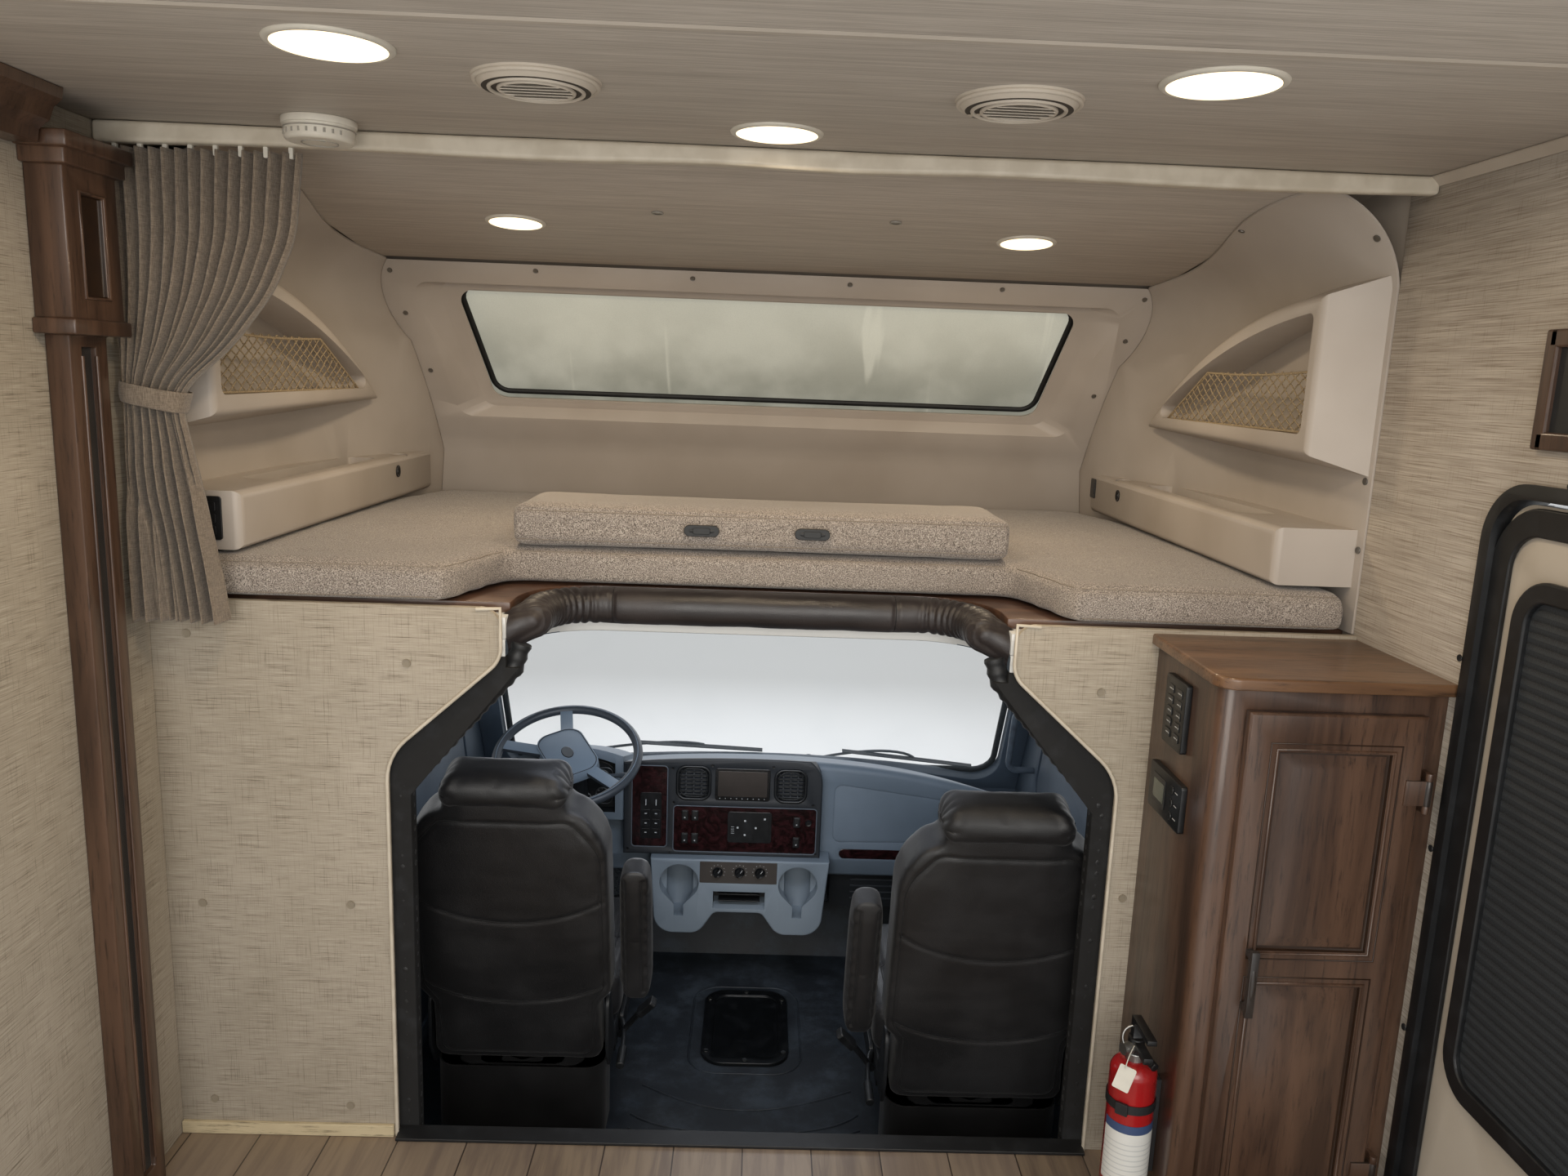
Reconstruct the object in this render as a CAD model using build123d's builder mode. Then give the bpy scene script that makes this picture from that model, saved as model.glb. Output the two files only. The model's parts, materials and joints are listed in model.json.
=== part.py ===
"""Front section of a motorhome: driving cab, over-cab bunk and the first metre of the living space.

Millimetres. +X is the vehicle's right, +Y forwards and +Z up. The origin is under the middle of the
bulkhead's inner face, at the foot of the chassis rails and in the middle of their four bolts.
"""

from math import cos, radians, sin, tan
import os

from build123d import *

# Coach body
HALF_ROOM = 1220
WALL = 50
REAR_CUT = -1080
RAIL_HEIGHT = 200
COACH_FLOOR = 620
FLOOR_THICK = 60
ROOM_HEIGHT = 2070
ROOF_THICK = 60
WALL_FOOT = 300
HALF_OUT = HALF_ROOM + WALL
CEILING = COACH_FLOOR + ROOM_HEIGHT
ROOF_TOP = CEILING + ROOF_THICK

# Bulkhead between the living space and the cab, inner face at Y = 0
BULKHEAD_THICK = 18
BUNK_HEIGHT = 1187
BUNK_TOP = COACH_FLOOR + BUNK_HEIGHT
OPENING_HALF = 757
NOSE_HALF = 522
NOSE_DROP = 107
DIAGONAL_DROP = 317

# Over-cab nose and what lines it
SKIN = 45
BUNK_BOARD = 22
MATTRESS = 90
FILLER_THICK = 92
NOSE_FLOOR = BUNK_TOP - BUNK_BOARD - SKIN
PANEL_TOP = (1050, CEILING - 115)
PANEL_FOOT = (1430, CEILING - 670)
NOSE_STANDOFF = 100
CEILING_DROP = 0.1045
LINER = 5

# Notch in the bunk, and the padded roll round its edge
ROLL_R = 45
ROLL_HALF = 470
ROLL_DEPTH = 240
ROLL_BEND = 120
ROLL_Z = BUNK_TOP - 35
FIT = 1

# Driving cab
CAB_DROP = 340
CAB_HALF = 1010
CAB_WALL = 45
CAB_FRONT = 1740
CAB_FLOOR = COACH_FLOOR - CAB_DROP
MAT = 30
CAB_ROOF = NOSE_FLOOR
CAB_REAR = BULKHEAD_THICK + 0.3
DASH_FACE = 1190
DASH_HALF = CAB_HALF - CAB_WALL - 0.3

SIDES = {"left": -1, "right": 1}

os.makedirs("parts", exist_ok=True)


def save(builder, name):
    """Label a finished piece and write it under its node's name."""
    builder.part.label = name
    export_step(builder.part, f"parts/{name}.step")


def save_mirrored(builder, name):
    """Write the same piece reflected to the other side of the vehicle."""
    with BuildPart() as other:
        add(mirror(builder.part, about=Plane.YZ, mode=Mode.PRIVATE))
    save(other, name)


def block(x, y, z, mode=Mode.ADD):
    """A box between two X, two Y and two Z values, in the part being built."""
    with Locations(((x[0] + x[1]) / 2, (y[0] + y[1]) / 2, (z[0] + z[1]) / 2)):
        Box(x[1] - x[0], y[1] - y[0], z[1] - z[0], mode=mode)


def side_slab(points, x, mode=Mode.ADD, radius=0, corners=None):
    """A YZ outline run across from x[0] to x[1]; the listed corners are rounded."""
    with BuildSketch(Plane.YZ.offset(x[0])) as outline:
        with BuildLine():
            Polyline(*points, close=True)
        make_face()
        if radius:
            round_corners(outline, points, corners, radius)
    extrude(outline.sketch, amount=x[1] - x[0], mode=mode)


def front_slab(points, y, mode=Mode.ADD, corners=()):
    """An XZ outline run forwards from y[0] to y[1]; corners lists (index, radius)."""
    with BuildSketch(Plane.XZ.offset(-y[1])) as outline:
        with BuildLine():
            Polyline(*points, close=True)
        make_face()
        for index, radius in corners:
            round_corners(outline, points, [index], radius)
    extrude(outline.sketch, amount=y[1] - y[0], mode=mode)


def round_corners(outline, points, corners, radius):
    """Fillet the sketch's corners that lie at the listed points."""
    chosen = [points[index] for index in corners or range(len(points))]
    fillet([outline.vertices().sort_by_distance(Vector(*spot))[0] for spot in chosen], radius)


def on_wall(x):
    """The YZ plane at x, whose local axes are Y and Z."""
    return Plane.YZ.offset(x)


# Hinges: a barrel on the door between two lugs on what carries it
BARREL = 46
BARREL_R = 7
LUG = 14
PIN_GAP = 0.3


def hinge_barrel(axis, z, strap_x, strap_y):
    """The door's half of a hinge: a barrel on the axis, carried by a strap."""
    with Locations((axis[0], axis[1], z)):
        Cylinder(BARREL_R, BARREL)
    block(strap_x, strap_y, (z - BARREL / 2, z + BARREL / 2))


def hinge_lugs(axis, z, foot_x, foot_y):
    """The fixed half: a lug above the barrel and one below it, each on its own foot."""
    for side in SIDES.values():
        middle = z + side * (BARREL / 2 + PIN_GAP + LUG / 2)
        with Locations((axis[0], axis[1], middle)):
            Cylinder(BARREL_R, LUG)
        block(foot_x, foot_y, (middle - LUG / 2, middle + LUG / 2))


# Chassis rails and the beams that carry the living-space floor
RAIL_X = 430
RAIL_FLANGE = 75
RAIL_PLATE = 8
RAIL_END = 1400
TUBE_Z = (60, 140)
BOLT_X = 392
BOLT_Y = 400
BOLT_R = 8.5

with BuildPart() as rails:
    for side in SIDES.values():
        web = sorted((side * RAIL_X, side * (RAIL_X - RAIL_PLATE)))
        flange = sorted((side * RAIL_X, side * (RAIL_X - RAIL_FLANGE)))
        block(web, (REAR_CUT, RAIL_END), (0, RAIL_HEIGHT))
        block(flange, (REAR_CUT, RAIL_END), (0, RAIL_PLATE))
        block(flange, (REAR_CUT, RAIL_END), (RAIL_HEIGHT - RAIL_PLATE, RAIL_HEIGHT))
    for tube_y in (-800, 100, 1150):
        block((-RAIL_X + 4, RAIL_X - 4), (tube_y, tube_y + 80), TUBE_Z)
    with GridLocations(2 * BOLT_X, 2 * BOLT_Y, 2, 2):
        Cylinder(BOLT_R, 3 * RAIL_PLATE, mode=Mode.SUBTRACT)
save(rails, "chassis_rails")

BEAM_WIDTH = 50
BEAM_TIP = 80
with BuildPart() as beams:
    top = COACH_FLOOR - FLOOR_THICK
    shape = [
        (-HALF_ROOM, top), (-HALF_ROOM, top - BEAM_TIP), (-RAIL_X - 40, RAIL_HEIGHT),
        (RAIL_X + 40, RAIL_HEIGHT), (HALF_ROOM, top - BEAM_TIP), (HALF_ROOM, top),
    ]
    for beam_y in (-1075, -330, -110):
        front_slab(shape, (beam_y, beam_y + BEAM_WIDTH))
save(beams, "floor_beams")

# Living-space floor, with the well of the entry step
WELL_X = 780
WELL_Y = (-1016, -366)
WELL_FOOT = 340
WELL_PLATE = 16
DOOR_Y = WELL_Y
DOOR_Z = (WELL_FOOT, 2150)
DOOR_CORNER = 90

with BuildPart() as floor:
    block((-HALF_ROOM, HALF_ROOM), (REAR_CUT, BULKHEAD_THICK), (COACH_FLOOR - FLOOR_THICK, COACH_FLOOR))
    block((WELL_X, HALF_ROOM), WELL_Y, (COACH_FLOOR - FLOOR_THICK, COACH_FLOOR), Mode.SUBTRACT)
save(floor, "coach_floor")

with BuildPart() as step:
    block((WELL_X, HALF_ROOM), WELL_Y, (WELL_FOOT, COACH_FLOOR))
    inner_y = (WELL_Y[0] + WELL_PLATE, WELL_Y[1] - WELL_PLATE)
    step_top = WELL_FOOT + WELL_PLATE
    block((WELL_X + WELL_PLATE, HALF_ROOM), inner_y, (step_top, COACH_FLOOR + 1), Mode.SUBTRACT)
    block((WELL_X, WELL_X + 200), inner_y, (WELL_FOOT, (step_top + COACH_FLOOR - FLOOR_THICK) / 2))
save(step, "entry_step")

# Side walls, with a return at the front beside the cab
RETURN_THICK = 40


def wall_blocks():
    """A side wall and the return that closes the coach beside the cab."""
    block((HALF_ROOM, HALF_OUT), (REAR_CUT, BULKHEAD_THICK), (WALL_FOOT, CEILING))
    block((CAB_HALF + 12, HALF_OUT), (BULKHEAD_THICK, BULKHEAD_THICK + RETURN_THICK), (WALL_FOOT, NOSE_FLOOR))


with BuildPart() as right_wall:
    wall_blocks()
    with BuildSketch(on_wall(HALF_ROOM)):
        with Locations((sum(DOOR_Y) / 2, sum(DOOR_Z) / 2)):
            RectangleRounded(DOOR_Y[1] - DOOR_Y[0], DOOR_Z[1] - DOOR_Z[0], DOOR_CORNER)
    extrude(amount=WALL, mode=Mode.SUBTRACT)
save(right_wall, "right_side_wall")

with BuildPart() as left_wall_mould:
    wall_blocks()
save_mirrored(left_wall_mould, "left_side_wall")

with BuildPart() as roof:
    block((-HALF_OUT, HALF_OUT), (REAR_CUT, BULKHEAD_THICK), (CEILING, ROOF_TOP))
    fillet(roof.edges().filter_by(Axis.Y).group_by(Axis.Z)[-1], 30)
save(roof, "roof_panel")


# Entry door: a flanged frame in the wall, a leaf hinged at its front edge and a dark pane
FRAME_LIP = 30
FRAME_PLATE = 14
LEAF_GAP = 8
LEAF_X = (HALF_ROOM + 10, HALF_OUT - 2)
PANE_GAP = 0.4
PANE_Z = (1130, 1990)
ENTRY_AXIS = (HALF_OUT + 12, DOOR_Y[1] - FRAME_PLATE + 2)
ENTRY_HINGE_Z = (520, 1250, 1980)


def wall_ring(x, outer, inner, corner):
    """A rounded ring on the wall: outer and inner give the growth of the door opening."""
    with BuildSketch(on_wall(x[0])) as ring:
        with Locations((sum(DOOR_Y) / 2, sum(DOOR_Z) / 2)):
            for grow, mode in ((outer, Mode.ADD), (inner, Mode.SUBTRACT)):
                width = DOOR_Y[1] - DOOR_Y[0] + 2 * grow
                height = DOOR_Z[1] - DOOR_Z[0] + 2 * grow
                RectangleRounded(width, height, corner + grow, mode=mode)
    extrude(ring.sketch, amount=x[1] - x[0])


with BuildPart() as entry_frame:
    wall_ring((HALF_ROOM - 10, HALF_ROOM), FRAME_LIP - 20, -FRAME_PLATE, DOOR_CORNER)
    block((HALF_ROOM - 11, HALF_ROOM), (REAR_CUT, 0), (0, COACH_FLOOR + 0.3), Mode.SUBTRACT)
    wall_ring((HALF_ROOM, HALF_OUT), 0, -FRAME_PLATE, DOOR_CORNER)
    wall_ring((HALF_OUT, HALF_OUT + 3), FRAME_LIP, -FRAME_PLATE, DOOR_CORNER)
    for z in ENTRY_HINGE_Z:
        hinge_lugs(ENTRY_AXIS, z, (HALF_OUT, ENTRY_AXIS[0]), (ENTRY_AXIS[1], ENTRY_AXIS[1] + 30))
save(entry_frame, "entry_door_frame")

LEAF_Y = (DOOR_Y[0] + FRAME_PLATE + LEAF_GAP, DOOR_Y[1] - FRAME_PLATE - LEAF_GAP)
LEAF_Z = (DOOR_Z[0] + FRAME_PLATE + LEAF_GAP, DOOR_Z[1] - FRAME_PLATE - LEAF_GAP)
PANE_MARGIN = 85
PANE_CORNER = 60


def leaf_rect(y, z, corner, grow=0):
    """A rounded rectangle in Y and Z on the door's plane."""
    with Locations((sum(y) / 2, sum(z) / 2)):
        RectangleRounded(y[1] - y[0] + 2 * grow, z[1] - z[0] + 2 * grow, corner)


with BuildPart() as entry_leaf:
    with BuildSketch(on_wall(LEAF_X[0])):
        leaf_rect(LEAF_Y, LEAF_Z, DOOR_CORNER - FRAME_PLATE - LEAF_GAP)
    extrude(amount=LEAF_X[1] - LEAF_X[0])
    with BuildSketch(on_wall(LEAF_X[0])):
        leaf_rect((LEAF_Y[0] + PANE_MARGIN, LEAF_Y[1] - PANE_MARGIN), PANE_Z, PANE_CORNER)
    extrude(amount=LEAF_X[1] - LEAF_X[0], mode=Mode.SUBTRACT)
    for z in ENTRY_HINGE_Z:
        hinge_barrel(ENTRY_AXIS, z, (LEAF_X[1] + 8, ENTRY_AXIS[0]), (LEAF_Y[1] - 2, ENTRY_AXIS[1]))
        block((LEAF_X[1], ENTRY_AXIS[0]), (LEAF_Y[1] - 50, LEAF_Y[1] - 1), (z - BARREL / 2, z + BARREL / 2))
save(entry_leaf, "entry_door")

with BuildPart() as entry_pane:
    with BuildSketch(on_wall(LEAF_X[0] + 14)):
        leaf_rect((LEAF_Y[0] + PANE_MARGIN, LEAF_Y[1] - PANE_MARGIN), PANE_Z, PANE_CORNER, -PANE_GAP)
    extrude(amount=6)
save(entry_pane, "entry_door_window")


# Over-cab nose: a side outline and a plan outline, crossed
NOSE_REAR = BULKHEAD_THICK
SLOPE = Vector(0, PANEL_TOP[0] - PANEL_FOOT[0], PANEL_TOP[1] - PANEL_FOOT[1]).normalized()
INWARD = Vector(0, -SLOPE.Z, SLOPE.Y)
WINDOW_Y = 1224
WINDOW_Z = PANEL_TOP[1] - (WINDOW_Y - PANEL_TOP[0]) * SLOPE.Z / -SLOPE.Y
WINDOW_MID = Vector(0, WINDOW_Y, WINDOW_Z)
NOSE_TIP_Z = 1885
NOSE_LIP = (1600, 1800)
NOSE_BROW = 1490
NOSE_TOP_Z = ROOF_TOP - 90


def along_slope(z, standoff):
    """Y at height z on the window panel's plane, moved outwards by standoff."""
    start = WINDOW_MID - INWARD * standoff
    return start.Y + (z - start.Z) * SLOPE.Y / SLOPE.Z


def nose_side(rear, x, inset=0, mode=Mode.ADD):
    """The nose's side outline, shrunk by inset, run across between two X values."""
    nose_top_y = along_slope(NOSE_TOP_Z, NOSE_STANDOFF)
    fall = (ROOF_TOP - NOSE_TOP_Z) / (nose_top_y - NOSE_REAR)
    points = [
        (rear, NOSE_FLOOR), (NOSE_BROW, NOSE_FLOOR), NOSE_LIP,
        (along_slope(NOSE_TIP_Z, NOSE_STANDOFF), NOSE_TIP_Z),
        (nose_top_y, NOSE_TOP_Z), (rear, ROOF_TOP + (NOSE_REAR - rear) * fall),
    ]
    with BuildSketch(on_wall(x[0])) as outline:
        with BuildLine():
            Polyline(*points, close=True)
        make_face()
        for index, radius in ((1, 60), (2, 30), (3, 60), (4, 120)):
            round_corners(outline, points, [index], radius)
        if inset:
            offset(amount=-inset, kind=Kind.INTERSECTION)
    extrude(outline.sketch, amount=x[1] - x[0], mode=mode)


PLAN_STRAIGHT = 450
PLAN_FRONT = (HALF_OUT - 160, 1665)


def nose_plan(rear, inset=0):
    """The nose's plan outline: straight sides that curve in to rounded front corners."""
    with BuildSketch() as plan:
        with BuildLine():
            a = Line((HALF_OUT, rear), (HALF_OUT, PLAN_STRAIGHT))
            b = TangentArc(a @ 1, PLAN_FRONT, tangent=(0, 1))
            Line(b @ 1, (-PLAN_FRONT[0], PLAN_FRONT[1]))
            Line((-HALF_OUT, rear), (-HALF_OUT, PLAN_STRAIGHT))
            TangentArc((-HALF_OUT, PLAN_STRAIGHT), (-PLAN_FRONT[0], PLAN_FRONT[1]), tangent=(0, 1))
            Line((-HALF_OUT, rear), (HALF_OUT, rear))
        make_face()
        fillet(plan.vertices().group_by(Axis.Y)[-1], 150)
        if inset:
            offset(amount=-inset, kind=Kind.INTERSECTION)
    return plan.sketch


def nose_solid(rear, inset):
    """A closed nose, shrunk by inset all round."""
    with BuildPart() as nose:
        nose_side(rear, (-HALF_OUT - 10, HALF_OUT + 10), inset)
        extrude(nose_plan(rear, inset), amount=ROOF_TOP + 100, mode=Mode.INTERSECT)
    return nose.part


def notch_outline(grow):
    """The notch over the cab doorway: the roll's centre line moved outwards by grow."""
    half, depth, bend = ROLL_HALF + grow, ROLL_DEPTH + grow, ROLL_BEND + grow
    with BuildSketch() as notch:
        with Locations((0, (depth - 100) / 2)):
            Rectangle(2 * half, depth + 100)
        fillet(notch.vertices().group_by(Axis.Y)[-1], bend)
    return notch.sketch


WINDOW_TOP_HALF = 907
WINDOW_FOOT_HALF = 843
WINDOW_HALF_RISE = 189
WINDOW_CORNER = 45
window_plane = Plane(origin=WINDOW_MID, x_dir=(1, 0, 0), z_dir=INWARD)


def window_shape(grow=0):
    """The window's trapezium with rounded corners, on the panel's plane."""
    top, foot, rise = WINDOW_TOP_HALF + grow, WINDOW_FOOT_HALF + grow, WINDOW_HALF_RISE + grow
    with BuildSketch(window_plane) as pane:
        with BuildLine():
            Polyline((-foot, -rise), (foot, -rise), (top, rise), (-top, rise), close=True)
        make_face()
        fillet(pane.vertices(), WINDOW_CORNER + grow)
    return pane.sketch


nose_room = nose_solid(-300, SKIN)

with BuildPart() as nose_cap:
    add(nose_solid(NOSE_REAR, 0))
    add(nose_room, mode=Mode.SUBTRACT)
    extrude(window_shape(24), amount=-2 * NOSE_STANDOFF, mode=Mode.SUBTRACT)
    extrude(notch_outline(ROLL_R + FIT), amount=BUNK_TOP, mode=Mode.SUBTRACT)
save(nose_cap, "nose_cap")

with BuildPart() as nose_window:
    extrude(window_shape(23.6), amount=-(NOSE_STANDOFF - 12))
    extrude(window_shape(60), amount=-(NOSE_STANDOFF - 20), mode=Mode.SUBTRACT)
save(nose_window, "nose_window")

# Moulded panel round the nose window, recessed towards the glass
RECESS_DEPTH = 46
RECESS_OUTER = (1026, 950, 232)
RECESS_INNER = (962, 882, 218)
PANEL_THICK = 6
PANEL_RISE = 300
PANEL_DEPTH = 372
SEAM = 0.6


def recess_face(sizes, depth, grow):
    """One level of the recess: top half-width, foot half-width and half-rise."""
    top, foot, rise = (size + grow for size in sizes)
    with BuildSketch(window_plane.offset(-depth)) as face:
        with BuildLine():
            Polyline((-foot, -rise), (foot, -rise), (top, rise), (-top, rise), close=True)
        make_face()
        fillet(face.vertices(), 50 + grow)
    return face.sketch



# Bunk liners: Y of a section, X of the wall's foot and of its top, Z of that top, X of the ceiling joint
LINER_SECTIONS = (
    (NOSE_REAR, HALF_ROOM - 4, HALF_ROOM - 4, 2500, HALF_ROOM - 168),
    (520, HALF_ROOM - 4, HALF_ROOM - 4, 2440, HALF_ROOM - 160),
    (960, HALF_ROOM - 55, HALF_ROOM - 74, 2385, HALF_ROOM - 131),
    (1210, HALF_ROOM - 120, HALF_ROOM - 168, 2350, HALF_ROOM - 190),
    (1470, HALF_ROOM - 185, HALF_ROOM - 216, 2320, HALF_ROOM - 240),
)
skirt_y = along_slope(BUNK_TOP + 210, 0)
LINER_FOOT = BUNK_TOP + FIT
JOINT_Z = CEILING - 14


def joint_height(y):
    """Height of the joint between liner and bunk ceiling, which falls forwards."""
    return JOINT_Z - CEILING_DROP * (y - NOSE_REAR)


def cove(wall, wall_top, joint, joint_z):
    """The arc from the straight wall up to the ceiling joint."""
    middle = ((wall + joint) / 2 + 30, (wall_top + joint_z) / 2 + 26)
    return ThreePointArc((wall, wall_top), middle, (joint, joint_z))


def liner_section(y, foot, wall, wall_top, joint, thick):
    """The thin moulded section at y, from the bunk board to the ceiling joint."""
    joint_z = joint_height(y)
    with BuildSketch(Plane.XZ.offset(-y)) as face:
        with BuildLine():
            Line((foot, LINER_FOOT), (wall, wall_top))
            cove(wall, wall_top, joint, joint_z)
            Line((joint, joint_z), (joint, joint_z + thick))
            cove(wall + thick, wall_top, joint, joint_z + thick)
            Line((wall + thick, wall_top), (foot + thick, LINER_FOOT))
            Line((foot + thick, LINER_FOOT), (foot, LINER_FOOT))
        make_face()
    return face.sketch


def liner_space(grow):
    """The solid space inside the liner, out to its wall grown by grow."""
    faces = []
    for y, foot, wall, wall_top, joint in LINER_SECTIONS:
        joint_z = joint_height(y)
        with BuildSketch(Plane.XZ.offset(-y)) as face:
            with BuildLine():
                Line((foot + grow, LINER_FOOT), (wall + grow, wall_top))
                cove(wall + grow, wall_top, joint, joint_z)
                Polyline((joint, joint_z), (0, joint_z), (0, LINER_FOOT), (foot + grow, LINER_FOOT))
            make_face()
        faces.append(face.sketch)
    with BuildPart() as space:
        loft(faces)
    return space.part


# Storage pocket and tray in each liner
POCKET_X = (HALF_ROOM - 125, HALF_ROOM + 10)
POCKET_FACE = ((60, 2168), (1035, 2185), (570, 2400), (60, 2482))
POCKET_BASE = ((25, 2125), (1085, 2160), (580, 2450), (25, 2530))
POCKET_HOLE = ((92, 2207), (985, 2213), (580, 2368), (92, 2452))
TRAY_X = HALF_ROOM - 175
TRAY_Y = (40, 1340)
TRAY_TOP = BUNK_TOP + 213
TRAY_FOOT = BUNK_TOP + MATTRESS + 4
BIN_X = (TRAY_X + 37, TRAY_X + 121)
BIN_Y = (300, 960)
BIN_DEPTH = 95
CUP = (TRAY_X + 32, 1130, 26)


def pocket_outline(x, points):
    """A quarter-arch outline: rear foot, front tip, a point on the arch and its rear top."""
    foot, tip, arch, top = points
    with BuildSketch(on_wall(x)) as face:
        with BuildLine():
            Line(foot, tip)
            ThreePointArc(tip, arch, top)
            Line(top, foot)
        make_face()
    return face.sketch


def tray_shape():
    """The long tray: rounded outer edges, a bin and a cup hole sunk in its top."""
    with BuildPart() as tray:
        block((TRAY_X, HALF_ROOM), TRAY_Y, (TRAY_FOOT, TRAY_TOP))
        inner = tray.edges().filter_by(Axis.Y).group_by(Axis.X)[0]
        corner = tray.edges().filter_by(Axis.Z).group_by(Axis.X)[0].sort_by(Axis.Y)[0]
        fillet([*inner, corner], 18)
        with BuildSketch(Plane.XY.offset(TRAY_TOP)):
            with Locations((sum(BIN_X) / 2, sum(BIN_Y) / 2)):
                RectangleRounded(BIN_X[1] - BIN_X[0], BIN_Y[1] - BIN_Y[0], 25)
        extrude(amount=-BIN_DEPTH, mode=Mode.SUBTRACT)
        with Locations((CUP[0], CUP[1], TRAY_TOP - 30)):
            Cylinder(CUP[2], 60, mode=Mode.SUBTRACT)
    return tray.part


with BuildPart() as pocket_void:
    hole = pocket_outline(POCKET_X[0] - 5, POCKET_HOLE)
    extrude(hole, amount=POCKET_X[1] - POCKET_X[0] + 5)
    fillet(pocket_void.edges().filter_by(Axis.X), 18)
    add(liner_space(-6), mode=Mode.INTERSECT)

with BuildPart() as pocket_box:
    loft([pocket_outline(POCKET_X[1], POCKET_BASE), pocket_outline(POCKET_X[0], POCKET_FACE)])
    fillet(pocket_box.faces().sort_by(Axis.X)[0].edges(), 16)
    add(liner_space(LINER), mode=Mode.INTERSECT)

with BuildPart() as tray_fit:
    add(tray_shape())
    add(liner_space(LINER), mode=Mode.INTERSECT)

front_cut = Plane(origin=WINDOW_MID + INWARD * 0.5, x_dir=(1, 0, 0), z_dir=INWARD)
SKIRT_GAP = 0.5
with BuildPart() as right_liner:
    loft([liner_section(*row, LINER) for row in LINER_SECTIONS])
    add(pocket_box.part)
    add(tray_fit.part)
    add(pocket_void.part, mode=Mode.SUBTRACT)
    split(bisect_by=front_cut, keep=Keep.TOP)
    block((700, HALF_ROOM), (skirt_y - SKIRT_GAP, 2000), (BUNK_TOP, BUNK_TOP + 400), Mode.SUBTRACT)
save(right_liner, "right_bunk_liner")
save_mirrored(right_liner, "left_bunk_liner")

# The window's panel and the skirt under it fill the space between the two liners
with BuildPart() as surround:
    with BuildSketch(window_plane):
        with Locations((0, (PANEL_RISE - PANEL_DEPTH) / 2)):
            Rectangle(HALF_ROOM, PANEL_RISE + PANEL_DEPTH, align=(Align.MIN, Align.CENTER))
    extrude(amount=-PANEL_THICK)
    block((0, HALF_ROOM), (skirt_y, skirt_y + PANEL_THICK), (BUNK_TOP + FIT, BUNK_TOP + 212))
    add(liner_space(-SEAM), mode=Mode.INTERSECT)
    mirror(about=Plane.YZ)
    loft([recess_face(RECESS_OUTER, 0, PANEL_THICK), recess_face(RECESS_INNER, RECESS_DEPTH, PANEL_THICK)])
    loft(
        [recess_face(RECESS_OUTER, 0, 0), recess_face(RECESS_INNER, RECESS_DEPTH - PANEL_THICK, 0)],
        mode=Mode.SUBTRACT,
    )
    extrude(window_shape(), amount=-2 * RECESS_DEPTH, mode=Mode.SUBTRACT)
save(surround, "window_surround")

# Elastic nets across the foot of the two pockets
NET_X = POCKET_X[0] + 9
NET_TOP = 2334
NET_THICK = 3
with BuildPart() as nets:
    for side in SIDES.values():
        with BuildSketch(on_wall(side * NET_X)):
            with BuildLine():
                foot, tip = POCKET_HOLE[0], POCKET_HOLE[1]
                Polyline(
                    (foot[0] + 8, foot[1] + 4), (tip[0] - 90, tip[1] + 4), (tip[0] - 345, NET_TOP),
                    (foot[0] + 1, NET_TOP), (foot[0] + 1, foot[1] + 18), close=True,
                )
            make_face()
        extrude(amount=side * NET_THICK)
save(nets, "pocket_nets")

# Bunk ceiling, board and cushions
CEILING_SHEET = 6
JOINT_LAP = 14
CEILING_END = 1040
with BuildPart() as bunk_ceiling:
    lift = LINER + 0.5
    start, end = joint_height(NOSE_REAR) + lift, joint_height(CEILING_END) + lift
    side_slab(
        [(NOSE_REAR, start), (CEILING_END, end), (CEILING_END, end + CEILING_SHEET), (NOSE_REAR, start + CEILING_SHEET)],
        (-HALF_ROOM, HALF_ROOM),
    )
    for side in SIDES.values():
        with BuildSketch() as trim:
            with BuildLine():
                Polyline(
                    (side * (LINER_SECTIONS[0][4] + JOINT_LAP), 0), (side * (LINER_SECTIONS[2][4] + JOINT_LAP), CEILING_END),
                    (side * 2 * HALF_ROOM, CEILING_END), (side * 2 * HALF_ROOM, 0), close=True,
                )
            make_face()
        extrude(trim.sketch, amount=ROOF_TOP, mode=Mode.SUBTRACT)
save(bunk_ceiling, "bunk_ceiling")

BOARD_GAP = 2
with BuildPart() as board:
    extrude(nose_plan(NOSE_REAR, SKIN + BOARD_GAP), amount=BUNK_TOP)
    block((-HALF_OUT, HALF_OUT), (-200, 2000), (-10, BUNK_TOP - BUNK_BOARD + 0.3), Mode.SUBTRACT)
    block((-HALF_OUT, HALF_OUT), (-200, NOSE_REAR), (-10, BUNK_TOP + 10), Mode.SUBTRACT)
    block((-HALF_OUT, HALF_OUT), (skirt_y + PANEL_THICK + 2, 2000), (-10, BUNK_TOP + 10), Mode.SUBTRACT)
    extrude(notch_outline(ROLL_R + FIT), amount=BUNK_TOP + 10, mode=Mode.SUBTRACT)
save(board, "bunk_board")

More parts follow.
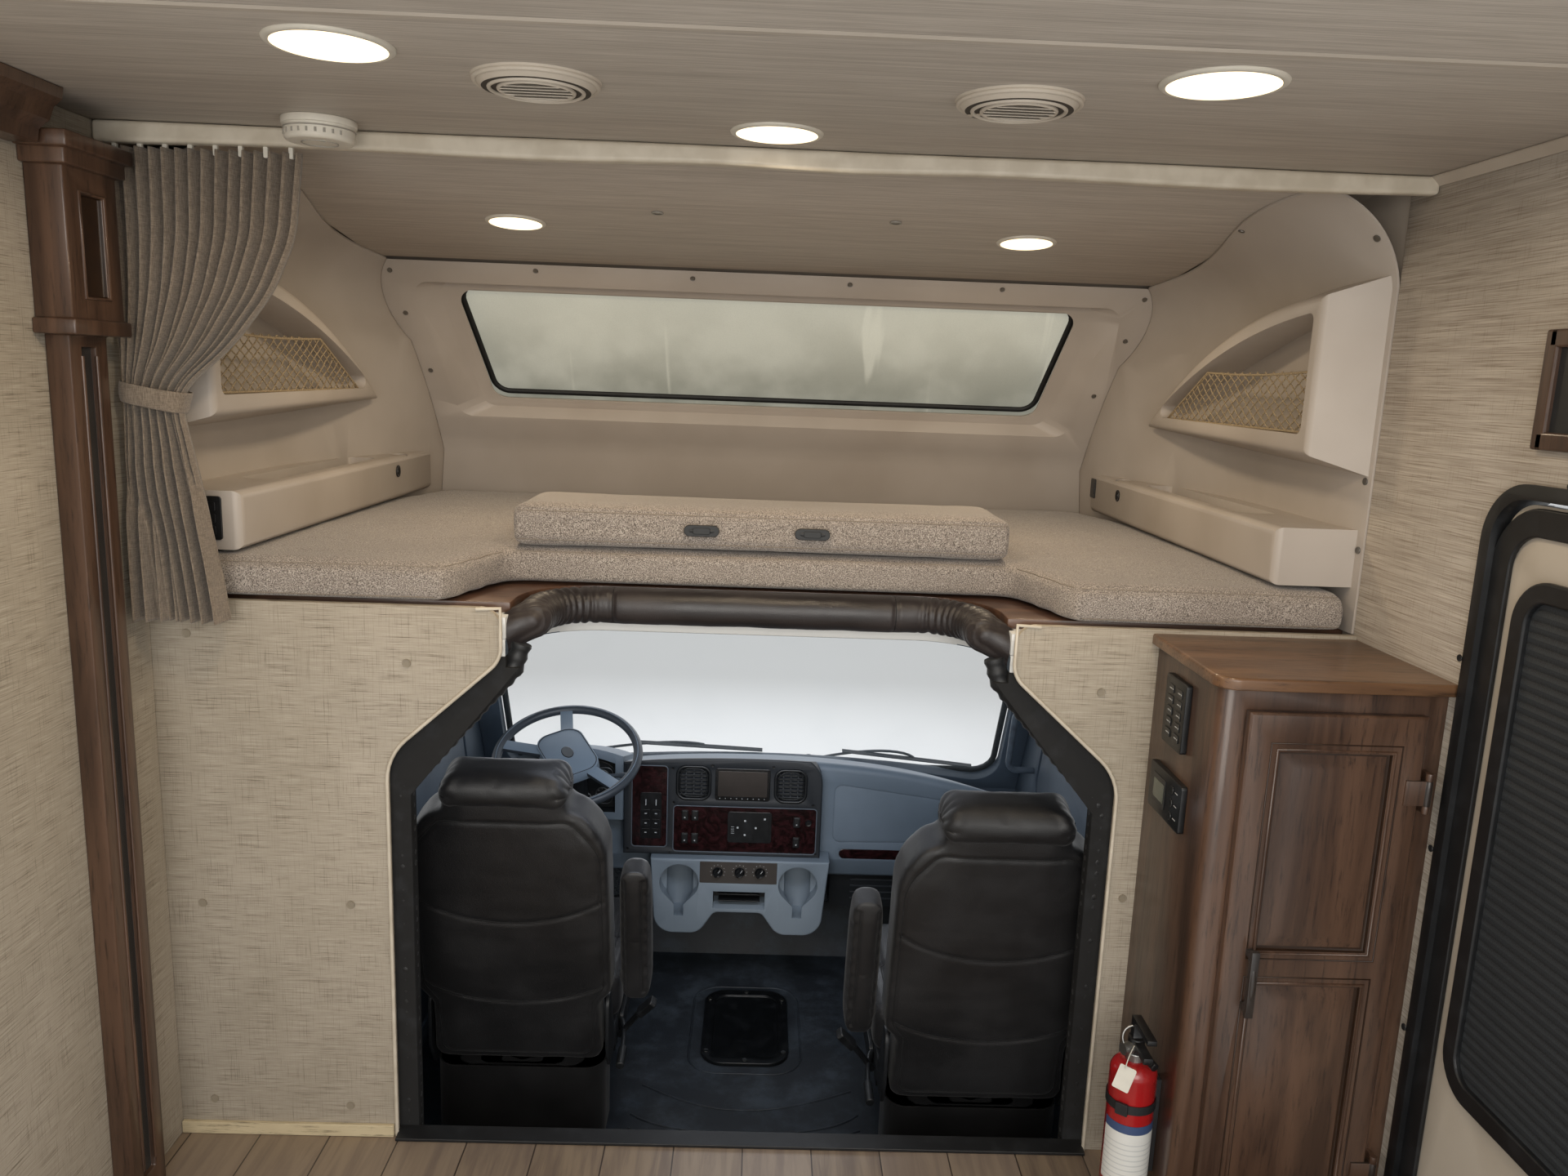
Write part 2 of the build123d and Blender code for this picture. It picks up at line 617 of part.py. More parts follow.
MATTRESS_TOP = BUNK_TOP + MATTRESS
RIM_GAP = 10
NOTCH_MOUTH = 635
NOTCH_END = (557, 252)
with BuildPart() as mattress:
    rim = [(LINER_SECTIONS[0][1] - RIM_GAP, 0)]
    rim += [(foot - RIM_GAP, y) for y, foot, wall, wall_top, joint in LINER_SECTIONS[1:4]]
    rim += [(LINER_SECTIONS[4][1] - RIM_GAP + 6, skirt_y - 6)]
    with BuildSketch(Plane.XY.offset(BUNK_TOP + 0.3)) as plan:
        with BuildLine():
            Polyline(
                (NOTCH_MOUTH, 0), *rim, *[(-x, y) for x, y in reversed(rim)],
                (-NOTCH_MOUTH, 0), (-NOTCH_END[0], NOTCH_END[1]), NOTCH_END, close=True,
            )
        make_face()
    extrude(amount=MATTRESS - 0.3)
    fillet(mattress.faces().sort_by(Axis.Z)[-1].edges(), 18)
save(mattress, "bunk_mattress")

FILLER_Y = (245, 545)
with BuildPart() as filler:
    block((-562, 562), FILLER_Y, (MATTRESS_TOP + 0.3, MATTRESS_TOP + FILLER_THICK))
    fillet(filler.edges(), 16)
save(filler, "filler_cushion")

# Bulkhead panels, right one drawn, and the cab doorway between them
PANEL_OUTER = HALF_ROOM - 0.3


def doorway_edge(half, nose, drop):
    """The panel's inner edge: foot, start of the diagonal, foot of the nose, top."""
    diagonal = BUNK_TOP - DIAGONAL_DROP
    return [(half, COACH_FLOOR), (half, diagonal), (nose, BUNK_TOP - drop), (nose, BUNK_TOP)]


with BuildPart() as right_bulkhead:
    edge = doorway_edge(OPENING_HALF, NOSE_HALF, NOSE_DROP)
    front_slab(
        [(PANEL_OUTER, COACH_FLOOR + 0.3), *edge, (PANEL_OUTER, BUNK_TOP)], (0, BULKHEAD_THICK),
        corners=((2, 120), (3, 60), (4, 42)),
    )
save(right_bulkhead, "right_bulkhead")
save_mirrored(right_bulkhead, "left_bulkhead")

# Padded roll round the notch
ROLL_START = 26
with BuildPart() as roll:
    with BuildLine() as path:
        FilletPolyline(
            (-ROLL_HALF, ROLL_START, ROLL_Z), (-ROLL_HALF, ROLL_DEPTH, ROLL_Z),
            (ROLL_HALF, ROLL_DEPTH, ROLL_Z), (ROLL_HALF, ROLL_START, ROLL_Z), radius=ROLL_BEND,
        )
    with BuildSketch(Plane(origin=path.line @ 0, z_dir=path.line % 0)):
        Circle(ROLL_R)
    sweep()
save(roll, "doorway_roll")

# Curtain and its rail under the ceiling
RAIL_Y = (-82, -48)
RAIL_Z = (CEILING - 40, CEILING)
CURTAIN_Y = (-100, -24)
with BuildPart() as curtain_rail:
    block((-HALF_ROOM, HALF_ROOM), RAIL_Y, RAIL_Z)
    fillet(curtain_rail.edges().filter_by(Axis.X).group_by(Axis.Z)[0], 12)
save(curtain_rail, "curtain_rail")

CURTAIN_TOP = RAIL_Z[0] - 0.3
CURTAIN_SIDE = -HALF_ROOM + 6
with BuildPart() as curtain:
    front_slab(
        [
            (CURTAIN_SIDE, CURTAIN_TOP), (CURTAIN_SIDE + 362, CURTAIN_TOP), (CURTAIN_SIDE + 114, 2225),
            (CURTAIN_SIDE + 178, 1790), (CURTAIN_SIDE, 1775), (CURTAIN_SIDE + 8, 2215),
        ],
        CURTAIN_Y, corners=((2, 60),),
    )
    fillet(curtain.edges().filter_by(Axis.Y).group_by(Axis.Z)[-1], 4)
save(curtain, "bunk_curtain")

# Ceiling fittings: X, Y and radius of each lamp
ROOM_LAMPS = ((0, -206, 70), (-590, -635, 74), (590, -635, 74))
BUNK_LAMPS = ((-610, 578, 62), (610, 578, 62))
LAMP_DROP = 5
BUNK_TILT = Vector(0, 1, -CEILING_DROP).normalized()
with BuildPart() as lamps:
    for x, y, radius in ROOM_LAMPS:
        with BuildSketch(Plane.XY.offset(CEILING - LAMP_DROP)):
            with Locations((x, y)):
                Circle(radius)
        extrude(amount=LAMP_DROP)
    for x, y, radius in BUNK_LAMPS:
        under = joint_height(y) + LINER + 0.5
        tilted = Plane(origin=(x, y, under), x_dir=(1, 0, 0), z_dir=(0, CEILING_DROP, 1))
        with BuildSketch(tilted.offset(-LAMP_DROP - 0.3)):
            Circle(radius)
        extrude(amount=LAMP_DROP)
save(lamps, "ceiling_lamps")

VENTS = ((-349, -491), (349, -491))
with BuildPart() as vents:
    with Locations(*[(x, y, CEILING) for x, y in VENTS]):
        with Locations((0, 0, -7)):
            Cone(78, 93, 14)
        with Locations((0, 0, -8)):
            Cone(56, 46, 12, mode=Mode.SUBTRACT)
        with Locations((0, 0, -6)):
            for slat in (-30, -10, 10, 30):
                with Locations((0, slat, 0)):
                    Box(84, 3, 8)
save(vents, "ceiling_vents")

DETECTOR = (-790, -150, 62)
with BuildPart() as detector:
    with Locations((DETECTOR[0], DETECTOR[1], CEILING - 6)):
        Cylinder(DETECTOR[2], 12)
    with Locations((DETECTOR[0], DETECTOR[1], CEILING - 24)):
        Cylinder(DETECTOR[2] - 4, 28)
    fillet(detector.edges().filter_by(GeomType.CIRCLE).sort_by(Axis.Z)[0], 8)
save(detector, "smoke_detector")

# Cabinet against the right bulkhead
CASE_X = (815, HALF_ROOM - 0.3)
CASE_Y = (-322, -0.3)
CASE_Z = (COACH_FLOOR + 0.3, 1778)
CASE_BOARD = 16
STILE = 42
TOP_BOARD = 22
DOOR_BOARD = 20
CUP_DOOR_X = (CASE_X[0] + 47, CASE_X[1] - 39.7)
CUP_DOOR_Z = (702, 1738)
FACE_GAP = 1
DOOR_FRONT = CASE_Y[0] - FACE_GAP - DOOR_BOARD
CASE_AXIS = (CUP_DOOR_X[1] + 12, DOOR_FRONT - 2)
CASE_HINGE_Z = (840, 1600)

with BuildPart() as case:
    block(CASE_X, CASE_Y, CASE_Z)
    fillet(case.edges().filter_by(Axis.Z).sort_by(lambda e: e.center().X + e.center().Y)[0], 24)
    for z in CASE_HINGE_Z:
        hinge_lugs(CASE_AXIS, z, (CASE_AXIS[0] - 4, CASE_AXIS[0] + 5), (CASE_AXIS[1], CASE_Y[0]))
    room_x = (CASE_X[0] + CASE_BOARD, CASE_X[1] - CASE_BOARD)
    room_y = (CASE_Y[0] + CASE_BOARD, CASE_Y[1] - CASE_BOARD)
    block(room_x, room_y, (CASE_Z[0] + 80, CASE_Z[1] - CASE_BOARD), Mode.SUBTRACT)
    block(
        (CUP_DOOR_X[0] + 15, CUP_DOOR_X[1] - 15), (CASE_Y[0] - 1, room_y[0] + 1),
        (CUP_DOOR_Z[0] + 15, CUP_DOOR_Z[1] - 15), Mode.SUBTRACT,
    )
    shelf_z = (CUP_DOOR_Z[0] + CUP_DOOR_Z[1]) / 2
    block(room_x, room_y, (shelf_z, shelf_z + CASE_BOARD))
save(case, "cabinet_case")

with BuildPart() as case_top:
    block((CASE_X[0] - 16, CASE_X[1]), (CASE_Y[0] - 27, CASE_Y[1]), (CASE_Z[1], CASE_Z[1] + TOP_BOARD))
    fillet(case_top.edges().filter_by(Axis.Z).sort_by(lambda e: e.center().X + e.center().Y)[0], 40)
    fillet(case_top.faces().sort_by(Axis.Z)[-1].edges().sort_by(Axis.Y)[0], 6)
save(case_top, "cabinet_top")

# Cabinet door with an upper and a lower raised field, each foot and head given in Z
FIELDS = ((778, 1222), (1290, 1668))
FIELD_X = (CUP_DOOR_X[0] + 58, CUP_DOOR_X[1] - 58)
PULL = (908, 1172, 1300)
with BuildPart() as cup_door:
    block(CUP_DOOR_X, (DOOR_FRONT, DOOR_FRONT + DOOR_BOARD), CUP_DOOR_Z)
    chamfer(cup_door.faces().sort_by(Axis.Y)[0].edges(), 4)
    for foot, head in FIELDS:
        block(FIELD_X, (DOOR_FRONT, DOOR_FRONT + 9), (foot, head), Mode.SUBTRACT)
        mid_x, mid_z = sum(FIELD_X) / 2, (foot + head) / 2
        wide, high = FIELD_X[1] - FIELD_X[0], head - foot
        levels = []
        for depth, shrink in ((9, 12), (2, 64)):
            with BuildSketch(Plane.XZ.offset(-DOOR_FRONT - depth)) as level:
                with Locations((mid_x, mid_z)):
                    Rectangle(wide - shrink, high - shrink)
            levels.append(level.sketch)
        loft(levels)
    for z in CASE_HINGE_Z:
        hinge_barrel(CASE_AXIS, z, (CUP_DOOR_X[1] - 30, CASE_AXIS[0]), (DOOR_FRONT - 5, DOOR_FRONT + 0.5))
    for post_z in (PULL[1] + 12, PULL[2] - 12):
        block((PULL[0] - 6, PULL[0] + 6), (DOOR_FRONT - 26, DOOR_FRONT), (post_z - 6, post_z + 6))
    block((PULL[0] - 7, PULL[0] + 7), (DOOR_FRONT - 30, DOOR_FRONT - 20), (PULL[1], PULL[2]))
save(cup_door, "cabinet_door")

# Switch and meter panels on the cabinet's side: Y and Z ranges
PANELS = (((-195, -90), (1607, 1743)), ((-221, -52), (1458, 1552)))
with BuildPart() as panels:
    for y, z in PANELS:
        block((CASE_X[0] - 12, CASE_X[0]), y, z)
    fillet(panels.edges().filter_by(Axis.X), 6)
save(panels, "control_panels")

BOTTLE = (CASE_X[0] - 54, -235)
BOTTLE_R = 45
BOTTLE_Z = (700, 1000)
with BuildPart() as bottle:
    with BuildSketch(Plane.XZ) as half:
        with BuildLine():
            Polyline((0, BOTTLE_Z[0]), (BOTTLE_R, BOTTLE_Z[0]), (BOTTLE_R, BOTTLE_Z[1] - 30))
            ThreePointArc((BOTTLE_R, BOTTLE_Z[1] - 30), (BOTTLE_R - 10, BOTTLE_Z[1] - 6), (16, BOTTLE_Z[1]))
            Polyline((16, BOTTLE_Z[1]), (16, BOTTLE_Z[1] + 45), (0, BOTTLE_Z[1] + 45), (0, BOTTLE_Z[0]))
        make_face()
    revolve(axis=Axis.Z)
with BuildPart() as extinguisher:
    with Locations((BOTTLE[0], BOTTLE[1], 0)):
        add(bottle.part)
    low, high = BOTTLE_Z[1] + 30, BOTTLE_Z[1] + 75
    block((BOTTLE[0] - 9, BOTTLE[0] + 9), (BOTTLE[1] - 70, BOTTLE[1] + 20), (low, low + 12))
    block((BOTTLE[0] - 9, BOTTLE[0] + 9), (BOTTLE[1] - 80, BOTTLE[1] + 12), (high, high + 10))
    block((BOTTLE[0] - 9, BOTTLE[0] + 9), (BOTTLE[1] - 6, BOTTLE[1] + 12), (low, high))
    block((BOTTLE[0], CASE_X[0] - 0.3), (BOTTLE[1] - 12, BOTTLE[1] + 12), (760, 960))
save(extinguisher, "fire_extinguisher")

# Wooden post on the left wall: a fluted shaft under a capital
POST_Y = (-262, -152)
POST_DEPTH = 42
CAPITAL_Z = 2330
with BuildPart() as post:
    wall_x = -HALF_ROOM
    block((wall_x, wall_x + POST_DEPTH), POST_Y, (COACH_FLOOR + 0.3, 2600))
    block((wall_x + POST_DEPTH - 12, wall_x + POST_DEPTH), (POST_Y[0] + 34, POST_Y[1] - 34), (COACH_FLOOR + 60, CAPITAL_Z - 40), Mode.SUBTRACT)
    block((wall_x, wall_x + POST_DEPTH + 22), (POST_Y[0] - 22, POST_Y[1] + 22), (CAPITAL_Z, 2600))
    block((wall_x + POST_DEPTH + 12, wall_x + POST_DEPTH + 22), (POST_Y[0] + 22, POST_Y[1] - 22), (CAPITAL_Z + 45, 2540), Mode.SUBTRACT)
    for low, grow in ((CAPITAL_Z - 20, 30), (2580, 34), (2605, 44)):
        block((wall_x, wall_x + POST_DEPTH + grow), (POST_Y[0] - grow, POST_Y[1] + grow), (low, low + 26))
save(post, "wall_post")

# Driving cab shell: floor, firewall, pillars and roof, open at the back
SHIELD_FOOT = 840
SHIELD_HEAD = 1290
SHIELD_SKIN = 46
cab_outer = [
    (CAB_REAR, RAIL_HEIGHT), (1500, RAIL_HEIGHT), (1600, 420), (CAB_FRONT, SHIELD_FOOT),
    (SHIELD_HEAD, CAB_ROOF), (CAB_REAR, CAB_ROOF),
]
cab_inner = [
    (-100, CAB_FLOOR - MAT), (1470, CAB_FLOOR - MAT), (1558, 436),
    (CAB_FRONT - SHIELD_SKIN, SHIELD_FOOT - 8), (SHIELD_HEAD - 26, CAB_ROOF - 38), (-100, CAB_ROOF - 38),
]
SHIELD_UP = Vector(0, SHIELD_HEAD - CAB_FRONT, CAB_ROOF - SHIELD_FOOT)
SHIELD_OUT = Vector(0, SHIELD_UP.Z, -SHIELD_UP.Y).normalized()
SHIELD_MID = Vector(0, (CAB_FRONT + SHIELD_HEAD) / 2, (SHIELD_FOOT + CAB_ROOF) / 2)
shield_plane = Plane(origin=SHIELD_MID, x_dir=(-1, 0, 0), z_dir=SHIELD_OUT)
# Half-width of the windshield, its head above the middle of its plane, its foot at the sides and amidships
SHIELD_HALF = CAB_HALF - 125
SHIELD_EDGE = (433, -465, -385)
SHIELD_CORNER = 90
SHIELD_GLASS = 8


def shield_shape(grow=0):
    """The windshield's outline on its plane; its lower edge droops towards the sides."""
    half = SHIELD_HALF + grow
    head, foot, foot_middle = SHIELD_EDGE[0] + grow, SHIELD_EDGE[1] - grow, SHIELD_EDGE[2] - grow
    with BuildSketch(shield_plane) as pane:
        with BuildLine():
            Polyline((-half, foot), (-half, head), (half, head), (half, foot))
            ThreePointArc((half, foot), (0, foot_middle), (-half, foot))
        make_face()
        fillet(pane.vertices(), SHIELD_CORNER + grow)
    return pane.sketch


DOOR_EDGE = [(190, 330), (1330, 330), (1432, 960), (1196, 1640), (190, 1640)]
DOOR_X = (DASH_HALF + 5.3, CAB_HALF)
GLASS_EDGE = [(262, 1140), (1312, 1140), (1150, 1580), (262, 1580)]
VENT_BAR = (1035, 1062)
DOOR_GAP = 7
DOOR_PANE = 5
DOOR_MID = (DOOR_X[0] + DOOR_X[1]) / 2
CAB_AXIS = (CAB_HALF + 12, 1440)
CAB_HINGES = ((480, 1300), (900, 1370))


def shrink(points, gap):
    """Move each corner of an outline towards its middle, keeping a gap of about that size."""
    mid_y = sum(p[0] for p in points) / len(points)
    mid_z = sum(p[1] for p in points) / len(points)
    return [(y - gap if y > mid_y else y + gap, z - gap if z > mid_z else z + gap) for y, z in points]


BACK_TRIM = 42
CAB_BACK = [
    (-OPENING_HALF + BACK_TRIM, CAB_FLOOR), (OPENING_HALF - BACK_TRIM, CAB_FLOOR), (OPENING_HALF - BACK_TRIM, 1400),
    (NOSE_HALF - BACK_TRIM, 1690), (NOSE_HALF - BACK_TRIM, CAB_ROOF + 20), (-NOSE_HALF + BACK_TRIM, CAB_ROOF + 20),
    (-NOSE_HALF + BACK_TRIM, 1690), (-OPENING_HALF + BACK_TRIM, 1400),
]
PILLAR_Y = (CAB_REAR, 55)
SIDE_X = CAB_HALF - CAB_WALL

# Each side: an outer panel with the door's opening, and the pillar that turns in behind the door
with BuildPart() as right_side:
    side_slab(cab_outer, (SIDE_X, CAB_HALF))
    block((0, SIDE_X), PILLAR_Y, (CAB_FLOOR - MAT, CAB_ROOF - 38))
    front_slab(CAB_BACK, (0, 60), Mode.SUBTRACT)
    with BuildSketch(Plane.XY.offset(CAB_ROOF - 60)):
        add(notch_outline(ROLL_R + FIT))
    extrude(amount=90, mode=Mode.SUBTRACT)
    side_slab(DOOR_EDGE, (SIDE_X - 5, CAB_HALF + 5), Mode.SUBTRACT, 45)
    for z, start in CAB_HINGES:
        hinge_lugs(CAB_AXIS, z, (CAB_HALF - 1, CAB_AXIS[0]), (CAB_AXIS[1], CAB_AXIS[1] + 34))
save(right_side, "right_cab_side")
save_mirrored(right_side, "left_cab_side")

# Between the sides: floor pan, firewall, windshield frame and roof
with BuildPart() as cab:
    side_slab(cab_outer, (-SIDE_X, SIDE_X))
    side_slab(cab_inner, (-SIDE_X, SIDE_X), Mode.SUBTRACT)
    extrude(shield_shape(), amount=90, both=True, mode=Mode.SUBTRACT)
    with BuildSketch(Plane.XY.offset(CAB_ROOF - 60)):
        add(notch_outline(ROLL_R + FIT))
    extrude(amount=90, mode=Mode.SUBTRACT)
save(cab, "cab_shell")

with BuildPart() as shield:
    extrude(shield_shape(-0.5), amount=-SHIELD_GLASS - 4)
    extrude(shield_shape(10), amount=-4, mode=Mode.SUBTRACT)
save(shield, "windshield")

with BuildPart() as right_door:
    side_slab(shrink(DOOR_EDGE, DOOR_GAP), DOOR_X, radius=40)
    side_slab(GLASS_EDGE, DOOR_X, Mode.SUBTRACT, 40)
    block((DOOR_X[0] + 6, DOOR_X[1] - 6), VENT_BAR, (GLASS_EDGE[0][1] - 4, GLASS_EDGE[2][1] + 4))
    block((DOOR_X[0] - 14, DOOR_X[0]), (420, 1150), (840, 905))
    for z, start in CAB_HINGES:
        hinge_barrel(CAB_AXIS, z, (CAB_HALF + 6, CAB_AXIS[0] + 2), (start, CAB_AXIS[1]))
        block((CAB_HALF - 1, CAB_HALF + 7), (start, start + 40), (z - BARREL / 2, z + BARREL / 2))
save(right_door, "right_cab_door")
save_mirrored(right_door, "left_cab_door")

with BuildPart() as door_glass:
    side_slab(shrink(GLASS_EDGE, PANE_GAP), (DOOR_MID - DOOR_PANE / 2, DOOR_MID + DOOR_PANE / 2), radius=40)
    block(DOOR_X, (VENT_BAR[0] - PANE_GAP, VENT_BAR[1] + PANE_GAP), (1000, 1700), Mode.SUBTRACT)
save(door_glass, "right_cab_door_glass")
save_mirrored(door_glass, "left_cab_door_glass")

# Cab floor mat, turned up at the firewall, and the bolted cover in it
with BuildPart() as mat:
    low = CAB_FLOOR - MAT + 0.3
    crease, toe = cab_inner[1], cab_inner[2]
    side_slab(
        [
            (PILLAR_Y[1] + 3, low), (crease[0] - 6, low), (toe[0] - 6, toe[1] + 4), (toe[0] - 34, toe[1] + 16),
            (crease[0] - 22, CAB_FLOOR), (PILLAR_Y[1] + 3, CAB_FLOOR),
        ],
        (-CAB_HALF + CAB_WALL + 1, CAB_HALF - CAB_WALL - 1),
    )
save(mat, "cab_floor_mat")

COVER_Y = (787, 1191)
COVER_HALF = 132
with BuildPart() as cover:
    with BuildSketch(Plane.XY.offset(CAB_FLOOR + 0.3)):
        with Locations((0, sum(COVER_Y) / 2)):
            RectangleRounded(2 * COVER_HALF, COVER_Y[1] - COVER_Y[0], 70)
    extrude(amount=12)
    with BuildSketch(Plane.XY.offset(CAB_FLOOR + 12.3)):
        with Locations((0, sum(COVER_Y) / 2)):
            RectangleRounded(2 * COVER_HALF - 64, COVER_Y[1] - COVER_Y[0] - 64, 45)
    extrude(amount=-6, mode=Mode.SUBTRACT)
save(cover, "floor_cover")

# Grab handle on the right side panel, beside the windshield
GRAB_R = 11
GRAB_OUT = SIDE_X - 92
with BuildPart() as grab:
    with BuildLine() as grip:
        FilletPolyline(
            (SIDE_X - 0.3, 1462, 985), (GRAB_OUT, 1462, 985), (GRAB_OUT, 1402, 1215), (SIDE_X - 0.3, 1402, 1215),
            radius=34,
        )
    with BuildSketch(Plane(origin=grip.line @ 0, z_dir=grip.line % 0)):
        Circle(GRAB_R)
    sweep()
save(grab, "grab_handle")

# Steering: the wheel's axis leans 66 degrees up from the horizontal
WHEEL_MID = Vector(-565, 1050, 1134)
WHEEL_LEAN = 66
WHEEL_R = 212
RIM_R = 14
WHEEL_TURN = -59
SPOKES = (21, 159, 229, 311)
COLUMN_START = 60.3
COLUMN_SIZE = (96, 84)
wheel_axis = Vector(0, -cos(radians(WHEEL_LEAN)), sin(radians(WHEEL_LEAN)))
wheel_plane = Plane(origin=WHEEL_MID, x_dir=(1, 0, 0), z_dir=wheel_axis)

# Dashboard
# Centre instrument panel: X and Z ranges of its vents, screen and switch fields
CENTRE_X = (-405, 218)
CENTRE_Z = (786, 1120)
CENTRE_Y = (1136, DASH_FACE - 0.3)
VENT_RECESSES = (((-235, -138), (976, 1078)), ((72, 163), (974, 1074)))
PANEL_RECESSES = (((-119, 53), (971, 1077)), ((-247, 202), (799, 949)), ((-378, -269), (812, 1078)))
RECESS_SUNK = 6
CONSOLE_Y = (1104, 1286)

# Height of the dash's top on the plane Y = DASH_CROWN_Y: at its ends, part way in and in the middle
DASH_CROWN = (961, 1078, 1121)
DASH_CROWN_Y = 1100
DASH_CROWN_X = 0.58 * DASH_HALF
DASH_FALL = 0.31
DASH_ROLL = 22
DASH_FOOT = 690
DASH_GLASS_GAP = 8
# Arch over the instruments: X at its ends, Z of its foot, left end, top and right end
HOOD_X = (-848, CENTRE_X[0] - 0.3)
HOOD_Z = (905, 1026, 1137, 1112)
HOOD_Y = 1118
HOOD_RIM = 24
HOOD_SUNK = 46
# Lid of the right compartment, its trim strip and the vent at the end of the dash, each on the face
LID = ((262, 822), (262, 1015), (728, 955), (728, 832))
LID_GROOVE = 3
STRIP = ((282, 726), (764, 797))
END_VENT = ((752, 810), (928, 964))


def crown_outline():
    """The dash's outline from the front, falling from the middle to its ends."""
    ends, beside, middle = DASH_CROWN
    with BuildSketch(Plane.XZ.offset(-DASH_CROWN_Y)) as face:
        with BuildLine():
            Spline(
                (-DASH_HALF, ends), (-DASH_CROWN_X, beside), (0, middle),
                (DASH_CROWN_X, beside), (DASH_HALF, ends),
            )
            Polyline((DASH_HALF, ends), (DASH_HALF, 0), (-DASH_HALF, 0), (-DASH_HALF, ends))
        make_face()
    return face.sketch


def hood_outline(inset):
    """The arch over the instruments, shrunk by inset."""
    foot, left_end, top, right_end = HOOD_Z
    left, right = HOOD_X[0] + inset, HOOD_X[1] - inset
    with BuildSketch(Plane.XZ.offset(-HOOD_Y)) as face:
        with BuildLine():
            ThreePointArc((left, left_end - inset / 2), (-590, top - inset), (right, right_end - inset))
            Polyline((right, right_end - inset), (right, foot + inset), (left, foot + inset), (left, left_end - inset / 2))
        make_face()
    return face.sketch


def lid_outline(grow):
    """The compartment lid's outline on the dash face, moved outwards by grow."""
    with BuildSketch(Plane.XZ.offset(-DASH_FACE)) as face:
        with BuildLine():
            Polyline(*LID, close=True)
        make_face()
        fillet(face.vertices(), 24)
        if grow:
            offset(amount=grow)
    return face.sketch


def behind_dash(z):
    """Y of the dash's far side at height z: just inside the firewall and the windshield."""
    for (low_y, low_z), (high_y, high_z) in zip(cab_inner[1:4], cab_inner[2:5]):
        if z <= high_z:
            return low_y + (z - low_z) / (high_z - low_z) * (high_y - low_y) - DASH_GLASS_GAP


fall_line = Vector(0, 1, -DASH_FALL).normalized()
with BuildPart() as dash:
    side_slab(
        [
            (behind_dash(DASH_FOOT), DASH_FOOT), (behind_dash(cab_inner[3][1]), cab_inner[3][1]),
            (behind_dash(1160), 1160), (DASH_FACE, 1160), (DASH_FACE, DASH_FOOT + 70), (DASH_FACE + 30, DASH_FOOT),
        ],
        (-DASH_HALF, DASH_HALF), radius=24, corners=(4, 5),
    )
    extrude(crown_outline(), amount=900, dir=fall_line, mode=Mode.INTERSECT)
    fillet(
        dash.edges().filter_by(lambda e: abs((e @ 0.5).Y - DASH_FACE) < 1 and (e @ 0.5).Z > DASH_CROWN[0] + 20),
        DASH_ROLL,
    )
    block((LID[0][0], 700), (DASH_FACE + 62, behind_dash(570) - 30), (570, DASH_FOOT + 1))
    extrude(hood_outline(0), amount=300, dir=fall_line)
    extrude(hood_outline(HOOD_RIM), amount=HOOD_SUNK, dir=Vector(0, 1, 0), mode=Mode.SUBTRACT)
    with BuildSketch(wheel_plane):
        Rectangle(COLUMN_SIZE[0] + 2 * PIN_GAP, COLUMN_SIZE[1] + 2 * PIN_GAP)
    extrude(amount=-600, mode=Mode.SUBTRACT)
    block((CENTRE_X[0], CENTRE_X[1]), (1100, CENTRE_Y[1] + 0.3), (600, CENTRE_Z[1] + 60), Mode.SUBTRACT)
    block((-316, 249), (1100, CONSOLE_Y[1] + FIT), (DASH_FOOT - 10, CENTRE_Z[0]), Mode.SUBTRACT)
    with BuildSketch(Plane.XZ.offset(-DASH_FACE)):
        add(lid_outline(LID_GROOVE))
        add(lid_outline(0), mode=Mode.SUBTRACT)
    extrude(amount=-4, mode=Mode.SUBTRACT)
    block(STRIP[0], (DASH_FACE - 1, DASH_FACE + 2), STRIP[1], Mode.SUBTRACT)
    block(END_VENT[0], (DASH_FACE - 1, DASH_FACE + 14), END_VENT[1], Mode.SUBTRACT)
    for row in range(1, 5):
        slat_z = END_VENT[1][0] + row * (END_VENT[1][1] - END_VENT[1][0]) / 5
        block(END_VENT[0], (DASH_FACE + 2, DASH_FACE + 14), (slat_z - 1.5, slat_z + 1.5))
save(dash, "dash_body")


def fill_vent(x, z, face, columns, rows):
    """Crossing slats in a vent's recess, behind its face."""
    for column in range(1, columns):
        slat_x = x[0] + column * (x[1] - x[0]) / columns
        block((slat_x - 1.5, slat_x + 1.5), (face + 4, face + RECESS_SUNK + 10), z)
    for row in range(1, rows):
        slat_z = z[0] + row * (z[1] - z[0]) / rows
        block(x, (face + 2, face + RECESS_SUNK + 10), (slat_z - 1.5, slat_z + 1.5))


with BuildPart() as centre:
    block(CENTRE_X, CENTRE_Y, CENTRE_Z)
    fillet(centre.edges().filter_by(Axis.Y).sort_by(lambda e: e.center().X + e.center().Z)[-1], 90)
    extrude(crown_outline(), amount=900, dir=fall_line, mode=Mode.INTERSECT)
    fillet(centre.faces().sort_by(Axis.Y)[0].edges(), 5)
    for x, z in PANEL_RECESSES:
        with BuildSketch(Plane.XZ.offset(-CENTRE_Y[0])):
            with Locations((sum(x) / 2, sum(z) / 2)):
                RectangleRounded(x[1] - x[0], z[1] - z[0], 10)
        extrude(amount=-RECESS_SUNK, mode=Mode.SUBTRACT)
    for x, z in VENT_RECESSES:
        with BuildSketch(Plane.XZ.offset(-CENTRE_Y[0])):
            with Locations((sum(x) / 2, sum(z) / 2)):
                RectangleRounded(x[1] - x[0], z[1] - z[0], 24)
        extrude(amount=-RECESS_SUNK - 10, mode=Mode.SUBTRACT)
        fill_vent(x, z, CENTRE_Y[0], 4, 8)
save(centre, "dash_centre")

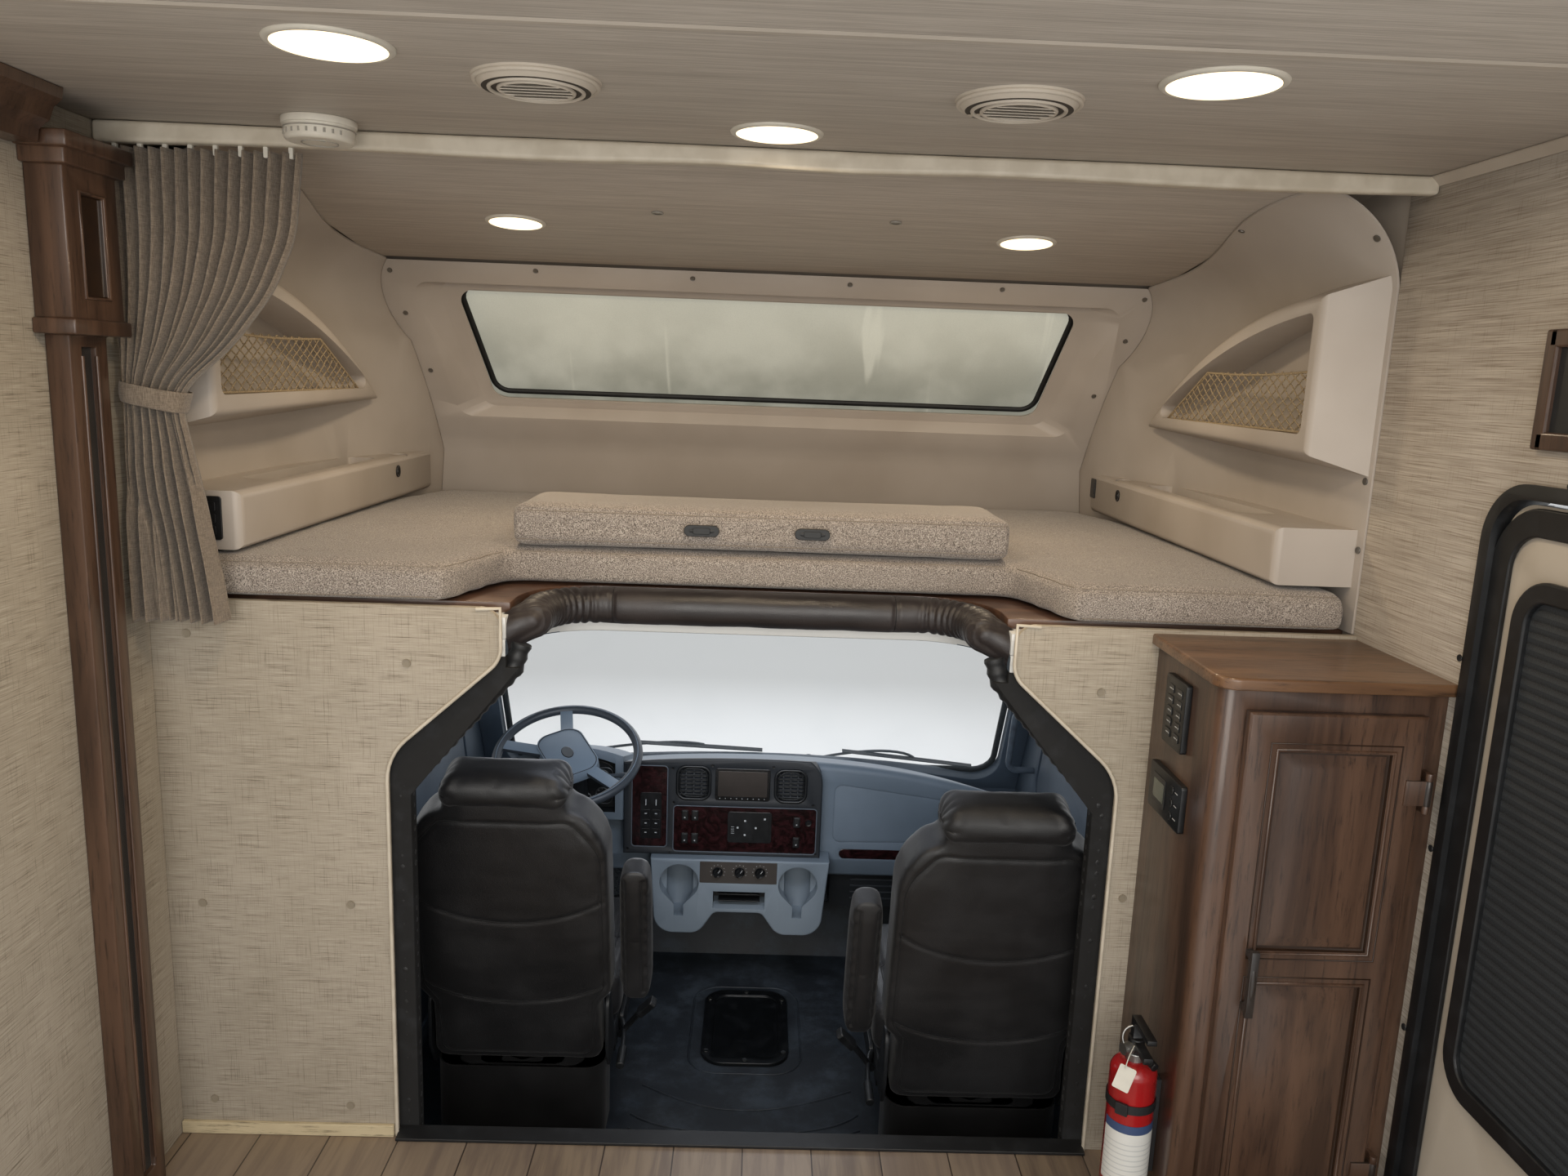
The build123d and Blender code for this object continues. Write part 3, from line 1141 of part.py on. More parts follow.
# Lower console with two cup scoops and a cubby between them
CONSOLE_TOP = CENTRE_Z[0] - 0.3
LOBE_FOOT = 535
SCOOPS = (-224, 151)
SCOOP_Z = (594, 667, 764)
SCOOP_R = 42
SLOT_HALF = 15
LIP = 8
with BuildPart() as console:
    front_slab(
        [
            (-315, CONSOLE_TOP), (-300, LOBE_FOOT), (-160, LOBE_FOOT), (-112, 608),
            (38, 608), (88, LOBE_FOOT), (226, LOBE_FOOT), (248, CONSOLE_TOP),
        ],
        CONSOLE_Y, corners=((1, 62), (2, 52), (3, 26), (4, 26), (5, 52), (6, 62)),
    )
    fillet(console.faces().sort_by(Axis.Y)[0].edges(), 6)
    foot, shoulder, head = SCOOP_Z
    for x in SCOOPS:
        with Locations((x, CONSOLE_Y[0] + LIP + SCOOP_R, 0)):
            with Locations((0, 0, (foot + head - SCOOP_R) / 2)):
                Cylinder(SCOOP_R, head - SCOOP_R - foot, mode=Mode.SUBTRACT)
            with Locations((0, 0, head - SCOOP_R)):
                Sphere(SCOOP_R, mode=Mode.SUBTRACT)
        with BuildSketch(Plane.XZ.offset(-CONSOLE_Y[0])):
            with BuildLine():
                Polyline((x + SCOOP_R + 6, shoulder), (x + SLOT_HALF, shoulder - 34), (x + SLOT_HALF, foot))
                Polyline((x + SLOT_HALF, foot), (x - SLOT_HALF, foot), (x - SLOT_HALF, shoulder - 34))
                Line((x - SLOT_HALF, shoulder - 34), (x - SCOOP_R - 6, shoulder))
                ThreePointArc((x - SCOOP_R - 6, shoulder), (x, head + 4), (x + SCOOP_R + 6, shoulder))
            make_face()
        extrude(amount=-LIP - SCOOP_R, mode=Mode.SUBTRACT)
    block((-116, 48), (CONSOLE_Y[0] - 1, CONSOLE_Y[0] + 90), (622, 680), Mode.SUBTRACT)
    block((-160, 84), (CONSOLE_Y[0] - 1, CONSOLE_Y[0] + 2), (708, 780), Mode.SUBTRACT)
save(console, "dash_console")

with BuildPart() as wheel:
    with BuildSketch(Plane(origin=wheel_plane.from_local_coords((WHEEL_R, 0, 0)), x_dir=(1, 0, 0), z_dir=wheel_plane.y_dir)):
        Circle(RIM_R)
    revolve(axis=Axis(WHEEL_MID, wheel_axis))
    with BuildSketch(wheel_plane.offset(-16)):
        with Locations(Location((0, 0), WHEEL_TURN)):
            RectangleRounded(210, 150, 50)
    extrude(amount=30, taper=6)
    for turn in SPOKES:
        with BuildSketch(wheel_plane.offset(-6)):
            with Locations(Location((0, 0), turn + WHEEL_TURN)):
                with Locations((WHEEL_R / 2 + 20, 0)):
                    Rectangle(WHEEL_R - 40, 38)
        extrude(amount=12)
    with BuildSketch(wheel_plane.offset(-60)):
        Circle(24)
    extrude(amount=50)
save(wheel, "steering_wheel")

with BuildPart() as column:
    with BuildSketch(wheel_plane.offset(-COLUMN_START)):
        RectangleRounded(*COLUMN_SIZE, 20)
    extrude(amount=-190)
    with BuildSketch(wheel_plane.offset(-COLUMN_START - 180)):
        Circle(30)
    extrude(amount=-220)
    with BuildSketch(wheel_plane.offset(-COLUMN_START - 390)):
        Circle(13)
    reach = (WHEEL_MID.Z - CAB_FLOOR - 7) / sin(radians(WHEEL_LEAN)) - COLUMN_START - 390
    extrude(amount=-reach)
    with BuildSketch(wheel_plane.offset(-COLUMN_START - 46)):
        with Locations((-90, 0)):
            Rectangle(180, 12)
    extrude(amount=-12)
save(column, "steering_column")

# Seats: X of the middle, Y of the back's foot and the side that carries the armrest
SEATS = {"driver": (-568, 357, 1), "passenger": (560, 232, -1)}
SEAT_HALF = 250
CUSHION_DEPTH = 490
CUSHION_Z = (602, 742)
BACK_LEAN = 12
BACK_FOOT = 560
BACK_THICK = 118
# The back's outline from its foot to its head: half-width, height along it, corner radius
BACK_OUTLINE = (
    (216, 0, 40), (216, 185, 20), (247, 222, 30), (247, 668, 150), (190, 742, 80), (152, 753, 10), (148, 828, 50),
)
RECLINE_UP = 150
RECLINER_R = 28
RECLINER_PLATE = 8
ARM_UP = 240
ARM_SPAN = (192, 577)
ARM_GAP = 7
ARM_WIDTH = 72
ARM_THICK = 76
ARM_PIN = 13


def seat_plane(mid_x, foot_y):
    """The plane of a seat back's rear face: local X across the seat, local Y up the back."""
    lean = radians(BACK_LEAN)
    return Plane(origin=(mid_x, foot_y, BACK_FOOT), x_dir=(1, 0, 0), z_dir=(0, -cos(lean), -sin(lean)))


for name, (mid_x, foot_y, arm_side) in SEATS.items():
    back_plane = seat_plane(mid_x, foot_y)
    cushion_y = foot_y + BACK_THICK
    recline = back_plane.from_local_coords(Vector(0, RECLINE_UP, -BACK_THICK / 2))

    with BuildPart() as back:
        right_edge = [(x, y) for x, y, radius in BACK_OUTLINE]
        left_edge = [(-x, y) for x, y, radius in reversed(BACK_OUTLINE)]
        with BuildSketch(back_plane) as face:
            with BuildLine():
                Polyline(*right_edge, *left_edge, close=True)
            make_face()
            for x, y, radius in BACK_OUTLINE:
                round_corners(face, ((x, y), (-x, y)), None, radius)
        extrude(amount=-BACK_THICK)
        ends = back.faces().filter_by(GeomType.PLANE).sort_by(SortBy.AREA)[-2:]
        fillet(ends.edges(), 16)
    save(back, f"{name}_seat_back")

    with BuildPart() as cushion:
        block((mid_x - SEAT_HALF, mid_x + SEAT_HALF), (cushion_y, cushion_y + CUSHION_DEPTH), CUSHION_Z)
        fillet(cushion.edges(), 34)
    save(cushion, f"{name}_seat_cushion")

    with BuildPart() as base:
        block((mid_x - 170, mid_x + 170), (cushion_y + 60, cushion_y + 420), (CAB_FLOOR + 0.3, CAB_FLOOR + 190))
        fillet(base.edges().filter_by(Axis.Z), 30)
        block((mid_x - 190, mid_x + 190), (cushion_y + 30, cushion_y + 450), (CAB_FLOOR + 190, CAB_FLOOR + 240))
        frame_top = CUSHION_Z[0] - 0.3
        block((mid_x - 225, mid_x + 225), (cushion_y + 10, cushion_y + 470), (CAB_FLOOR + 240, frame_top))
        inner = BACK_OUTLINE[0][0] + PIN_GAP
        for side in SIDES.values():
            plate = on_wall(mid_x + side * inner)
            with BuildSketch(plate) as outline:
                with BuildLine():
                    Polyline(
                        (recline.Y - RECLINER_R, recline.Z), (recline.Y - RECLINER_R, 610),
                        (recline.Y + 10, 540), (cushion_y + 80, 540), (cushion_y + 80, frame_top),
                        (cushion_y - 6, frame_top), (recline.Y + RECLINER_R, recline.Z), close=True,
                    )
                make_face()
                with Locations((recline.Y, recline.Z)):
                    Circle(RECLINER_R)
            extrude(amount=side * RECLINER_PLATE)
    save(base, f"{name}_seat_base")

    arm_x = arm_side * (SEAT_HALF + ARM_GAP + ARM_WIDTH / 2)
    pivot = back_plane.from_local_coords(Vector(arm_x, ARM_UP, -BACK_THICK / 2))
    arm_plane = Plane(origin=pivot, x_dir=(1, 0, 0), z_dir=back_plane.z_dir)
    with BuildPart() as armrest:
        with BuildSketch(arm_plane.offset(-ARM_THICK / 2)):
            with Locations((0, sum(ARM_SPAN) / 2 - ARM_UP)):
                RectangleRounded(ARM_WIDTH, ARM_SPAN[1] - ARM_SPAN[0], 28)
        extrude(amount=ARM_THICK)
        ends = armrest.faces().filter_by(GeomType.PLANE).sort_by(lambda f: f.center().dot(arm_plane.z_dir))
        fillet(ends[0].edges(), 16)
        with BuildSketch(Plane(origin=pivot, x_dir=(0, 1, 0), z_dir=(arm_side, 0, 0))):
            Circle(ARM_PIN)
        reach = SEAT_HALF + ARM_GAP + ARM_WIDTH / 2 - BACK_OUTLINE[2][0] - PIN_GAP
        extrude(amount=-reach)
    save(armrest, f"{name}_armrest")
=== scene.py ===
"""Looks of the motorhome's front section: cab, over-cab bunk and the first metre of the living space.

Metres, in the part's own frame: +X is the vehicle's right, +Y forwards, +Z up, and Y = 0 is the
rear face of the bulkhead.
"""

import json
from math import atan2, cos, hypot, pi, radians, sin, sqrt, tan

import bpy
from mathutils import Matrix, Vector, noise
from mathutils.bvhtree import BVHTree
from mathutils.kdtree import KDTree


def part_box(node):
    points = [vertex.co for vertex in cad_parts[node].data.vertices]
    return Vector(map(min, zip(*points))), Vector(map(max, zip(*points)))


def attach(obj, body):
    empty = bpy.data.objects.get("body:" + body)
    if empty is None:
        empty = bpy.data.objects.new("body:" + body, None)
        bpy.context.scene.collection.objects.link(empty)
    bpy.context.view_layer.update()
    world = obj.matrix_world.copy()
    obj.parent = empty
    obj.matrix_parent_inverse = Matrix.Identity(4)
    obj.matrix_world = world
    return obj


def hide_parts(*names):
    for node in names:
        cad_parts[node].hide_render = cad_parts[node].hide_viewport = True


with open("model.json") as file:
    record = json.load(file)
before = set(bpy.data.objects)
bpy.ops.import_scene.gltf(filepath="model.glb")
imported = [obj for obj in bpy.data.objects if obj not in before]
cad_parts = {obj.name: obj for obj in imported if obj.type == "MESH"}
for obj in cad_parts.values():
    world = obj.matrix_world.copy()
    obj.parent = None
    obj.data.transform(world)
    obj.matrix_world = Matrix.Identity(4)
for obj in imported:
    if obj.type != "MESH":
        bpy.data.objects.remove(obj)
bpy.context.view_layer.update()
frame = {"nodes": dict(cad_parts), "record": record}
NODES = frame["nodes"]
BODY_OF = {node: body for body, nodes in frame["record"]["behaviour"]["bodies"].items() for node in nodes}
SIDES = {"left": -1, "right": 1}
MAIN_BODY = BODY_OF["coach_floor"]

# Driving places, in metres
CEILING_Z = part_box("roof_panel")[0].z
WALL_FACE = 1.2195  # half a millimetre off the side walls' inner faces
CEILING_FACE = 2.6895  # half a millimetre under the ceiling
CUT_FACE = -1.079  # a millimetre before the flat cut
BUNK_CEILING_Z = 2.6834  # of the sloping ceiling over the bunk, at Y = 0
BUNK_CEILING_DROP = 0.1045  # that it falls for each metre forwards
PANEL_FACE = 1.1362  # Y of the dash's centre panel, a hair before its face


# Shader writing: values that take Python's arithmetic, and one method for every other node
def plug(tree, entry, value):
    """Join a socket to a value's wire, or give it the number or colour itself."""
    if isinstance(value, Wire):
        tree.links.new(value.socket, entry)
    else:
        entry.default_value = value


class Wire:
    """A shader value; operators on it add Math nodes."""

    def __init__(self, tree, socket):
        self.tree = tree
        self.socket = socket

    def math(self, operation, *values):
        made = self.tree.nodes.new("ShaderNodeMath")
        made.operation = operation
        for entry, value in zip(made.inputs, values):
            plug(self.tree, entry, value)
        return Wire(self.tree, made.outputs[0])

    def __add__(self, other):
        return self.math("ADD", self, other)

    def __radd__(self, other):
        return self.math("ADD", other, self)

    def __sub__(self, other):
        return self.math("SUBTRACT", self, other)

    def __rsub__(self, other):
        return self.math("SUBTRACT", other, self)

    def __mul__(self, other):
        return self.math("MULTIPLY", self, other)

    def __rmul__(self, other):
        return self.math("MULTIPLY", other, self)

    def __truediv__(self, other):
        return self.math("DIVIDE", self, other)

    def __mod__(self, other):
        return self.math("FLOORED_MODULO", self, other)

    def __pow__(self, other):
        return self.math("POWER", self, other)

    def __gt__(self, other):
        return self.math("GREATER_THAN", self, other)

    def __lt__(self, other):
        return self.math("LESS_THAN", self, other)

    def __abs__(self):
        return self.math("ABSOLUTE", self)

    def floor(self):
        return self.math("FLOOR", self)

    def largest(self, other):
        return self.math("MAXIMUM", self, other)

    def smallest(self, other):
        return self.math("MINIMUM", self, other)


def rgb(text):
    """A web colour as the linear colour that Blender's sockets take."""
    parts = [int(text[i:i + 2], 16) / 255 for i in (1, 3, 5)]
    linear = [c / 12.92 if c <= 0.04045 else ((c + 0.055) / 1.055) ** 2.4 for c in parts]
    return (*linear, 1.0)


def as_colour(value):
    """A colour given as a web colour or as a wire."""
    return rgb(value) if isinstance(value, str) else value


class Finish:
    """A material in the making."""

    def __init__(self, name, roughness=0.5, metallic=0.0, coat=0.0, sheen=0.0):
        self.material = bpy.data.materials.new(name)
        self.material.use_nodes = True
        self.tree = self.material.node_tree
        self.shader = self.tree.nodes["Principled BSDF"]
        self.put("Roughness", roughness)
        self.put("Metallic", metallic)
        self.put("Coat Weight", coat)
        self.put("Coat Roughness", 0.15)
        self.put("Sheen Weight", sheen)
        self.place = self.node("TexCoord", "Object")
        self.x, self.y, self.z = (
            self.node("SeparateXYZ", axis, {}, {"Vector": self.place}) for axis in "XYZ"
        )

    def put(self, socket, value):
        plug(self.tree, self.shader.inputs[socket], value)

    def node(self, kind, output, settings=None, inputs=None):
        made = self.tree.nodes.new("ShaderNode" + kind)
        for name, value in (settings or {}).items():
            setattr(made, name, value)
        for name, value in (inputs or {}).items():
            plug(self.tree, made.inputs[name], value)
        return Wire(self.tree, made.outputs[output])

    def stretched(self, x, y, z):
        """The place on the piece, with each axis scaled."""
        return self.node("CombineXYZ", 0, {}, {"X": x, "Y": y, "Z": z})

    def noise(self, scale, detail=2.0, roughness=0.5, vector=None, distortion=0.0):
        values = {"Scale": scale, "Detail": detail, "Roughness": roughness, "Distortion": distortion}
        values["Vector"] = vector or self.place
        return self.node("TexNoise", "Fac", {}, values)

    def cells(self, scale):
        return self.node("TexVoronoi", "Distance", {}, {"Scale": scale, "Vector": self.place})

    def step(self, value, low, high):
        """0 below low and 1 above high, smooth between them."""
        settings = {"interpolation_type": "SMOOTHSTEP"}
        return self.node("MapRange", 0, settings, {0: value, 1: low, 2: high, 3: 0.0, 4: 1.0})

    def mix(self, factor, first, second):
        ends = {6: as_colour(first), 7: as_colour(second)}
        return self.node("Mix", 2, {"data_type": "RGBA"}, {0: factor, **ends})

    def colour(self, value):
        self.put("Base Color", as_colour(value))

    def bump(self, height, distance, strength=1.0):
        values = {"Height": height, "Distance": distance, "Strength": strength}
        self.put("Normal", self.node("Bump", "Normal", {}, values))


FINISHES = {}


def finish(make):
    """Make each finish once, on its first use."""
    def once(*words):
        key = (make.__name__, *words)
        if key not in FINISHES:
            FINISHES[key] = make(*words)
        return FINISHES[key]
    return once


@finish
def moulded_plastic(colour="#b4aba2", darker="#a89e94", roughness=0.5):
    """Vacuum-formed panel: fine pebble, faint tone changes."""
    f = Finish("moulded_plastic", roughness)
    cloud = f.noise(3.0, 3.0)
    f.colour(f.mix(f.step(cloud, 0.3, 0.75), colour, darker))
    f.put("Roughness", roughness + (cloud - 0.5) * 0.12)
    f.bump(f.noise(900.0, 2.0), 0.00025, 0.5)
    return f.material


def outside_mask(f):
    """1 on the faces of the coach that meet the open air."""
    beyond = (abs(f.x) > 1.2225).largest(f.y > 0.0175)
    return beyond.largest(f.z > 2.735)


@finish
def linen_paper(outside="#dfe0de"):
    """Woven-look wallpaper inside the room, smooth gelcoat on faces outside it."""
    f = Finish("linen_paper", 0.75)
    along = f.x + f.y
    weft = f.noise(1.0, 3.0, 0.62, f.stretched(along * 13.0, 0.0, f.z * 520.0))
    warp = f.noise(1.0, 3.0, 0.62, f.stretched(along * 470.0, 5.0, f.z * 11.0))
    slub = f.noise(1.0, 2.0, 0.5, f.stretched(along * 5.0, 9.0, f.z * 150.0))
    patch = f.noise(1.7, 3.0, 0.6)
    close = f.noise(26.0, 2.0)
    base = f.mix(f.step(patch, 0.35, 0.65), "#aba192", "#9e9484")
    base = f.mix(f.step(weft, 0.5, 0.32) * 0.5, base, "#c0b7a8")
    density = f.step(close, 0.3, 0.7) * 0.45 + 0.55
    threads = (
        f.step(weft, 0.53, 0.66) * 0.85 + f.step(warp, 0.54, 0.68) * 0.6 + f.step(slub, 0.58, 0.7) * 0.35
    )
    paper = f.mix((threads * density).smallest(1.0), base, "#746a5b")
    outdoors = outside_mask(f)
    f.colour(f.mix(outdoors, paper, outside))
    f.put("Roughness", 0.78 - outdoors * 0.55)
    f.bump((weft + warp) * (1.0 - outdoors), 0.0007, 0.7)
    return f.material


@finish
def streaked_paper(outside="#dfe0de"):
    """Paler wallpaper of the right wall: level streaks over a faint weave."""
    f = Finish("streaked_paper", 0.72)
    along = f.x + f.y
    weft = f.noise(1.0, 3.0, 0.62, f.stretched(along * 7.0, 3.0, f.z * 430.0))
    broad = f.noise(1.0, 2.0, 0.5, f.stretched(along * 3.0, 8.0, f.z * 90.0))
    warp = f.noise(1.0, 2.0, 0.5, f.stretched(along * 420.0, 5.0, f.z * 16.0))
    base = f.mix(f.step(broad, 0.35, 0.65), "#b5aca0", "#a69c90")
    marks = f.step(weft, 0.5, 0.66) * 0.8 + f.step(warp, 0.56, 0.7) * 0.35
    paper = f.mix(marks.smallest(1.0), base, "#897d6e")
    paper = f.mix(f.step(weft, 0.48, 0.34) * 0.5, paper, "#cbc2b4")
    outdoors = outside_mask(f)
    f.colour(f.mix(outdoors, paper, outside))
    f.put("Roughness", 0.75 - outdoors * 0.52)
    f.bump((weft + warp * 0.5) * (1.0 - outdoors), 0.0006, 0.6)
    return f.material


@finish
def edge_band():
    f = Finish("edge_band", 0.4)
    f.colour(f.mix(f.step(f.noise(20.0, 3.0), 0.3, 0.7), "#cdc4b4", "#bdb3a2"))
    f.bump(f.noise(500.0), 0.0001, 0.4)
    return f.material


@finish
def streaked_ceiling(outside="#e2e3e3"):
    """Pale ceiling board with fine streaks across the vehicle."""
    f = Finish("streaked_ceiling", 0.5)
    fine = f.noise(1.0, 4.0, 0.65, f.stretched(f.x * 7.0, f.y * 480.0, f.z * 30.0))
    broad = f.noise(1.0, 3.0, 0.55, f.stretched(f.x * 1.4, f.y * 60.0, f.z))
    board = f.mix(f.step(fine, 0.38, 0.66), "#c3bab0", "#a69d93")
    board = f.mix(f.step(broad, 0.42, 0.75) * 0.45, board, "#988f86")
    outdoors = f.z > 2.735
    f.colour(f.mix(outdoors, board, outside))
    f.bump(fine, 0.0002, 0.4)
    return f.material


@finish
def gelcoat(tone="#dfe0de"):
    """Glossy painted skin with road dust in the broad hollows."""
    f = Finish("gelcoat", 0.22, coat=0.4)
    dust = f.step(f.noise(1.6, 4.0), 0.35, 0.8)
    f.colour(f.mix(dust * 0.5, tone, "#d6d8d8"))
    f.put("Roughness", 0.2 + dust * 0.12)
    f.bump(f.noise(14.0, 2.0), 0.0004, 0.25)
    return f.material


@finish
def heather_cloth():
    """Mattress and filler cover: mixed grey, brown and cream yarns."""
    f = Finish("heather_cloth", 0.92, sheen=0.25)
    fleck = f.noise(430.0, 2.0, 0.7)
    second = f.noise(210.0, 2.0, 0.6)
    broad = f.noise(4.0, 2.0)
    yarn = f.mix(f.step(fleck, 0.4, 0.6), "#59504a", "#bab0a6")
    yarn = f.mix(f.step(second, 0.45, 0.62) * 0.6, yarn, "#8b8178")
    f.colour(f.mix(f.step(broad, 0.3, 0.8) * 0.25, yarn, "#776d65"))
    f.bump(fleck + second * 0.6, 0.0012, 0.7)
    return f.material


@finish
def varnished_wood(tone="#3c2a20", grain_axis="z", light="#5a4233"):
    """Stained maple: long grain with darker pores, satin varnish."""
    f = Finish("varnished_wood", 0.33, coat=0.25)
    stretch = {
        "z": (f.x * 9.0, f.y * 9.0, f.z * 0.8),
        "x": (f.x * 0.8, f.y * 9.0, f.z * 9.0),
        "y": (f.x * 9.0, f.y * 0.8, f.z * 9.0),
    }[grain_axis]
    along = f.stretched(*stretch)
    figure = f.noise(1.6, 4.0, 0.6, along, 0.6)
    pores = f.noise(16.0, 4.0, 0.7, along)
    board = f.mix(f.step(figure, 0.33, 0.68), tone, light)
    board = f.mix(f.step(pores, 0.5, 0.72) * 0.7, board, "#20140e")
    f.colour(board)
    f.put("Roughness", 0.3 + pores * 0.15)
    f.bump(pores, 0.0003, 0.5)
    return f.material


@finish
def groove_dark_finish():
    """Dark colour laid on the grooves and recesses of the mouldings."""
    f = Finish("groove_dark_finish", 0.45)
    f.colour(f.mix(f.noise(40.0), "#20120b", "#33200f"))
    f.bump(f.noise(200.0), 0.0002, 0.4)
    return f.material


@finish
def leather(tone="#2f2927", lighter="#453c38", roughness=0.42):
    """Upholstery hide: small creased cells and worn, glossier patches."""
    f = Finish("leather", roughness, sheen=0.08)
    cell = f.cells(560.0)
    crease = f.noise(34.0, 4.0, 0.65)
    wear = f.noise(6.0, 3.0)
    f.colour(f.mix(f.step(wear, 0.35, 0.75), tone, lighter))
    f.put("Roughness", roughness - 0.08 + f.step(wear, 0.3, 0.7) * 0.16)
    f.bump(cell * 0.5 + crease * 1.1, 0.0009, 0.55)
    return f.material


@finish
def curtain_cloth():
    """Heavy plain weave with uneven upright yarns."""
    f = Finish("curtain_cloth", 0.95, sheen=0.3)
    yarn = f.noise(1.0, 3.0, 0.6, f.stretched(f.x * 700.0, f.y * 700.0, f.z * 60.0))
    cross = f.noise(1.0, 2.0, 0.6, f.stretched(f.x * 60.0, f.y * 60.0, f.z * 800.0))
    f.colour(f.mix(f.step(yarn * 0.6 + cross * 0.4, 0.4, 0.6), "#65594d", "#857869"))
    f.bump(yarn + cross, 0.0006, 0.6)
    return f.material


@finish
def net_cord():
    f = Finish("net_cord", 0.85)
    f.colour(f.mix(f.step(f.noise(400.0), 0.4, 0.6), "#7f6f57", "#ac9a7b"))
    f.bump(f.noise(900.0), 0.0004)
    return f.material


@finish
def dash_plastic(tone="#66737f", lighter="#727f8c", roughness=0.52):
    """Soft-grained moulding of the dash."""
    f = Finish("dash_plastic", roughness)
    dust = f.noise(4.0, 3.0)
    f.colour(f.mix(f.step(dust, 0.3, 0.7), tone, lighter))
    f.put("Roughness", roughness - 0.05 + dust * 0.12)
    f.bump(f.cells(650.0), 0.0004, 0.45)
    return f.material


@finish
def black_plastic(tone="#141517", roughness=0.4):
    f = Finish("black_plastic", roughness)
    haze = f.noise(30.0, 3.0)
    f.colour(f.mix(f.step(haze, 0.45, 0.8) * 0.5, tone, "#26282b"))
    f.put("Roughness", roughness - 0.04 + haze * 0.1)
    f.bump(f.noise(1100.0), 0.0002, 0.4)
    return f.material


@finish
def burr_wood():
    """Dark red burr veneer under lacquer."""
    f = Finish("burr_wood", 0.2, coat=0.6)
    swirl = f.noise(24.0, 5.0, 0.6, distortion=2.2)
    f.colour(f.mix(f.step(swirl, 0.35, 0.7), "#120808", "#33181a"))
    f.bump(swirl, 0.0001, 0.2)
    return f.material


@finish
def ribbed_rubber():
    """Floor mat: pebbled rubber with scuffs and dust."""
    f = Finish("ribbed_rubber", 0.6)
    scuff = f.noise(7.0, 5.0, 0.7)
    grit = f.noise(160.0, 2.0)
    worn = f.step(scuff, 0.42, 0.72)
    f.colour(f.mix(worn * 0.55, "#23282e", "#48525c"))
    f.put("Roughness", 0.42 + scuff * 0.3)
    f.bump(f.cells(380.0) * 0.6 + grit * 0.3, 0.0009, 0.55)
    return f.material


@finish
def carpet():
    """Short grey-blue pile with pale flecks."""
    f = Finish("carpet", 1.0, sheen=0.2)
    pile = f.noise(380.0, 3.0, 0.8)
    f.colour(f.mix(f.step(pile, 0.42, 0.62), "#2d343c", "#76808a"))
    f.bump(pile, 0.003)
    return f.material


@finish
def plank_floor():
    """Grey-brown planks that run lengthwise, with thin joints."""
    f = Finish("plank_floor", 0.45)
    plank_wide = 0.15
    row = (f.x / plank_wide).floor()
    joint = abs((f.x / plank_wide) % 1.0 - 0.5) > 0.49
    shade = f.node("TexWhiteNoise", "Value", {"noise_dimensions": "1D"}, {"W": row})
    grain = f.noise(1.0, 4.0, 0.6, f.stretched(f.x * 40.0, f.y * 3.0 + row * 7.0, f.z), 0.5)
    board = f.mix(f.step(grain, 0.35, 0.7), "#94836f", "#75665a")
    board = f.mix(shade * 0.4, board, "#a5968a")
    f.colour(f.mix(joint, board, "#3f352e"))
    f.put("Roughness", 0.38 + grain * 0.15)
    f.bump(grain, 0.0004, 0.4)
    return f.material


@finish
def painted_metal(tone="#1b1c1e", roughness=0.4):
    f = Finish("painted_metal", roughness, coat=0.2)
    f.colour(f.mix(f.step(f.noise(7.0, 4.0), 0.4, 0.8) * 0.4, tone, "#3a3b3d"))
    f.bump(f.noise(300.0), 0.00015, 0.3)
    return f.material


@finish
def coloured_paint(tone, roughness=0.25):
    f = Finish("coloured_paint", roughness, coat=0.4)
    worn = f.noise(9.0, 3.0)
    f.colour(f.mix(f.step(worn, 0.3, 0.8) * 0.25, tone, "#2a2523"))
    f.put("Roughness", roughness - 0.04 + worn * 0.1)
    return f.material


@finish
def bright_metal(tone="#b9b9b6", roughness=0.25):
    f = Finish("bright_metal", roughness, metallic=1.0)
    f.colour(f.mix(f.noise(60.0), tone, "#8e8f8f"))
    f.put("Roughness", roughness + f.noise(120.0, 2.0) * 0.12)
    return f.material


@finish
def glass(tone="#dfeaea", alpha=0.1):
    """Clear pane with faint wiped streaks."""
    f = Finish("glass", 0.04, coat=0.3)
    streak = f.step(f.noise(5.0, 3.0), 0.4, 0.8)
    f.colour(tone)
    f.put("Roughness", 0.03 + streak * 0.05)
    f.put("Alpha", alpha + streak * 0.02)
    return f.material


@finish
def display_glass(tone):
    f = Finish("display_glass", 0.12, coat=0.3)
    smear = f.noise(18.0, 3.0)
    f.colour(f.mix(f.step(smear, 0.4, 0.8) * 0.3, tone, "#23201e"))
    f.put("Roughness", 0.1 + smear * 0.1)
    return f.material


@finish
def shade_glass():
    """The nose window's pane behind its perforated shade, with painted daylight: it glows, is paler towards
    the top and carries a painted reflection of tree trunks in pale upright streaks.
    """
    f = Finish("shade_glass", 0.35)
    # Pale upright streaks: a painted reflection of tree trunks
    upright = f.noise(1.0, 3.0, 0.6, f.stretched(f.x * 11.0, 2.0, f.z * 1.3), 0.3)
    haze = f.noise(5.0, 3.0)
    # Paler towards the top: painted daylight
    height = f.step(f.z, 2.20, 2.50)
    painted_daylight_tint = f.mix(f.step(haze, 0.3, 0.7), "#8a8c82", "#adafa5")
    painted_daylight_tint = f.mix(height * 0.75, painted_daylight_tint, "#c5c6ba")
    painted_daylight_tint = f.mix(f.step(upright, 0.60, 0.68) * 0.5, painted_daylight_tint, "#d0d1c5")
    f.colour(painted_daylight_tint)
    # The pane glows with painted daylight, though it is no lamp
    f.put("Emission Color", painted_daylight_tint)
    f.put("Emission Strength", 0.4)
    f.put("Alpha", 0.86 + f.step(f.cells(420.0), 0.1, 0.5) * 0.1)
    return f.material


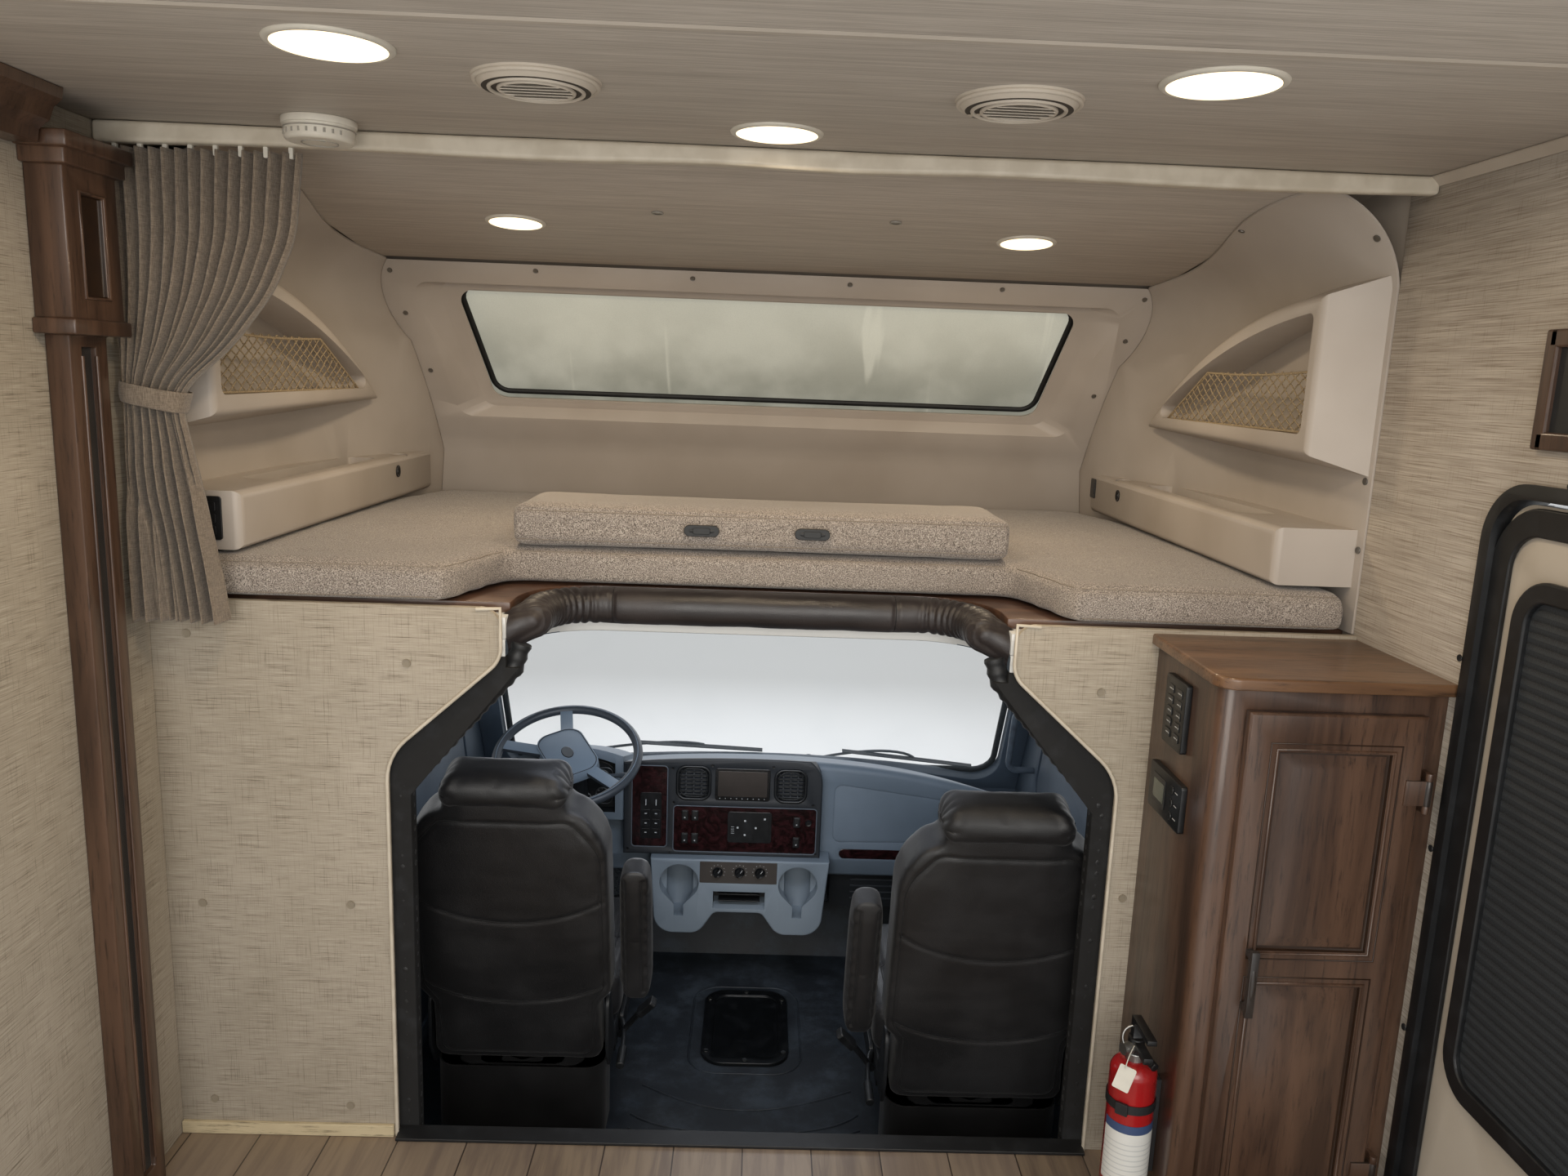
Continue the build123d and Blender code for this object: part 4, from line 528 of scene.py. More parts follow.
@finish
def lamp_lens(strength=1.9):
    f = Finish("lamp_lens", 0.3)
    f.colour(f.mix(f.noise(40.0), "#fff4e0", "#fff0d4"))
    f.put("Emission Color", rgb("#ffe6bb"))
    f.put("Emission Strength", strength)
    return f.material


@finish
def label_paper():
    """Blank label: white with a coloured head and foot."""
    f = Finish("label_paper", 0.45)
    head = f.z > 0.862
    foot = f.z < 0.748
    rule = (abs((f.z * 90.0) % 1.0 - 0.5) < 0.12) * (f.z < 0.84)
    paper = f.mix(f.noise(30.0) * 0.4, "#dcdcd8", "#c9c8c2")
    paper = f.mix(rule * 0.35, paper, "#8f9499")
    f.colour(f.mix(foot, f.mix(head, paper, "#3b4d72"), "#8e2a28"))
    return f.material


@finish
def pleated_shade():
    """Dark pleated screen of the entry door's window; its colour darkens at each pleat's fold, which is
    painted shade.
    """
    f = Finish("pleated_shade", 0.7)
    pleat = abs((f.z / 0.019) % 1.0 - 0.5)
    mesh = f.cells(520.0)
    # Darker at each pleat's fold: painted shade in the folds
    shade = f.mix(f.step(pleat, 0.02, 0.35), "#0c0e10", "#24282c")
    f.colour(f.mix(f.step(mesh, 0.3, 0.6) * 0.5, shade, "#33383d"))
    f.bump(pleat * 2.0 + mesh * 0.1, 0.003, 0.8)
    return f.material


@finish
def plain(tone, roughness=0.5):
    """Small fittings: one tone, with fine grain and slight tone changes."""
    f = Finish("plain", roughness)
    f.colour(f.mix(f.noise(50.0) * 0.3, tone, "#8a8a88"))
    f.bump(f.noise(700.0), 0.0001, 0.3)
    return f.material


# Modelling helpers
def only(obj):
    """Deselect everything else and make obj the active object."""
    bpy.ops.object.select_all(action="DESELECT")
    obj.select_set(True)
    bpy.context.view_layer.objects.active = obj
    return obj


def fresh(add, **settings):
    """A new primitive, made with everything else deselected."""
    bpy.ops.object.select_all(action="DESELECT")
    add(**settings)
    return bpy.context.object


def linked(name, data):
    """A new object in the scene that shows this mesh, curve, light or camera."""
    obj = bpy.data.objects.new(name, data)
    bpy.context.scene.collection.objects.link(obj)
    return obj


def edited(obj, *steps):
    """Run each step on the whole mesh in edit mode."""
    only(obj)
    bpy.ops.object.mode_set(mode="EDIT")
    for step in steps:
        bpy.ops.mesh.select_all(action="SELECT")
        step()
    bpy.ops.object.mode_set(mode="OBJECT")
    return obj


def face_outwards():
    bpy.ops.mesh.normals_make_consistent(inside=False)


def settle(obj):
    """Put the object's place and size into its mesh."""
    only(obj)
    bpy.ops.object.transform_apply(location=True, rotation=True, scale=True)
    return obj


def keep(obj, name, material, body=MAIN_BODY, stands_for=()):
    """Name a finished piece, or several joined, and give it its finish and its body."""
    if isinstance(obj, list):
        obj = join(obj)
    obj.name = name
    obj.data.materials.clear()
    obj.data.materials.append(material)
    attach(obj, body)
    if stands_for:
        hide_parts(*stands_for)
    return obj


def smooth(obj, angle=35):
    only(obj)
    bpy.ops.object.shade_smooth_by_angle(angle=radians(angle))
    return obj


def modify(obj, kind, **settings):
    """Add a modifier with these settings and apply it."""
    only(obj)
    modifier = obj.modifiers.new(kind.title(), kind)
    for name, value in settings.items():
        setattr(modifier, name, value)
    bpy.ops.object.modifier_apply(modifier=modifier.name)
    return obj


def bevel(obj, width, segments=2, angle=35):
    return modify(
        obj, "BEVEL", width=width, segments=segments, limit_method="ANGLE", angle_limit=radians(angle),
        harden_normals=False,
    )


def lone_copy(node):
    """A merged copy of a CAD node's mesh, on its own."""
    obj = linked(node + "_copy", NODES[node].data.copy())
    return edited(
        obj, lambda: bpy.ops.mesh.remove_doubles(threshold=0.00001),
        lambda: bpy.ops.mesh.dissolve_limited(angle_limit=radians(0.6)),
    )


def recast(node, material, width=0.0015, segments=2, angle=35):
    """A copy of a CAD node with eased edges and smooth faces, which stands for it."""
    obj = lone_copy(node)
    if width:
        bevel(obj, width, segments, angle)
    smooth(obj, 40)
    return keep(obj, node + "_finish", material, BODY_OF[node], (node,))


def paint(obj, material, test):
    """Give a second finish to the faces whose centre and normal pass the test."""
    obj.data.materials.append(material)
    index = len(obj.data.materials) - 1
    for face in obj.data.polygons:
        if test(face.center, face.normal):
            face.material_index = index


def cube(x, y, z):
    """A box between two X, two Y and two Z values."""
    obj = fresh(bpy.ops.mesh.primitive_cube_add, size=1, location=[sum(pair) / 2 for pair in (x, y, z)])
    obj.scale = [pair[1] - pair[0] for pair in (x, y, z)]
    return settle(obj)


def rod(start, end, radius, sides=24):
    """A cylinder between two points."""
    start, end = Vector(start), Vector(end)
    obj = fresh(
        bpy.ops.mesh.primitive_cylinder_add, vertices=sides, radius=radius, depth=(end - start).length,
        location=(start + end) / 2,
    )
    return turned(obj, end - start)


def ring(centre, direction, radius, thickness, sides=48):
    """A torus round a centre, facing a direction."""
    obj = fresh(
        bpy.ops.mesh.primitive_torus_add, major_radius=radius, minor_radius=thickness, major_segments=sides,
        minor_segments=12, location=centre,
    )
    return turned(obj, Vector(direction))


def turned(obj, direction):
    """Turn a new primitive's own Z to a direction."""
    obj.rotation_mode = "QUATERNION"
    obj.rotation_quaternion = direction.to_track_quat("Z", "Y")
    return settle(obj)


def open_tube(sides, radius=1, depth=1, place=(0, 0, 0)):
    """An upright tube with no ends."""
    return fresh(
        bpy.ops.mesh.primitive_cylinder_add, vertices=sides, radius=radius, depth=depth, location=place,
        end_fill_type="NOTHING",
    )


def join(objects):
    """Make one mesh of several."""
    bpy.ops.object.select_all(action="DESELECT")
    for obj in objects:
        obj.select_set(True)
    bpy.context.view_layer.objects.active = objects[0]
    if len(objects) > 1:
        bpy.ops.object.join()
    return bpy.context.view_layer.objects.active


def wires(lines, radius, closed=False, smooth_line=False, resolution=3):
    """Round bars that follow lines of points, as one mesh."""
    curve = bpy.data.curves.new("line", "CURVE")
    curve.dimensions = "3D"
    curve.bevel_depth = radius
    curve.bevel_resolution = resolution
    curve.use_fill_caps = True
    for line in lines:
        spline = curve.splines.new("NURBS" if smooth_line else "POLY")
        spline.points.add(len(line) - 1)
        for point, place in zip(spline.points, line):
            point.co = (*place, 1.0)
        spline.use_cyclic_u = closed
        if smooth_line:
            spline.order_u = 4
            spline.use_endpoint_u = True
            spline.resolution_u = 6
    only(linked("line", curve))
    bpy.ops.object.convert(target="MESH")
    return smooth(bpy.context.object, 60)


def wire(points, radius, closed=False, smooth_line=False, resolution=3):
    """A round bar that follows a line of points."""
    return wires([points], radius, closed, smooth_line, resolution)


def bent(points, radius):
    """A round bar bent smoothly past its points."""
    return wires([points], radius, smooth_line=True)


def rounded(points, radii, steps=6):
    """A flat outline's points with its corners rounded by arcs."""
    out = []
    count = len(points)
    for index, (point, radius) in enumerate(zip(points, radii)):
        here = Vector(point)
        if not radius:
            out.append(here)
            continue
        before, after = Vector(points[index - 1]), Vector(points[(index + 1) % count])
        back, ahead = (before - here).normalized(), (after - here).normalized()
        half = back.angle(ahead) / 2
        reach = radius / tan(half)
        first, last = here + back * reach, here + ahead * reach
        middle = here + (back + ahead).normalized() * (radius / sin(half))
        for step in range(steps + 1):
            spoke = (first - middle).lerp(last - middle, step / steps)
            out.append(middle + spoke.normalized() * radius)
    return out


def oblong(x, z, corner, steps=6):
    """The outline of a rectangle with round corners, between two X and two Z values."""
    return rounded([(x[0], z[0]), (x[1], z[0]), (x[1], z[1]), (x[0], z[1])], [corner] * 4, steps)


def slab(outline, pull, edge=0.0):
    """A plate: an outline of points, pulled out along a vector."""
    obj = fresh(bpy.ops.mesh.primitive_circle_add, vertices=len(outline), fill_type="NGON")
    for vertex, place in zip(obj.data.vertices, outline):
        vertex.co = place
    edited(
        obj, lambda: bpy.ops.mesh.extrude_region_move(
            TRANSFORM_OT_translate={"value": pull}
        ), face_outwards,
    )
    return bevel(obj, edge, 2, 50) if edge else obj


def plate(x, z, front, depth, corner=0.004, edge=0.0006):
    """A plate with round corners that faces the rear, given by its X, its Z and the Y of its front."""
    return slab([(u, front, w) for u, w in oblong(x, z, corner, 5)], (0, depth, 0), edge)


def pad(middle, half_x, half_z, front, depth, corner=0.004, edge=0.0006):
    """A plate of this half width and half height round a middle."""
    u, w = middle
    return plate((u - half_x, u + half_x), (w - half_z, w + half_z), front, depth, corner, edge)


def stand(origin, right=(1, 0, 0), up=(0, 0, 1)):
    """The place of a face that is modelled facing the rear: its origin, its right and its up."""
    right, up = Vector(right).normalized(), Vector(up).normalized()
    turn = Matrix((right, up.cross(right), up)).transposed().to_4x4()
    return Matrix.Translation(origin) @ turn


def facing(origin, normal, up=(0, 0, 1)):
    """The place of a face that looks along a normal."""
    normal, up = Vector(normal).normalized(), Vector(up)
    right = (-normal).cross(up).normalized()
    return stand(origin, right, right.cross(-normal))


def move(obj, matrix):
    """Carry a piece from the origin to its place."""
    obj.matrix_world = matrix
    return settle(obj)


def stamp(model, matrices):
    """Copies of a small model, one at each place, as one mesh; the model itself goes."""
    made = []
    for matrix in matrices:
        made.append(move(linked("copy", model.data.copy()), matrix))
    bpy.data.objects.remove(model)
    return join(made)


def slice_up(obj, axis, places):
    """Cut edge loops into a mesh across one axis."""
    normal = Vector([index == axis for index in range(3)])
    return edited(
        obj, *[
            lambda at=place: bpy.ops.mesh.bisect(plane_co=normal * at, plane_no=normal) for place in places
        ],
    )


def sink(obj, amount):
    """Press each point in along its normal, by the amount worked out from its place."""
    normals = [vertex.normal.copy() for vertex in obj.data.vertices]
    for vertex, normal in zip(obj.data.vertices, normals):
        vertex.co -= normal * amount(vertex.co)
    obj.data.update()


def surface(obj):
    mesh = obj.data
    return BVHTree.FromPolygons([v.co for v in mesh.vertices], [p.vertices for p in mesh.polygons])


def stuff(obj, voxel, shrink, cap, pressure=4.0, ease=2):
    """Turn a block into a stuffed pad: remeshed, drawn in, blown up as cloth and smoothed."""
    modify(obj, "REMESH", mode="VOXEL", voxel_size=voxel)
    modify(obj, "DISPLACE", strength=-shrink, mid_level=0.0)
    puff(obj, cap, pressure)
    modify(obj, "SMOOTH", factor=0.5, iterations=ease)
    modify(obj, "SUBSURF", levels=1, render_levels=1)
    return shade_round(obj)


def shade_round(obj):
    only(obj)
    bpy.ops.object.shade_smooth()
    return obj


PUFF_FRAMES = 20


def puff(obj, cap, pressure):
    """Blow a mesh up as cloth; no point ends farther than the cap from where it was."""
    start = [vertex.co.copy() for vertex in obj.data.vertices]
    only(obj)
    cloth = obj.modifiers.new("Cloth", "CLOTH")
    cloth.settings.use_pressure = True
    cloth.settings.uniform_pressure_force = pressure
    cloth.settings.effector_weights.gravity = 0
    for number in range(1, PUFF_FRAMES + 1):
        bpy.context.scene.frame_set(number)
    blown = obj.evaluated_get(bpy.context.evaluated_depsgraph_get())
    ends = [vertex.co.copy() for vertex in blown.data.vertices]
    obj.modifiers.remove(cloth)
    bpy.context.scene.frame_set(1)
    for vertex, before, after in zip(obj.data.vertices, start, ends):
        travel = after - before
        vertex.co = before + travel * min(1.0, cap / max(travel.length, 1e-9))


def spread(line, gap, closed=False):
    """Points along a line, no farther apart than the gap."""
    line = [Vector(point) for point in line]
    if closed:
        line.append(line[0])
    out = [line[0]]
    for first, second in zip(line, line[1:]):
        count = max(1, round((second - first).length / gap))
        out += [first.lerp(second, step / count) for step in range(1, count + 1)]
    return out


def sew(obj, line, toward, depth=0.005, reach=0.013, thread=0.0011, gap=0.005, closed=False):
    """Press a seam into a pad: the line is cast onto it; returns the thread at the seam's bottom."""
    toward = Vector(toward).normalized()
    skin = surface(obj)
    hits = []
    for point in spread(line, gap, closed):
        spot, normal = skin.ray_cast(point - toward * 0.3, toward)[:2]
        if spot is not None:
            hits.append((spot, normal))
    near = KDTree(len(hits))
    for index, (spot, normal) in enumerate(hits):
        near.insert(spot, index)
    near.balance()
    for vertex in obj.data.vertices:
        _, index, far = near.find(vertex.co)
        if far < reach:
            vertex.co -= hits[index][1] * depth * (1 - (far / reach) ** 2) ** 2
    obj.data.update()
    return wire([spot - normal * (depth - thread * 0.4) for spot, normal in hits], thread, resolution=1)


def twin(obj, name, shift, mirror_x=None):
    """A copy of a finished pad with its own mesh, moved or mirrored about an X."""
    other = linked(name, obj.data.copy())
    for vertex in other.data.vertices:
        x, y, z = vertex.co
        if mirror_x is not None:
            x = 2 * mirror_x - x
        vertex.co = (x + shift[0], y + shift[1], z + shift[2])
    if mirror_x is not None:
        other.data.flip_normals()
    return other


def pick(obj, test):
    """Go into edit mode with those faces selected whose centre and normal pass the test."""
    only(obj)
    bpy.ops.object.mode_set(mode="EDIT")
    bpy.ops.mesh.select_mode(type="FACE")
    bpy.ops.mesh.select_all(action="DESELECT")
    bpy.ops.object.mode_set(mode="OBJECT")
    for face in obj.data.polygons:
        face.select = test(face.center, face.normal)
    bpy.ops.object.mode_set(mode="EDIT")


def bolt(radius, depth, sides=20):
    """A round fastener head that faces the rear, with a sunk middle."""
    outline = [
        (radius * cos(2 * pi * i / sides), 0, radius * sin(2 * pi * i / sides)) for i in range(sides)
    ]
    obj = slab(outline, (0, -depth, 0), depth * 0.4)
    pick(obj, lambda c, n: n.y < -0.9 and c.y < -depth * 0.9)
    bpy.ops.mesh.inset(thickness=radius * 0.3)
    bpy.ops.transform.translate(value=(0, depth * 0.5, 0))
    bpy.ops.object.mode_set(mode="OBJECT")
    return smooth(obj, 50)


def trim_inside(obj, material, eye=(0.0, 0.9, 1.0)):
    """Give the faces that look into the cab their own finish."""
    eye = Vector(eye)
    paint(obj, material, lambda c, n: n.dot(eye - c) > 0.01)


# Chassis, floor and outside skins
def build_shell():
    recast("chassis_rails", painted_metal("#1a1b1d", 0.45), 0.002)
    recast("floor_beams", painted_metal("#202224", 0.5), 0.002)
    recast("coach_floor", plank_floor(), 0.001)
    recast("entry_step", black_plastic("#1a1b1d", 0.55), 0.003)
    recast("left_side_wall", linen_paper(), 0.002)
    recast("right_side_wall", streaked_paper(), 0.002)
    recast("roof_panel", streaked_ceiling(), 0.002)
    nose = recast("nose_cap", gelcoat(), 0.003)
    paint(
        nose, moulded_plastic("#a99d90", "#978b7e"),
        lambda c, n: n.dot(Vector((0, 0.6, 2.2)) - c) > 0 and c.z > 1.8,
    )
    recast("bunk_ceiling", streaked_ceiling(), 0.001)
    recast("bunk_board", varnished_wood("#4d3529", "x", "#654837"), 0.0015)
    trim = dash_plastic("#4a545e", "#56616c")
    trim_inside(recast("cab_shell", gelcoat("#dfdfdc"), 0.003), trim)
    for side in SIDES:
        panel = recast(f"{side}_cab_side", gelcoat("#dfdfdc"), 0.003)
        trim_inside(panel, trim)
        # Near-black on the cab sides' rear flange at the doorway: painted shade along the doorway's edge,
        # standing in part for the black boot
        paint(panel, black_plastic("#070708", 0.8), lambda c, n: c.y < 0.058 and abs(c.x) < 0.962)
    recast("windshield", glass("#e4eeee", 0.06), 0.001)
    recast("nose_window", shade_glass(), 0.001)
    gasket = rounded([(-0.872, -0.458), (-0.872, 0.420), (0.872, 0.420), (0.872, -0.458)], [0.09] * 4)
    slope = Vector((0, SCREEN_HEAD_Y - SCREEN_FOOT_Y, SCREEN_HEAD_Z - SCREEN_FOOT_Z)).normalized()
    on_glass = stand((0, 1.5155, 1.2905), up=slope)
    foot_rise = 0.072  # of the foot's middle over its ends
    line = [
        on_glass @ Vector((u, 0, w + (0 if w > 0 else foot_rise * (1 - (u / 0.885) ** 2))))
        for u, w in gasket
    ]
    keep(wire(spread(line, 0.05, True)[:-1], 0.011, True), "windshield_seal", black_plastic("#0d0e0f", 0.7))
    build_wipers(slope)


# Y and Z of the windshield's foot and head, on its outer face
SCREEN_FOOT_Y, SCREEN_FOOT_Z = 1.74, 0.84
SCREEN_HEAD_Y, SCREEN_HEAD_Z = 1.29, 1.74


def build_wipers(slope):
    """Two wipers parked along the windshield's foot, outside the glass."""
    outward = Vector((0, slope.z, -slope.y))
    made = []

    def out(x, z, off):
        """A point at this X and Z, this far off the glass."""
        reach = (z - SCREEN_FOOT_Z) / slope.z
        return Vector((x, SCREEN_FOOT_Y, SCREEN_FOOT_Z)) + slope * reach + outward * off

    for pivot, bend, blade in (
        ((-0.72, 0.885), (-0.34, 0.985), ((-0.44, 0.965), (0.03, 0.945))),
        ((0.20, 0.905), (0.50, 0.985), ((0.32, 0.952), (0.80, 0.900))),
    ):
        low, high = blade
        head = [low[i] * 0.45 + high[i] * 0.55 for i in (0, 1)]
        arm = [out(*pivot, 0.004), out(*pivot, 0.022), out(*bend, 0.026), out(*head, 0.02)]
        made.append(bent(arm, 0.005))
        made.append(bent([out(*low, 0.016), out(*head, 0.019), out(*high, 0.016)], 0.0035))
        edges = [out(*low, 0.001), out(*high, 0.001), out(*high, 0.013), out(*low, 0.013)]
        made.append(slab(edges, slope * 0.004, 0.0008))
        made.append(rod(out(*pivot, 0.0), out(*pivot, 0.026), 0.016))
    keep(made, "wipers", black_plastic("#2a2d30", 0.5))


def build_liners():
    plastic = moulded_plastic()
    surround = recast("window_surround", plastic, 0.006, 3)
    liners = {side: recast(f"{side}_bunk_liner", plastic, 0.005, 3, 50) for side in SIDES}
    slope = Vector((0, -0.565, 0.825))
    spot = surface(NODES["nose_window"]).ray_cast(Vector((0, 1.0, 2.368)), Vector((0, 1, 0)))[0]
    on_glass = stand(spot, up=slope)
    edge = rounded([(-0.846, -0.190), (-0.911, 0.185), (0.911, 0.185), (0.846, -0.190)], [0.05] * 4)
    gasket = wire([on_glass @ Vector((u, 0.001, w)) for u, w in edge], 0.0095, True)
    keep(gasket, "window_gasket", black_plastic("#0e0f10", 0.6))
    rail = plate((-0.905, 0.905), (-0.012, 0.010), 0.0, 0.006, 0.003)
    move(rail, stand(spot + slope * 0.176 + Vector((0, -0.009, -0.004)), up=slope))
    keep(rail, "shade_rail", moulded_plastic("#b9aea2", "#a89d91"))

    heads = [
        (-0.660, 1.066, 2.552), (-0.219, 1.068, 2.548), (0.226, 1.068, 2.548), (0.659, 1.066, 2.551),
        (-1.070, 1.075, 2.540), (1.070, 1.075, 2.540), (-1.052, 1.151, 2.427), (1.050, 1.153, 2.425),
        (-1.015, 1.262, 2.266), (1.003, 1.264, 2.262),
    ]
    through = Vector((0, 0.825, 0.565))
    places = []
    for obj, spots in (
        (surround, [(Vector(head), through) for head in heads]),
        (liners["right"], liner_screws(1)),
        (liners["left"], liner_screws(-1)),
    ):
        skin = surface(obj)
        for point, toward in spots:
            hit, normal = skin.ray_cast(point - toward * 0.15, toward)[:2]
            if hit is not None:
                up = (0, 0, 1) if abs(normal.z) < 0.9 else (0, 1, 0)
                places.append(facing(hit + normal * 0.0002, normal, up))
    keep(stamp(bolt(0.0075, 0.0028), places), "liner_screws", bright_metal("#8f8a83", 0.4))
    build_tray_fittings()
    build_nets()


def liner_screws(side):
    """Points just off the liner's rear edge and roof joint, each with the way to the liner."""
    out = Vector((side, 0, 0))
    return [
        (Vector((side * 1.15, 0.035, 2.56)), Vector((side * 0.6, 0, 0.8))),
        (Vector((side * 1.10, 0.035, 2.12)), out),
        (Vector((side * 1.10, 0.030, 1.98)), out),
        (Vector((side * 1.035, 0.352, 2.55)), Vector((0, 0, 1))),
        (Vector((side * 1.05, 0.700, 2.52)), Vector((0, 0, 1))),
    ]


def build_tray_fittings():
    """Outlets on the trays' inner sides and the switch plate on the left tray's end."""
    black = black_plastic("#17181a", 0.35)

    def outlet(side, y, z, *parts):
        return move(join(list(parts)), facing((1.045 * side, y, z), (-side, 0, 0)))

    square = pad((0, 0), 0.024, 0.030, -0.003, 0.0035, 0.006)
    hole = pad((0, 0), 0.015, 0.018, -0.0042, 0.002, 0.003)
    outlets = [outlet(1, 1.324, 1.975, square, hole)]
    for side, y, z in ((1, 1.074, 1.977), (-1, 1.020, 1.980)):
        outlets.append(outlet(side, y, z, bolt(0.017, 0.004, 32), bolt(0.0085, 0.0048, 24)))
    keep(outlets, "tray_outlets", black)
    switch_x, switch_z, pitch = -1.109, 1.965, 0.024
    made, marks = [pad((0, 0), 0.026, 0.044, -0.004, 0.005, 0.006)], []
    for w in (-pitch, 0.0, pitch):
        made.append(pad((0, w), 0.015, 0.0085, -0.0065, 0.003, 0.002))
        marks.append(move(bolt(0.0028, 0.0004, 12), stand((switch_x, 0.0329, switch_z + w))))
    keep(move(join(made), stand((switch_x, 0.0395, switch_z))), "tray_switches", black)
    keep(marks, "tray_marks", plain("#d8dadb"))
    lid = pad((0, 0), 0.030, 0.022, -0.0015, 0.002, 0.004)
    keep(move(lid, facing((1.112, 1.255, 2.0212), (0, 0, 1), (0, 1, 0))), "tray_lid", black)


def build_nets():
    """Elastic diamond netting across each pocket, with a thicker cord along its edge."""
    foot, top = 2.211, 2.334
    rear, tip, top_front = 0.093, 0.895, 0.640
    pitch_y, pitch_z = 0.041, 0.0246
    past, steps = 0.4, 60

    def inside(y, z):
        if not (foot <= z <= top and y >= rear):
            return False
        return y <= tip - (z - foot) / (top - foot) * (tip - top_front)

    strands, edges = [], []
    for side in SIDES.values():
        x = side * 1.1052
        for way in (-1, 1):
            start = rear - past
            while start < tip + past:
                line = []
                for step in range(steps + 1):
                    z = foot + (top - foot) * step / steps
                    y = start + way * (z - foot) * pitch_y / pitch_z
                    if inside(y, z):
                        sag = 0.0009 * way * cos(pi * (z - foot) / pitch_z)
                        line.append((x + sag, y + 0.0012 * sin(70 * z), z))
                if len(line) > 1:
                    strands.append(line)
                start += pitch_y
        rim = [(rear, foot), (tip, foot), (top_front, top), (rear, top)]
        loop = spread([Vector((x, y, z)) for y, z in rim], 0.02, True)[:-1]
        for point in loop:
            if abs(point.z - top) < 0.001 and rear < point.y < top_front:
                point.z -= 0.006 * sin(pi * (point.y - rear) / (top_front - rear))
        edges.append(loop)
    cords = wires(strands, 0.0017, resolution=1)
    hem = wires(edges, 0.0028, closed=True, resolution=2)
    keep([cords, hem], "pocket_netting", net_cord(), stands_for=("pocket_nets",))


def build_bulkheads():
    for side, sign in SIDES.items():
        panel = recast(f"{side}_bulkhead", linen_paper(), 0.001)
        paint(panel, edge_band(), lambda c, n: abs(n.y) < 0.5 and abs(c.x) < 0.775 and n.x * sign < 0.3)
        edge = rounded([(0.757, 0.62), (0.757, 1.49), (0.522, 1.70), (0.522, 1.807)], [0, 0.12, 0.06, 0])
        edge.append(Vector((0.57, 1.8045)))
        line = [(sign * u, -0.0005, w) for u, w in edge]
        keep(wire(line, 0.0042, resolution=2), f"{side}_edge_moulding", edge_band())
        pipe = [(0.736, 0.040, 0.40), (0.736, 0.040, 1.41), (0.505, 0.046, 1.675), (0.49, 0.05, 1.725)]
        boot = gathered_roll([(sign * x, y, z) for x, y, z in pipe], 0.021, 0.026)
        keep(boot, f"{side}_boot_roll", leather("#111214", "#1b1d1f", 0.5))
    caps = [
        (-1.148, 1.736), (-0.711, 1.688), (-1.148, 1.156), (-0.840, 1.160), (0.704, 1.672), (0.79, 1.221),
        (-1.148, 0.70), (-0.856, 0.690),
    ]
    places = [stand((x, 0, z)) for x, z in caps]
    keep(stamp(bolt(0.009, 0.003), places), "bulkhead_caps", plain("#8b7f6b", 0.5))
    strip = plate((-1.218, -0.762), (0.6205, 0.648), -0.009, 0.0088, 0.002, 0.001)
    keep(strip, "baseboard", varnished_wood("#b9a98a", "x", "#cdbf9f"))
    section = [(-0.022, 0.6205), (-0.022, 0.627), (0.02, 0.632), (0.0165, 0.6205)]
    bar = slab([(-0.755, y, z) for y, z in section], (1.51, 0, 0), 0.001)
    keep(bar, "threshold_bar", black_plastic("#131416", 0.45))


def gathered_roll(points, radius, wave):
    """A stuffed tube whose cover is gathered into rings along it."""
    gap = 0.006
    centre = spread(points, gap)
    obj = wire(centre, radius, resolution=4)
    near = KDTree(len(centre))
    for index, point in enumerate(centre):
        near.insert(point, index)
    near.balance()
    for vertex in obj.data.vertices:
        point, index, _ = near.find(vertex.co)
        along = index * gap
        ripple = 0.5 + 0.5 * sin(2 * pi * along / wave + 1.5 * noise.noise((along * 9, 0, 0)))
        around = noise.noise(vertex.co * 22)
        vertex.co = point + (vertex.co - point) * (0.9 + 0.16 * ripple + 0.1 * around)
    return smooth(obj, 80)


